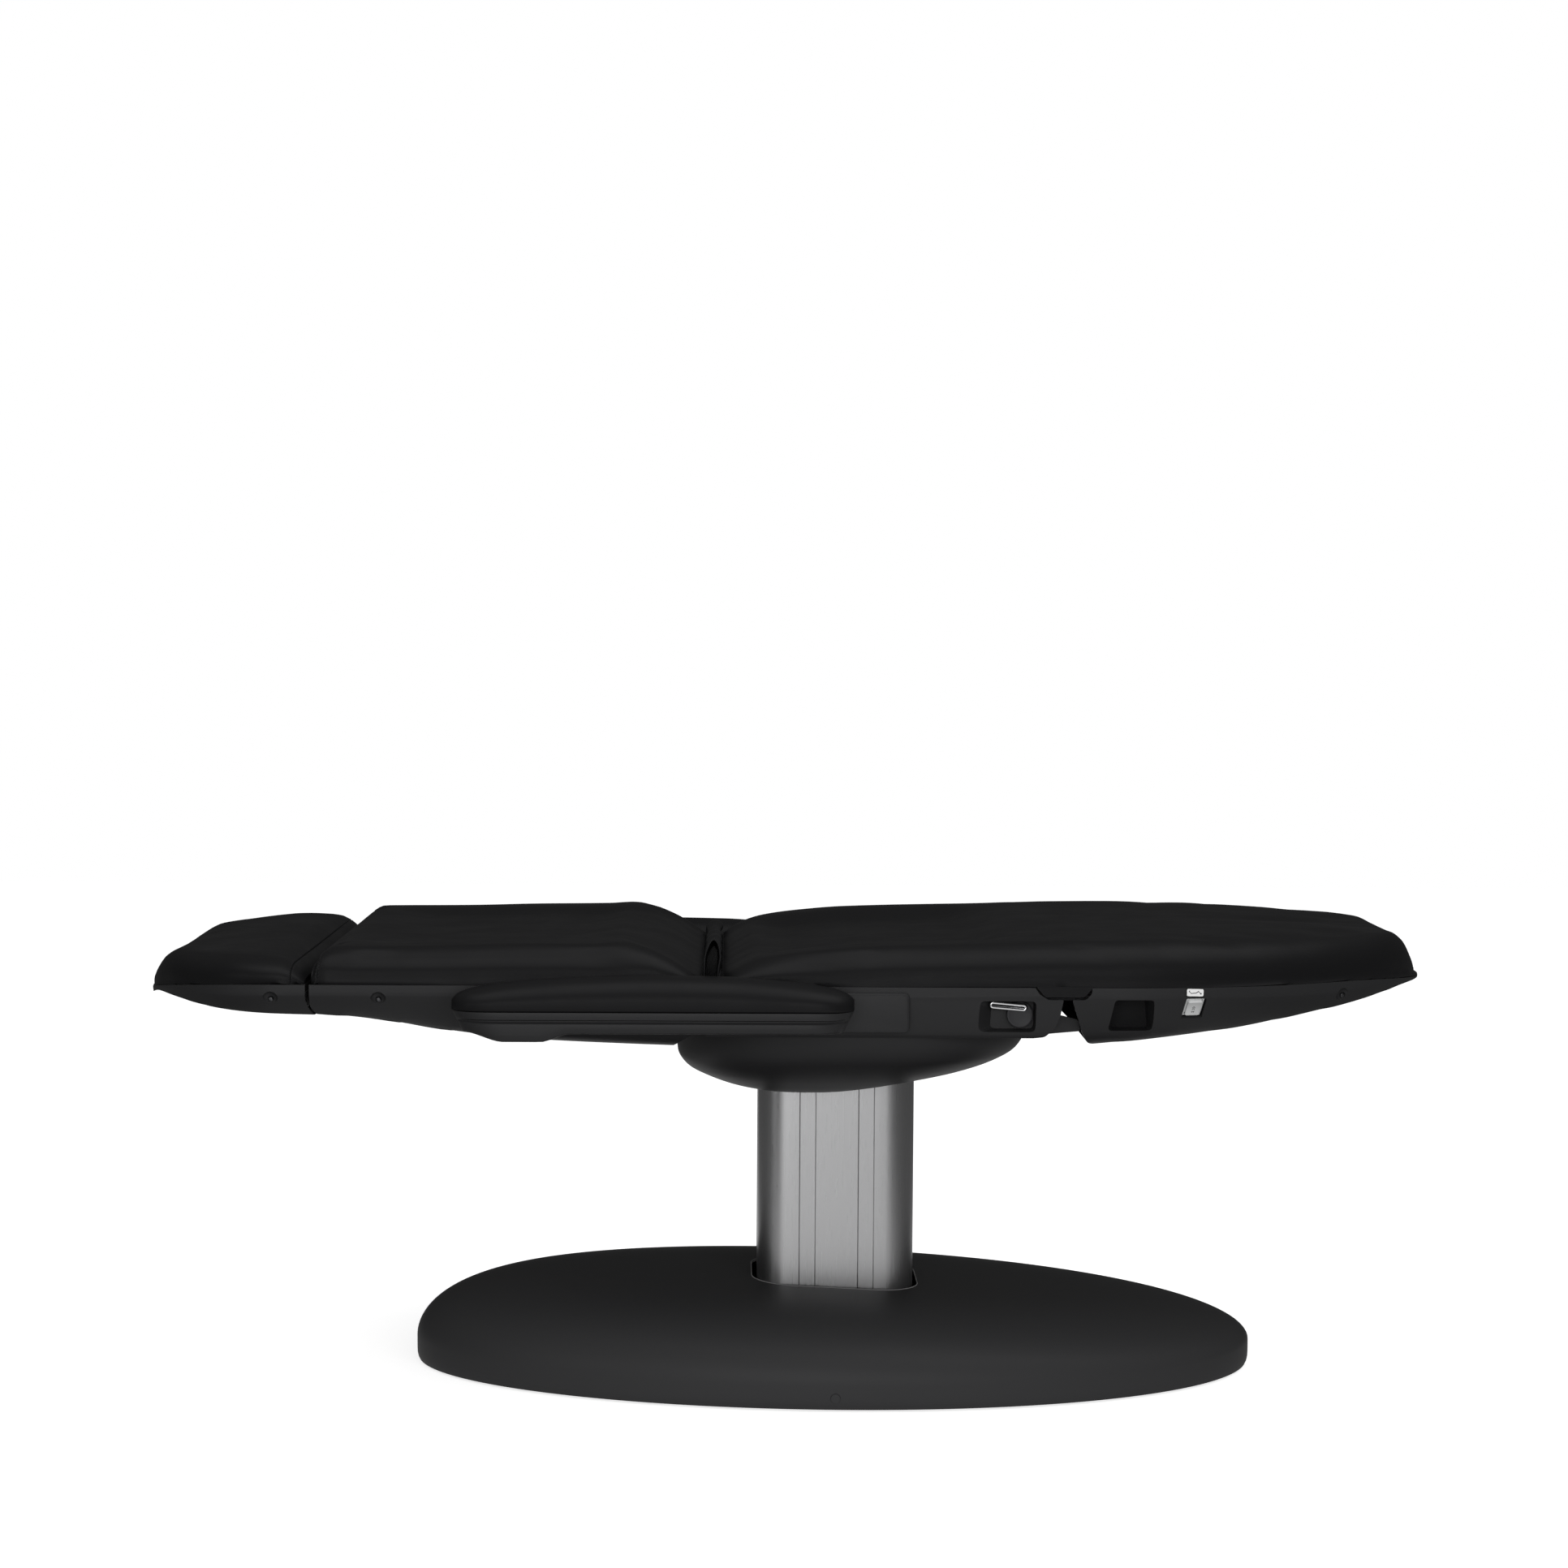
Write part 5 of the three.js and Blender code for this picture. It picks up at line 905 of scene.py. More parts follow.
def build_tub():
    """The tub under the top: hollow, open round the column and cut clear of the back."""
    table = np.array(TUB_RINGS, float)
    t = np.arange(len(table))
    fine = np.linspace(0, len(table) - 1, 33)
    rows = np.stack([curve(np.stack([t, column], axis=1), fine) for column in table.T], axis=1)
    tub = loft("lift_tub", [tub_ring(*row, 0) for row in rows], 30)
    cut(tub, loft("tub hollow", [tub_ring(*row, WALL) for row in rows], 30))
    cut(tub, prism("column hole", rounded_rectangle(*TUB_OPENING), 400, 620, "XY"))
    end = beside(BACK_AXIS, (-90, 500), (-65, 500), (-65, 527), (-29, 556), (-19, 563.7), (-19, 600),
                 (-90, 600))
    cut(tub, prism("end", filleted(end, (0, 0, 9, 4, 0, 0, 0)), -FAR, FAR))
    cut(tub, box("rod slot", (300, 1000), (130, 190), (526, 620)))
    return tub


COLUMN_HALF = (123, 107)
COLUMN_R = 46
COLUMN_Z = (16.3, 576)
FLUTE_DEEP = 0.8
FLUTE_EDGE = 1.6


def column_outline():
    """The column's section: rounded corners, and shallow flutes between the given places on its faces."""
    hx, hy = COLUMN_HALF
    r = COLUMN_R
    across = ((-58.5, -32), (33.5, 59.5))
    side = ((-30, 30),)
    points = []

    def face(length, flutes, place):
        points.append(place(-length, 0))
        for a, b in flutes:
            flute = ((a, 0), (a + FLUTE_EDGE, FLUTE_DEEP), (b - FLUTE_EDGE, FLUTE_DEEP), (b, 0))
            points.extend(place(u, deep) for u, deep in flute)
        points.append(place(length, 0))

    def corner(cx, cy, quarter):
        for i in range(1, 12):
            angle = (quarter + i / 12) * math.pi / 2
            points.append((cx + r * math.cos(angle), cy + r * math.sin(angle)))

    face(hy - r, side, lambda s, d: (hx - d, s))
    corner(hx - r, hy - r, 0)
    face(hx - r, across, lambda s, d: (-s, hy - d))
    corner(-hx + r, hy - r, 1)
    face(hy - r, side, lambda s, d: (-hx + d, -s))
    corner(-hx + r, -hy + r, 2)
    face(hx - r, across, lambda s, d: (s, -hy + d))
    corner(hx - r, -hy + r, 3)
    return [(COLUMN_X + x, y) for x, y in points]


def build_column():
    """The column's outer tube."""
    tube = prism("lifting_column", column_outline(), *COLUMN_Z, "XY", 25)
    return cut(tube, prism("bore", rounded_rectangle(*COLUMN_BORE), 0, 620, "XY"))


# The base cover: half sizes, egg shape, the wall's height, the dome's rise, its section's power, and
# the slant of its top; the wall's points are (height, inset).
BASE_HALF = (665, 358)
BASE_EGG = -0.05
BASE_EDGE_Z = 39
BASE_RISE = 98
BASE_POWER = 4.4
BASE_SLANT = 0.048
BASE_WALL = ((4, 3.5), (8, 1.6), (13, 0.5), (20, 0.1), (28, 0))


def base_ring(share, z, inset=0.0, drop=0.0, count=180):
    """A ring of the base cover; drop is 1 where the slanted top is reached."""
    ring = []
    for c, s in circle(1, count):
        x = (BASE_HALF[0] * share - inset) * c
        y = (BASE_HALF[1] * share - inset) * s * (1 - BASE_EGG * c)
        ring.append((COLUMN_X + x, y, z - BASE_SLANT * x * drop))
    return ring


def base_rings(offset, steps=40):
    """Rings of the base cover: the upright wall and the domed top, which is a superellipse in section."""
    rings = [base_ring(1, z - offset, inset + offset) for z, inset in BASE_WALL]
    for angle in np.linspace(0, math.radians(84), steps):
        share = math.cos(angle) ** (2 / BASE_POWER)
        z = BASE_EDGE_Z + BASE_RISE * math.sin(angle) - offset
        rings.append(base_ring(share, z, offset, math.sin(angle)))
    return rings


def build_base_cover():
    """The base cover: a hollow dome with an opening for the column and two round holes in its wall."""
    cover = loft("base_cover_skin", base_rings(0), 30)
    return cut(cover, loft("hollow", base_rings(4, 20), 30),
               box("floor", (-FAR, FAR), (-FAR, FAR), (-50, 4)),
               prism("opening", rounded_rectangle(*BASE_OPENING, arc=20), 4, 400, "XY"),
               rod("plug hole", (67, 22), 7.3, -420, -300, 32),
               rod("inlet hole", (160, 32), 11.3, 300, 420, 32))


# Cushions
# The round of a cushion's side, how far the side is drawn in, and the share of its height where the round
# starts
SIDE_R = 58
SIDE_TUCK = 2.2
SIDE_SHARE = 0.3


def section(w, z0, z1, dish, count):
    """A cushion's closed section, evenly spaced, starting at the middle of its underside."""
    rx = min(SIDE_R, w * 0.6)
    rise = z0 + (z1 - z0) * SIDE_SHARE
    tuck = min(SIDE_TUCK, w * 0.2)
    half = [(0, z0), (w - tuck - 1.5, z0), (w - tuck, z0 + 0.4)]
    for t in np.linspace(0.15, 1, 24):
        half.append((w - tuck * (1 - math.sin(t * math.pi / 2)), z0 + 0.4 + (rise - z0 - 0.4) * t))
    for t in np.linspace(0.01, 1, 120):
        angle = t * math.pi / 2
        half.append((w - rx + rx * math.cos(angle), rise + (z1 - rise) * math.sin(angle)))
    start, end = min(95, w * 0.7), min(170, w * 0.85)
    for t in np.linspace(0.01, 1, 120):
        y = (w - rx) * (1 - t)
        half.append((y, z1 - dish * smoothstep(w - y, start, end)))
    half = np.array(half)
    return resampled(np.vstack([half, half[-2:0:-1] * (-1, 1)]), count, closed=True)


def cushion_rings(xs, tops, dish, narrow, count):
    rings = []
    for x in xs:
        w = max(rim_half(x) - narrow(x), 5.0)
        z0 = rim_z(x) + FIT
        z1 = float(curve(tops, x))
        ring = section(w, z0, max(z1, z0 + 4), dish(x), count)
        rings.append([(x, y, z) for y, z in ring])
    return np.array(rings)


def ring_normals(grid):
    """Outward directions on a grid of rings."""
    around = np.roll(grid, -1, axis=1) - np.roll(grid, 1, axis=1)
    normal = np.cross(np.gradient(grid, axis=0), around)
    normal = normal / np.maximum(np.linalg.norm(normal, axis=2, keepdims=True), 1e-9)
    outward_part = normal * (grid - grid.mean(axis=1, keepdims=True))
    return -normal if np.mean(np.sum(outward_part, axis=2)) < 0 else normal


# The cloth run of a cushion's cover: its stuff, its frames, and the coarse copy's step along and points
# around
CLOTH = {"quality": 6, "mass": 0.4, "tension_stiffness": 12, "compression_stiffness": 12,
         "shear_stiffness": 6, "bending_stiffness": 1.5, "use_pressure": True,
         "uniform_pressure_force": 4, "vertex_group_mass": "pins"}
CLOTH_FRAMES = 20
CAGE_STEP = 14
CAGE_COUNT = 96


def points_of(mesh):
    return np.array([v.co[:] for v in mesh.vertices])


def puffed(xs, tops, dish, narrow, swell):
    """How far pressure under the cover pushes a coarse copy of the cushion, by a short cloth run."""
    count = max(12, int((xs[-1] - xs[0]) / CAGE_STEP))
    coarse_xs = np.interp(np.linspace(0, 1, count), np.linspace(0, 1, len(xs)), xs)
    grid = cushion_rings(coarse_xs, tops, dish, narrow, CAGE_COUNT)
    moved = np.zeros_like(grid)
    if swell == 0:
        return coarse_xs, moved
    obj = loft("cloth cage", grid)
    flat = grid.reshape(-1, 3)
    under = np.array([rim_z(x) for x in flat[:, 0]]) + 2.0
    row = np.arange(len(flat)) // CAGE_COUNT
    held = np.where((flat[:, 2] < under) | (row < 1) | (row > len(grid) - 2))[0]
    obj.vertex_groups.new(name="pins").add([int(i) for i in held], 1.0, "REPLACE")
    cloth = obj.modifiers.new("cloth", "CLOTH").settings
    for name, value in CLOTH.items():
        setattr(cloth, name, value)
    cloth.effector_weights.gravity = 0
    for step in range(1, CLOTH_FRAMES + 1):
        bpy.context.scene.frame_set(step)
    done = obj.evaluated_get(bpy.context.evaluated_depsgraph_get()).to_mesh()
    shift = (points_of(done) - points_of(obj.data)) / MM
    if len(shift) == len(flat):
        length = np.linalg.norm(shift, axis=1, keepdims=True)
        moved = (shift * np.minimum(1, swell / MM / np.maximum(length, 1e-9))).reshape(grid.shape)
    bpy.context.scene.frame_set(1)
    drop(obj)
    return coarse_xs, moved


def spread(coarse_xs, moved, xs, count):
    """The coarse grid's displacement on a finer grid."""
    at = np.arange(count) * CAGE_COUNT / count
    wrapped = np.concatenate([moved, moved[:, :1]], axis=1)
    rowwise = np.array([[np.interp(at, np.arange(CAGE_COUNT + 1), row[:, k]) for k in range(3)]
                        for row in wrapped])
    fine = np.array([[np.interp(xs, coarse_xs, rowwise[:, k, c]) for k in range(3)] for c in range(count)])
    return fine.transpose(2, 0, 1)


def with_seams(xs, seams):
    """The stations again, with more of them close to each seam."""
    near = [s + d for s in seams for d in (-5, -3.2, -2, -1.2, -0.6, 0, 0.6, 1.2, 2, 3.2, 5)]
    kept = [x for x in xs if all(abs(x - s) > 6 for s in seams)]
    return np.array(sorted(kept + [x for x in near if xs[0] < x < xs[-1]] + [xs[0], xs[-1]]))


# Length round a cushion's section, the height of the ripples in its cover, the share of the swell that the
# cover starts smaller by, and how far from a seam its two lines of stitches lie
CUSHION_AROUND = 1640
RIPPLE = 0.07
SHRINK = 0.45
STITCH_ASIDE = 2


def build_cushion(name, xs, tops, dish, narrow, seams, seed, swell_share=1.0):
    """A crowned pad with drawn-in sides, pressed out by its filling, with its seams pulled in."""
    s = sizes()
    xs = with_seams(list(xs), seams)
    seat = np.array([rim_z(x) + FIT for x in xs])[:, None]
    count = int(CUSHION_AROUND / (s.quad / MM)) // 2 * 2
    grid = cushion_rings(xs, tops, dish, narrow, count)
    coarse_xs, moved = puffed(xs, tops, dish, narrow, s.swell * swell_share)
    normal = ring_normals(grid)
    free = np.where(grid[:, :, 2] <= seat + 1.5, 0, 1)[:, :, None]
    grid = grid + spread(coarse_xs, moved, xs, count) * free
    # The cover starts smaller than the photographed shape, because the filling presses it out.
    shrink = SHRINK * s.swell / MM * swell_share * 1
    grid = grid - normal * shrink * free
    random = np.random.default_rng(seed)
    waves = random.uniform(0, 2 * math.pi, (5, 2))
    pitch = random.uniform(0.018, 0.05, (5, 2))
    ripple = sum(np.sin(grid[:, :, 0] * px + ax) * np.sin(grid[:, :, 1] * py + ay)
                 for (px, py), (ax, ay) in zip(pitch, waves)) * RIPPLE
    valley = sum((np.exp(-(((xs - at) * MM / s.seam_width) ** 2)) for at in seams), np.zeros(len(xs)))
    grid = grid + normal * ((ripple - valley[:, None] * s.seam_depth / MM)[:, :, None]) * free
    grid[:, :, 2] = np.maximum(grid[:, :, 2], seat)
    lines = [seam_line(grid, xs, at + off) for at in seams for off in (-STITCH_ASIDE, STITCH_ASIDE)]
    return loft(name, grid, 50), lines


def seam_line(grid, xs, at):
    """The part of a cushion's ring near x that lies above its underside."""
    ring = grid[int(np.argmin(np.abs(xs - at)))]
    above = ring[:, 2] > ring[:, 2].min() + 4
    first = int(np.argmax(above & ~np.roll(above, 1)))
    turned = np.roll(ring, -first, axis=0)
    return turned[: int(above.sum())]


def end_tuck(*ends):
    """How much narrower a cushion is at x: each end has its place, its run and its depth."""
    return lambda x: sum(deep * max(0, 1 - abs(x - at) / run) ** 2 for at, run, deep in ends)


# The two sewn seams, on the headrest and on the back cushion
HEAD_SEAM = -738
BACK_SEAM = -702.5


def head_cushion():
    tip = nose_stations(-HALF_LENGTH, -760, 44, start=True)
    xs = np.concatenate([tip, np.linspace(-752, -719, 10)])
    tuck = end_tuck((-719, 36, 9))
    return build_cushion("headrest_cushion", xs, HEAD_TOP, lambda x: 0.0, tuck, [HEAD_SEAM],
                         3, 0.8)


def back_cushion():
    spans = ((-709, -680, 9), (-672, -180, 62), (-175, -135, 12))
    xs = np.concatenate([np.linspace(*span) for span in spans])
    return build_cushion("back_cushion_skin", xs, BACK_TOP, lambda x: 9 * bump(x, -679, -195, 120),
                         end_tuck((-709, 24, 9), (-135, 60, 9)), [BACK_SEAM], 5)


def mattress():
    xs = np.concatenate([np.linspace(-105, -60, 12), np.linspace(-52, 760, 102),
                         nose_stations(768, HALF_LENGTH, 46, end=True)])
    return build_cushion("seat_and_leg_cushion", xs, SEAT_TOP, lambda x: 15 * bump(x, -85, 345, 90),
                         end_tuck((-105, 60, 9)), [], 8)


# Armrests: both ends in x, the middle in y, and the crown of the pad as (x, z)
ARM_X = (-497, 87)
ARM_Y = RIM_HALF + 58
ARM_HALF = 50
ARM_NOSES = (75, 60)
PAD_CROWN = ((-497, 629), (-488, 638), (-465, 646), (-403, 655), (-300, 662), (-205, 664.5), (-100, 663),
             (-20, 657), (50, 648), (76, 640), (87, 631))
PAD_Z0 = 616


def arm_width(x):
    """Half width of the armrest at x, with rounded ends."""
    left = max(0, (ARM_X[0] + ARM_NOSES[0] - x) / ARM_NOSES[0])
    right = max(0, (x - ARM_X[1] + ARM_NOSES[1]) / ARM_NOSES[1])
    return ARM_HALF * math.sqrt(1 - min(0.9995, max(left, right)) ** 3)


def arm_stations():
    left = nose_stations(ARM_X[0], -400, 20, start=True)
    right = nose_stations(20, ARM_X[1], 18, end=True)
    return np.concatenate([left, np.linspace(-388, 10, 32), right])


def mirrored_ring(x, half, side):
    full = [(y, z) for y, z in half] + [(-y, z) for y, z in half[::-1] if y > 1e-6]
    return [(x, side * ARM_Y + y, z) for y, z in full]


# The pad's lower edge as shares of its half width and height, and where its crown starts and how full it is
PAD_FOOT = ((0, 0), (0.5, 0), (0.9, 0), (0.95, 0.01), (0.985, 0.06), (0.998, 0.16), (1, 0.3))
PAD_CROWN_SHARE = 0.3
PAD_FULL = 0.85


def build_arm_pad(side, word):
    """An armrest's pad, crowned over a small round at its foot."""
    rings = []
    for x in arm_stations():
        w = arm_width(x)
        z1 = float(curve(PAD_CROWN, x))
        h = z1 - PAD_Z0
        half = [(w * share, PAD_Z0 + h * up) for share, up in PAD_FOOT]
        for t in np.linspace(0.04, 1, 34):
            angle = t * math.pi / 2
            up = PAD_CROWN_SHARE + (1 - PAD_CROWN_SHARE) * math.sin(angle)
            half.append((w * math.cos(angle) ** PAD_FULL, PAD_Z0 + h * up))
        half[-1] = (0, z1)
        rings.append(mirrored_ring(x, half, side))
    return loft("armrest_pad_skin_" + word, rings, 50)


# Width share and height of the armrest shell's two bands and the groove between them
TIERS = ((0.985, 615.7), (0.99, 613.5), (0.988, 608.5), (0.975, 605.4), (0.93, 604.4), (0.87, 603.6),
         (0.865, 601.4), (0.92, 600.4), (0.96, 599), (0.965, 595.5), (0.96, 592), (0.94, 588.6), (0.9, 586.2),
         (0.84, 584.7), (0.76, 584))
TIER_TAPER = 0.055


def tapered(point):
    """The armrest's lower tiers are shorter than the upper ones."""
    x, y, z = point
    middle = sum(ARM_X) / 2
    deep = TIERS[0][1] - TIERS[-1][1]
    return middle + (x - middle) * (1 - TIER_TAPER * (TIERS[0][1] - z) / deep), y, z


def build_arm_shell(side, word):
    """An armrest's shell: two bands with a groove between them, bored for its shaft."""
    rings = []
    for x in arm_stations():
        w = arm_width(x)
        lower = 12 * bump(x, ARM_X[0] + 9, ARM_X[0] + 167, 50)
        half = [(w * share, z - lower * min(1, max(0, (596 - z) / 6))) for share, z in TIERS]
        half = [(0, TIERS[0][1]), *half, (w * 0.4, half[-1][1]), (0, half[-1][1])]
        rings.append([tapered(p) for p in mirrored_ring(x, half, side)])
    shell = loft("armrest_shell_skin_" + word, rings, 35)
    ends = sorted((0, side * (RIM_HALF + 43.3)))
    return cut(shell, rod("bore", ARM_AXIS, BORE_R, *ends, 48))


# Gaiter: its fold in section, how much of the fold's height stands at the near end and elsewhere, where the
# height is measured from, half its leather's thickness, its half length, and where a web closes it
GAITER = ((-131.5, 648.8), (-131.5, 656), (-129.5, 665), (-123, 672.5), (-117, 674.5), (-111.5, 671),
          (-109, 664), (-111, 657), (-112.5, 648.8))
GAITER_PEAK = 2.3
GAITER_LOW = 0.74
GAITER_FOOT = 648.4
GAITER_THIN = 1.7
GAITER_HALF = 372
GAITER_WEB = -325


def gaiter_tall(y):
    """At the near end the flap is pinched and its fold stands up."""
    return GAITER_LOW + (GAITER_PEAK - GAITER_LOW) * smoothstep(-y, 275, 350)


def build_gaiter():
    """A folded leather flap across the gap between the back and the seat."""
    path = resampled(through(GAITER, 40), 60)
    tangent = np.gradient(path, axis=0)
    tangent /= np.linalg.norm(tangent, axis=1, keepdims=True)
    normal = np.stack([-tangent[:, 1], tangent[:, 0]], axis=1)
    random = np.random.default_rng(11)
    waves = random.uniform(0, 2 * math.pi, 4)
    rings = []
    for y in np.linspace(-GAITER_HALF, GAITER_HALF, 94):
        give = sum(math.sin(y * k / 40 + a) for k, a in zip((0.7, 1.3, 2.1, 3.2), waves))
        t = GAITER_THIN * (0.55 + 0.45 * min(1, (GAITER_HALF - abs(y)) / 5))
        lift = np.sin(np.linspace(0, math.pi, len(path)))[:, None] * normal * give
        tall = gaiter_tall(y)
        here = path * (1, tall) + (0, GAITER_FOOT * (1 - tall))
        outer, inner = here + lift + normal * t, here + lift - normal * t
        rings.append([(x, y, z) for x, z in np.vstack([outer, inner[::-1]])])
    tall = gaiter_tall(GAITER_WEB)
    web = [(x, GAITER_FOOT + (z - GAITER_FOOT) * tall) for x, z in path]
    parts = [loft("flap", rings, 60), prism("web", web, GAITER_WEB, GAITER_WEB + 2)]
    return joined("gap_gaiter_flap", parts, 60)


# Small parts
def joined(name, parts, smooth=40):
    """The parts as one mesh, each left as it is."""
    work = bmesh.new()
    for part in parts:
        work.from_mesh(part.data)
        drop(part)
    mesh = bpy.data.meshes.new(name)
    work.to_mesh(mesh)
    work.free()
    obj = linked(name, mesh)
    shade(obj, smooth)
    return obj


def closed_tube(name, path, radius, count=18):
    """A round bar along a closed path in a plane across Y."""
    path = np.array(path, float)
    ahead = np.roll(path, -1, axis=0) - np.roll(path, 1, axis=0)
    ahead /= np.linalg.norm(ahead, axis=1, keepdims=True)
    out = np.cross(ahead, (0, 1, 0))
    turns = 2 * math.pi * np.arange(count) / count
    rings = path[:, None] + radius * (np.cos(turns)[None, :, None] * out[:, None]
                                      + np.sin(turns)[None, :, None] * np.array([0, 1, 0]))
    faces = ring_faces(len(path), count, closed=True)
    return outward(new_object(name, rings.reshape(-1, 3), faces, 60))


def lathe_y(name, centre, profile, count=72):
    """A round part about an axis across the table, from (radius, y) points."""
    rings = [[(x, y, z) for x, z in circle(r, count, centre)] for r, y in profile]
    return loft(name, rings, 35)


DISC = (LEG_AXIS[0] - 66.5, 599)
DISC_THICK = 13
DISC_FRONT = -(RECESS_Y + FIT + DISC_THICK)
# The disc's edge and face, as (radius, how far behind its front)
DISC_PROFILE = ((17.6, 13), (19.1, 12.6), (19.5, 11.6), (19.5, 1.9), (19.1, 0.7), (18.2, 0.1), (17.2, 0),
                (15.8, 0.25), (14.6, 0.6), (6, 0.9))


def build_disc():
    """The release disc: a rounded rim and a shallow dished face."""
    return lathe_y("release_disc", DISC, [(r, DISC_FRONT + back) for r, back in DISC_PROFILE])


def build_loop():
    """The chrome release loop, a flat stadium of round bar."""
    half, high, bar = 22.6, 3.4, 2.6
    centre = (DISC[0] - 17.5, DISC_FRONT - FIT - bar, 612.3)
    tilt = math.radians(5)
    path = []
    for end, middle in enumerate((half, -half)):
        for t in np.linspace(-0.5, 0.5, 17):
            angle = (t + end) * math.pi
            px, pz = middle + high * math.cos(angle), high * math.sin(angle)
            path.append((centre[0] + px * math.cos(tilt) + pz * math.sin(tilt), centre[1],
                         centre[2] - px * math.sin(tilt) + pz * math.cos(tilt)))
    return closed_tube("release_loop", path, bar)


# The key's rounded ends: along it, drawn in at its sides, and lower
ROCKER_CORNER = ((0, 2.9, 1.1), (0.4, 1.7, 0.45), (1.2, 0.75, 0), (2.2, 0.2, 0), (3.4, 0, 0))
MARK_RAISED = 0.12


def rocker_face(v):
    """Height of the rocker's dished face along its length."""
    return 1.3 + 1.9 * (v / (ROCKER_SIZE[1] / 2)) ** 2


def build_rocker():
    place = side_matrix(*rocker_place())
    w, h = ROCKER_SIZE[0] / 2, ROCKER_SIZE[1] / 2
    rings = []
    middle = [(v, 0, 0) for v in (-9, -6, -2, 2, 6, 9)]
    lower = [(v - h, inset, low) for v, inset, low in ROCKER_CORNER]
    upper = [(h - v, inset, low) for v, inset, low in ROCKER_CORNER[::-1]]
    for v, inset, low in lower + middle + upper:
        f = rocker_face(v) - low
        a = w - inset
        half = [(a, -8.2), (a, f - 1.1), (a - 0.3, f - 0.4), (a - 1.1, f)]
        rings.append([tuple(place @ Vector((u, -t, v))) for u, t in half + [(-u, t) for u, t in half[::-1]]])
    return loft("rocker_key", rings, 35)


def stroke(a, b, width):
    """A straight stroke of a pictogram, as an outline."""
    a, b = np.array(a, float), np.array(b, float)
    along = (b - a) / np.linalg.norm(b - a)
    side = np.array([-along[1], along[0]]) * width / 2
    return [tuple(p) for p in (a - side, b - side, b + side, a + side)]


def build_rocker_symbols():
    """Two triangles, up and down, and a ring between them."""
    at = rocker_place()
    marks = []

    def mark(a, b, width, v):
        f = rocker_face(v)
        marks.append(on_side("mark", stroke(a, b, width), f - 0.4, f + MARK_RAISED, *at))

    for v, way in ((1.5, 1), (-8.5, -1)):
        corners = [(-2.1, v - 1.5 * way), (2.1, v - 1.5 * way), (0, v + 2 * way)]
        for a, b in zip(corners, corners[1:] + corners[:1]):
            mark(a, b, 0.7, v)
    ring = [(1.7 * math.cos(t), -3.5 + 1.7 * math.sin(t)) for t in np.linspace(0, 2 * math.pi, 13)]
    for a, b in zip(ring, ring[1:]):
        mark(a, b, 0.6, 3.5)
    return joined("rocker_symbols", marks)


LABEL = (ROCKER_X, 635.2)
LABEL_TILT = math.radians(2)
LABEL_SIZE = (25.5, 10.8)
SURROUND_SIZE = (29, 14.2)
# Strokes of the lounger: both ends on the plate, and the width
LOUNGER = (((-9.6, 2.2), (-6.4, -1.3), 0.8), ((-6.4, -1.3), (1.2, -0.6), 1.1), ((1.2, -0.6), (5.2, 2.0), 1.1),
           ((4.2, 2.4), (9.2, -1.8), 0.9), ((-9.8, 0.9), (-8.6, 2.9), 0.6), ((7.2, -1.9), (9.6, -2.0), 0.7),
           ((9.2, 0.2), (9.3, -2.2), 0.7))


def label_place():
    """Place, lean, turn and tilt of the plate on the rim band."""
    x, z = LABEL
    turn = math.atan2(rim_half(x - 13) - rim_half(x + 13), 26)
    return x, rim_half(x), z, 0.0, turn, LABEL_TILT


def build_label():
    return on_side("pictogram_plate", rectangle(*LABEL_SIZE, 2.6), -0.6, 1.0, *label_place())


def build_label_ink():
    """Black surround of the plate and a plain drawing of a lounger on it."""
    at = label_place()
    parts = [on_side("surround", rectangle(*SURROUND_SIZE, 4), -0.8, 0.7, *at)]
    parts += [on_side("mark", stroke(a, b, width), 0.8, 1 + MARK_RAISED, *at) for a, b, width in LOUNGER]
    return joined("pictogram_ink", parts)


def dome_z(x, y):
    """Height of the base cover's top at a place in plan."""
    dx = (x - COLUMN_X) / BASE_HALF[0]
    share = 0.3
    for _ in range(5):
        share = math.hypot(dx, y / (BASE_HALF[1] * (1 - BASE_EGG * dx / share)))
    rise = math.sqrt(1 - share ** BASE_POWER)
    return BASE_EDGE_Z + BASE_RISE * rise - BASE_SLANT * dx * BASE_HALF[0] * rise


def build_opening_edge():
    """The trimmed edge of the base cover's sheet round the column."""
    outer = rounded_rectangle(*grown(BASE_OPENING, 0.4), arc=20)
    inner = rounded_rectangle(*grown(BASE_OPENING, -1.2), arc=20)
    rings = []
    for (x0, y0), (x1, y1) in zip(outer, inner):
        z = dome_z(x0, y0)
        rings.append([(x0, y0, z + 0.1), ((x0 + x1) / 2, (y0 + y1) / 2, z + 0.55), (x1, y1, z + 0.2),
                      (x1, y1, z - 3.6), (x0, y0, z - 3.6)])
    points = np.array(rings).reshape(-1, 3)
    return outward(new_object("opening_edge", points, ring_faces(len(rings), 5, closed=True), 35))


def build_apron(side, word):
    """The leather under the long cushion that closes the notch between the seat and leg shells."""
    rings = []
    middle = LEG_AXIS[0] - 2.5
    a, b = sorted((side * 374.5, side * 387.5))
    for x in np.linspace(middle - 41.5, middle + 41.5, 24):
        z = 627 + 1.15 * max(0, abs(x - middle) - 29)
        line = ((a, z + 1), (a + 1.5, z), (b - 1.5, z), (b, z + 1.5), (b, RIM_Z + 1.5), (a, RIM_Z + 1.5))
        rings.append([(x, y, height) for y, height in line])
    return loft("notch_apron_" + word, rings, 50)


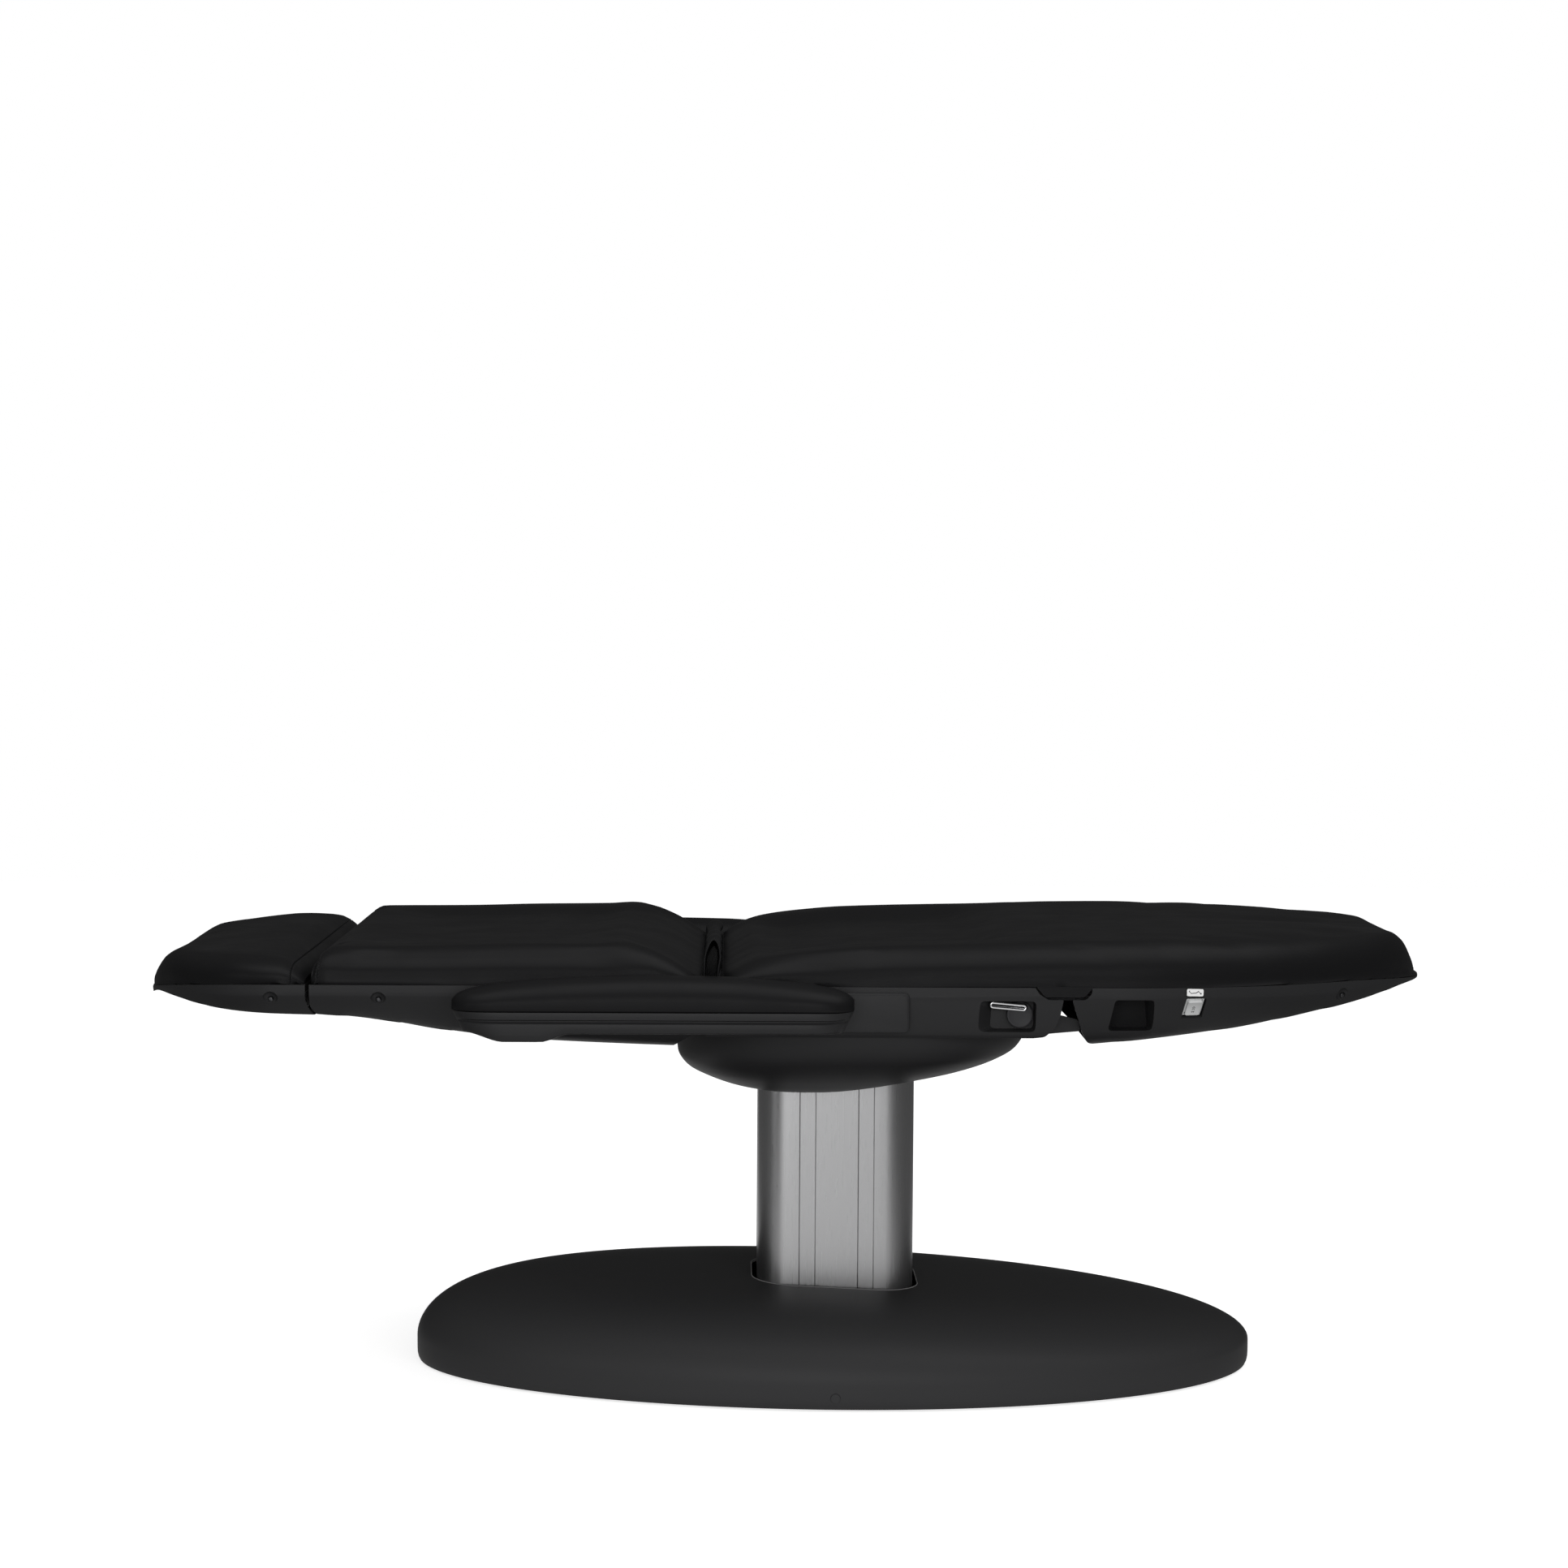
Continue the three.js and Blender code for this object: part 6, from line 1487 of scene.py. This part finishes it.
def build_gap_cheek(side, word):
    """A thin cheek behind the gap between the seat and leg shells, riding on the seat."""
    corners = beside(LEG_AXIS, (-30, 566), (27, 571), (24, 588), (4, 593), (-26, 600))
    outline = filleted(corners, (2, 4, 8, 8, 2), 4)
    return prism("gap_cheek_" + word, outline, *sorted((side * 330, side * 333)))


# Repeats made by geometry nodes
def node_tree(name, **inputs):
    """A geometry tree with named inputs after the geometry, and what these give inside it."""
    tree = bpy.data.node_groups.new(name, "GeometryNodeTree")
    for label, kind in {"Geometry": "Geometry", **inputs}.items():
        tree.interface.new_socket(label, in_out="INPUT", socket_type="NodeSocket" + kind)
    tree.interface.new_socket("Geometry", in_out="OUTPUT", socket_type="NodeSocketGeometry")
    return tree, add_node(tree, "NodeGroupInput").outputs


def facing(tree, direction):
    """A rotation that stands an upright piece along a direction."""
    return add_node(tree, "FunctionNodeAlignRotationToVector", {"Vector": direction}, axis="Z").outputs[0]


def placed(tree, material, instances):
    """The end of a tree: the piece on each point, made real, in its material."""
    spots = add_node(tree, "GeometryNodeInstanceOnPoints", instances)
    real = add_node(tree, "GeometryNodeRealizeInstances", {0: spots.outputs[0]})
    done = add_node(tree, "GeometryNodeSetMaterial", {"Geometry": real.outputs[0], "Material": material})
    add_node(tree, "NodeGroupOutput", {0: done.outputs[0]})
    return tree


def run_nodes(obj, tree, values):
    """Puts the tree on the object with its inputs set, and bakes the result into the mesh."""
    modifier = obj.modifiers.new(tree.name, "NODES")
    modifier.node_group = tree
    for item in tree.interface.items_tree:
        if item.in_out == "INPUT" and item.name in values:
            modifier[item.identifier] = values[item.name]
    bake(obj)
    return obj


def stitch_tree():
    """Stitches along the edges of a mesh: slim grains of thread, each turned to the seam."""
    tree, given = node_tree("seam stitches", Pitch="Float", Length="Float", Radius="Float", Thread="Material",
                            Seed="Int")
    line = add_node(tree, "GeometryNodeMeshToCurve", {0: given["Geometry"]})
    points = add_node(tree, "GeometryNodeResampleCurve", {"Curve": line.outputs[0], "Length": given["Pitch"]},
                      mode="LENGTH")
    ahead = add_node(tree, "GeometryNodeInputTangent")
    half = add_node(tree, "ShaderNodeMath", {0: given["Length"], 1: 0.5}, operation="MULTIPLY")
    size = add_node(tree, "ShaderNodeCombineXYZ", {
        "X": given["Radius"], "Y": given["Radius"], "Z": half.outputs[0]})
    vary = add_node(tree, "FunctionNodeRandomValue", {
        0: (0.9, 0.9, 0.92), 1: (1.1, 1.1, 1.06), "Seed": given["Seed"]}, data_type="FLOAT_VECTOR")
    scale = add_node(tree, "ShaderNodeVectorMath", {0: size.outputs[0], 1: vary.outputs[0]},
                     operation="MULTIPLY")
    thread = add_node(tree, "GeometryNodeMeshUVSphere", {"Segments": 8, "Rings": 6, "Radius": 1.0})
    return placed(tree, given["Thread"], {
        "Points": points.outputs[0], "Instance": thread.outputs["Mesh"],
        "Rotation": facing(tree, ahead.outputs[0]), "Scale": scale.outputs[0]})


# From one stitch to the next in stitch lengths, and half the thread's thickness
STITCH_PITCH = 1.3
THREAD_R = 0.38


def build_stitches(name, lines, seed):
    """Thread along lines of millimetre points that lie on a cushion."""
    verts, edges = [], []
    for line in lines:
        first = len(verts)
        verts.extend(tuple(p) for p in np.asarray(line, float) * MM)
        edges.extend((first + i, first + i + 1) for i in range(len(line) - 1))
    mesh = bpy.data.meshes.new(name)
    mesh.from_pydata(verts, edges, [])
    obj = linked(name, mesh)
    stitch = sizes().stitch
    run_nodes(obj, stitch_tree(), {"Pitch": stitch * STITCH_PITCH, "Length": stitch, "Radius": THREAD_R * MM,
                                   "Thread": finish("thread"), "Seed": seed})
    shade(obj, 60)
    return obj


# A button head's profile as (radius, height), and the corner radius of its hexagon socket
SCREW_HEAD = ((4.2, 0), (4.2, 0.7), (4.0, 1.2), (3.5, 1.75), (2.7, 2.2), (2.0, 2.4), (1.9, 2.4))
SOCKET_R = 1.55


def screw_head():
    """A button head with a hexagon socket, upright at the origin."""
    head = loft("screw head", [[(x, y, z) for x, y in circle(r, 40)] for r, z in SCREW_HEAD], 35)
    return cut(head, prism("socket", circle(SOCKET_R, 6), 1.1, 4, "XY"))


def screw_tree():
    """A screw head on each vertex, facing away from the middle of the table, each turned by chance."""
    tree, given = node_tree("shell screws", Head="Object", Metal="Material", Seed="Int")
    head = add_node(tree, "GeometryNodeObjectInfo", {"Object": given["Head"]})
    place = add_node(tree, "GeometryNodeInputPosition")
    parts = add_node(tree, "ShaderNodeSeparateXYZ", {0: place.outputs[0]})
    side = add_node(tree, "ShaderNodeMath", {0: parts.outputs["Y"]}, operation="SIGN")
    out = add_node(tree, "ShaderNodeCombineXYZ", {"Y": side.outputs[0]})
    chance = add_node(tree, "FunctionNodeRandomValue", {2: 0.0, 3: math.pi, "Seed": given["Seed"]},
                      data_type="FLOAT")
    spin = add_node(tree, "FunctionNodeAxisAngleToRotation", {"Axis": (0, 0, 1), "Angle": chance.outputs[1]})
    turned = add_node(tree, "FunctionNodeRotateRotation", {
        0: facing(tree, out.outputs[0]), 1: spin.outputs[0]}, rotation_space="LOCAL")
    return placed(tree, given["Metal"], {
        "Points": given["Geometry"], "Instance": head.outputs["Geometry"], "Rotation": turned.outputs[0]})


def build_screws(body, seed):
    """Both screws of a shell, each seated in its hollow."""
    x = SCREW_SPOTS[body]
    y, z = scoop_centre(x)
    seat = y - math.sqrt(SCOOP_R ** 2 - SCREW_SEAT ** 2) + FIT
    mesh = bpy.data.meshes.new(body + "_screws")
    mesh.from_pydata([(x * MM, side * seat * MM, z * MM) for side in (1, -1)], [], [])
    obj = linked(body + "_screws", mesh)
    head = screw_head()
    run_nodes(obj, screw_tree(), {"Head": head, "Metal": finish("blackened"), "Seed": seed})
    drop(head)
    shade(obj, 35)
    return obj


# Stage values: the floor's half side in mm, and the camera's fit to the photograph in pixels, mm and radians
FLOOR = 9000
WHITE = (1, 1, 1, 1)
FOCAL_PX = 3831.4
CAMERA_AT = (-98.5, -4938.5, 1174.4)
CAMERA_TURN = (0.0181, 0.0513, 0.0063)


def by_ray(tree, diffuse, glossy, camera):
    """One of three shaders, by the kind of ray that meets it."""
    rays = add_node(tree, "ShaderNodeLightPath").outputs
    other = add_node(tree, "ShaderNodeMixShader", {
        0: rays["Is Glossy Ray"], 1: diffuse.outputs[0], 2: glossy.outputs[0]})
    return add_node(tree, "ShaderNodeMixShader", {
        0: rays["Is Camera Ray"], 1: other.outputs[0], 2: camera.outputs[0]}).outputs[0]


# Pieces
class Piece:
    """What the operators share: they are all run by main, in order."""

    bl_options = {"REGISTER", "UNDO"}

    def execute(self, context):
        self.build(context)
        return {"FINISHED"}


class TABLE_OT_stage(Piece, bpy.types.Operator):
    """Floor, soft lights and the camera"""

    bl_idname = "table.stage"
    bl_label = "Stage"

    def build(self, context):
        stage = context.scene.table_stage
        corners = [(-FLOOR, -FLOOR, 0), (FLOOR, -FLOOR, 0), (FLOOR, FLOOR, 0), (-FLOOR, FLOOR, 0)]
        floor = new_object("floor", corners, [(0, 1, 2, 3)])
        floor.location.z = CAD_BOX[0][2]
        paint(floor, self.floor_material(stage))
        # Place, target and size in metres
        self.light("overhead", (0.3, -0.5, 3.2), (0.2, 0, 0.5), (4.4, 2.6), stage.key)
        self.light("strip", (-4.6, -3.9, 1.3), (0, 0, 0.4), (0.45, 2.6), stage.strip).visible_diffuse = False
        self.light("front", (-0.9, -7.0, 1.6), (0, 0, 0.75), (3.4, 3.1), stage.front)
        self.light("fill", (1.6, -6.0, 1.7), (0, 0, 0.5), (4.0, 1.8), stage.fill).visible_glossy = False
        world = bpy.data.worlds.new("studio")
        context.scene.world = world
        world.use_nodes = True
        tree = world.node_tree
        tree.nodes.clear()
        soft, dim, seen = (add_node(tree, "ShaderNodeBackground", {"Color": WHITE, "Strength": strength})
                           for strength in (stage.sky, stage.mirrored, 1.0))
        seen_as = by_ray(tree, soft, dim, seen)
        add_node(tree, "ShaderNodeOutputWorld", {"Surface": seen_as})
        self.camera(context)
        context.scene.view_settings.view_transform = "Standard"

    def floor_material(self, stage):
        """Plain pale floor: white to the camera, under the object's shadow; it throws back little light."""
        material, tree, shader = base_material("pale studio floor", stage.floor, 0.9)
        dull = add_node(tree, "ShaderNodeBsdfDiffuse", {"Color": (*(stage.bounce,) * 3, 1)})
        white = add_node(tree, "ShaderNodeEmission", {"Color": WHITE, "Strength": stage.white})
        lit = add_node(tree, "ShaderNodeAddShader", {0: shader.outputs[0], 1: white.outputs[0]})
        where = add_node(tree, "ShaderNodeTexCoord").outputs["Object"]
        parts = add_node(tree, "ShaderNodeSeparateXYZ", {0: where})
        aside = add_node(tree, "ShaderNodeMath", {0: parts.outputs["X"]}, operation="ABSOLUTE")
        patch = add_node(tree, "ShaderNodeMapRange", {
            "Value": aside.outputs[0], "From Min": 0.3, "From Max": 1.1,
            "To Min": stage.sheen, "To Max": 0.0})
        pale = add_node(tree, "ShaderNodeEmission", {"Color": WHITE, "Strength": patch.outputs["Result"]})
        shown = add_node(tree, "ShaderNodeAddShader", {0: dull.outputs[0], 1: pale.outputs[0]})
        out = next(n for n in tree.nodes if n.type == "OUTPUT_MATERIAL")
        tree.links.new(by_ray(tree, dull, shown, lit), out.inputs["Surface"])
        return material

    def light(self, name, place, target, size, power):
        data = bpy.data.lights.new(name, "AREA")
        data.shape = "RECTANGLE"
        data.size, data.size_y = size
        data.energy = power
        lamp = linked(name, data)
        lamp.location = place
        lamp.rotation_euler = (Vector(target) - Vector(place)).to_track_quat("-Z", "Y").to_euler()
        return lamp

    def camera(self, context):
        """The view fitted to the photograph: 1.17 m high, 4.9 m from the middle, 2.9 degrees down."""
        data = bpy.data.cameras.new("camera")
        data.sensor_width = 36
        data.lens = FOCAL_PX / PHOTO_PX * data.sensor_width
        yaw, pitch, roll = CAMERA_TURN
        ahead = Vector((math.sin(yaw) * math.cos(pitch), math.cos(yaw) * math.cos(pitch), -math.sin(pitch)))
        right = Vector((math.cos(yaw), -math.sin(yaw), 0))
        up = right.cross(ahead)
        x_axis = right * math.cos(roll) + up * math.sin(roll)
        y_axis = up * math.cos(roll) - right * math.sin(roll)
        turn = Matrix((x_axis, y_axis, -ahead)).transposed().to_4x4()
        camera = linked("camera", data)
        camera.matrix_world = Matrix.Translation(Vector(CAMERA_AT) * MM) @ turn
        context.scene.camera = camera


class TABLE_OT_finishes(Piece, bpy.types.Operator):
    """Finishes of the frame's own pieces, by their material slots"""

    bl_idname = "table.finishes"
    bl_label = "Frame finishes"

    slots = {
        "cover_plastic": "base", "shell_plastic": "shell", "upholstery": "leather",
        "column_aluminium": "inner", "frame_steel": "frame", "bright_steel": "steel", "chrome": "chrome",
        "board_wood": "board", "drive_plastic": "drive", "foot_rubber": "rubber", "lever_grey": "lever",
        "switch_grey": "switch", "plate_white": "plate",
    }

    def build(self, context):
        for row in frame["record"]["subparts"]:
            node = NODES[row["node"]]
            paint(node, finish(self.slots[row["material_slot"]]))


class TABLE_OT_base(Piece, bpy.types.Operator):
    """Base cover with its column opening"""

    bl_idname = "table.base"
    bl_label = "Base cover"

    def build(self, context):
        settle(build_base_cover(), "base", ["base_cover"], "base", 30)
        # The opening's edge is drawn pale grey: a painted highlight.
        settle(build_opening_edge(), "base", [], "edge", 35)


class TABLE_OT_column(Piece, bpy.types.Operator):
    """Aluminium column with shallow flutes"""

    bl_idname = "table.column"
    bl_label = "Column"

    def build(self, context):
        settle(build_column(), "base", ["column_outer"], "column", 25)


class TABLE_OT_tub(Piece, bpy.types.Operator):
    """Tub under the top"""

    bl_idname = "table.tub"
    bl_label = "Lift tub"

    def build(self, context):
        settle(build_tub(), "lift", ["tub"], "shell", 30)


class TABLE_OT_shells(Piece, bpy.types.Operator):
    """The four moulded shells of the top"""

    bl_idname = "table.shells"
    bl_label = "Shells"

    def build(self, context):
        for make, body, node in (
                (build_head_shell, "head", "head_shell"), (build_back_shell, "back", "back_shell"),
                (build_seat_shell, "lift", "seat_shell"), (build_leg_shell, "leg", "leg_shell")):
            shell = settle(make(), body, [node], "shell", 30)
        # The last one, the leg shell, has painted shade inside its grip: a far darker material there, and
        # rougher too.
        lx, near = LEG_AXIS[0], -GRIP_Y - 6
        paint_inside(shell, (lx + 64, near, 573), (lx + 134, near + 16, 623), finish("grip"))
        for side, word in SIDES:
            settle(build_gap_cheek(side, word), "lift", [], "shell", 30)


class TABLE_OT_cushions(Piece, bpy.types.Operator):
    """Headrest, back, and the long cushion over seat and legs"""

    bl_idname = "table.cushions"
    bl_label = "Cushions"

    def build(self, context):
        head, head_lines = head_cushion()
        settle(head, "head", ["head_cushion"], "leather", 50)
        back, back_lines = back_cushion()
        settle(back, "back", ["back_cushion"], "leather", 50)
        long, _ = mattress()
        settle(long, None, ["seat_cushion", "leg_cushion"], "leather", 50)
        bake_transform(long)
        for side, word in SIDES:
            apron = settle(build_apron(side, word), None, [], "leather", 50)
            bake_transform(apron)
        settle(build_stitches("headrest_stitches", head_lines, 4), "head", [])
        settle(build_stitches("back_stitches", back_lines, 6), "back", [])


class TABLE_OT_armrests(Piece, bpy.types.Operator):
    """Armrest pads and shells"""

    bl_idname = "table.armrests"
    bl_label = "Armrests"

    def build(self, context):
        for side, word in SIDES:
            body = "armrest_" + word
            pad = settle(build_arm_pad(side, word), body, ["armrest_pad_" + word], "pad", 50)
            shell = build_arm_shell(side, word)
            settle(shell, body, ["armrest_shell_" + word], "shell", 35)


class TABLE_OT_gaiter(Piece, bpy.types.Operator):
    """Folded flap in the gap between back and seat"""

    bl_idname = "table.gaiter"
    bl_label = "Gaiter"

    def build(self, context):
        flap = settle(build_gaiter(), "lift", ["gap_gaiter"], "leather", 60)
        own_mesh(flap)


class TABLE_OT_controls(Piece, bpy.types.Operator):
    """Release lever, rocker switch, pictogram plate and the shells' screws"""

    bl_idname = "table.controls"
    bl_label = "Controls and screws"

    def build(self, context):
        settle(build_disc(), "release", ["lever_disc"], "lever", 35)
        settle(build_loop(), "release", ["lever_loop"], "chrome", 60)
        settle(build_rocker(), "rocker", ["rocker_switch"], "switch", 35)
        settle(build_rocker_symbols(), "rocker", [], "ink")
        settle(build_label(), "leg", ["label_plate"], "plate", 35)
        settle(build_label_ink(), "leg", [], "ink")
        for seed, body in enumerate(SCREW_SPOTS, 3):
            nodes = [body + "_screw_left", body + "_screw_right"]
            settle(build_screws(body, seed), body, nodes)


class TABLE_PT_panel(bpy.types.Panel):
    """Lists the table's pieces and settings"""

    bl_idname = "TABLE_PT_panel"
    bl_label = "Treatment table"
    bl_space_type = "VIEW_3D"
    bl_region_type = "UI"
    bl_category = "Table"

    def draw(self, context):
        layout = self.layout
        for operator in OPERATORS:
            layout.operator(operator.bl_idname)
        for group in (context.scene.table_colours, context.scene.table_sizes, context.scene.table_stage):
            column = layout.column(align=True)
            for name in group.__annotations__:
                column.prop(group, name)


OPERATORS = (TABLE_OT_stage, TABLE_OT_finishes, TABLE_OT_base, TABLE_OT_column, TABLE_OT_tub, TABLE_OT_shells,
             TABLE_OT_cushions, TABLE_OT_armrests, TABLE_OT_gaiter, TABLE_OT_controls)
GROUPS = {"table_colours": TableColours, "table_sizes": TableSizes, "table_stage": TableStage}


def register():
    for cls in (*GROUPS.values(), *OPERATORS, TABLE_PT_panel):
        bpy.utils.register_class(cls)
    for name, cls in GROUPS.items():
        setattr(bpy.types.Scene, name, bpy.props.PointerProperty(type=cls))


def unregister():
    for name in GROUPS:
        delattr(bpy.types.Scene, name)
    for cls in (TABLE_PT_panel, *reversed(OPERATORS), *GROUPS.values()):
        bpy.utils.unregister_class(cls)


def main():
    register()
    for operator in OPERATORS:
        group, name = operator.bl_idname.split(".")
        getattr(getattr(bpy.ops, group), name)()


if __name__ == "__main__":
    main()
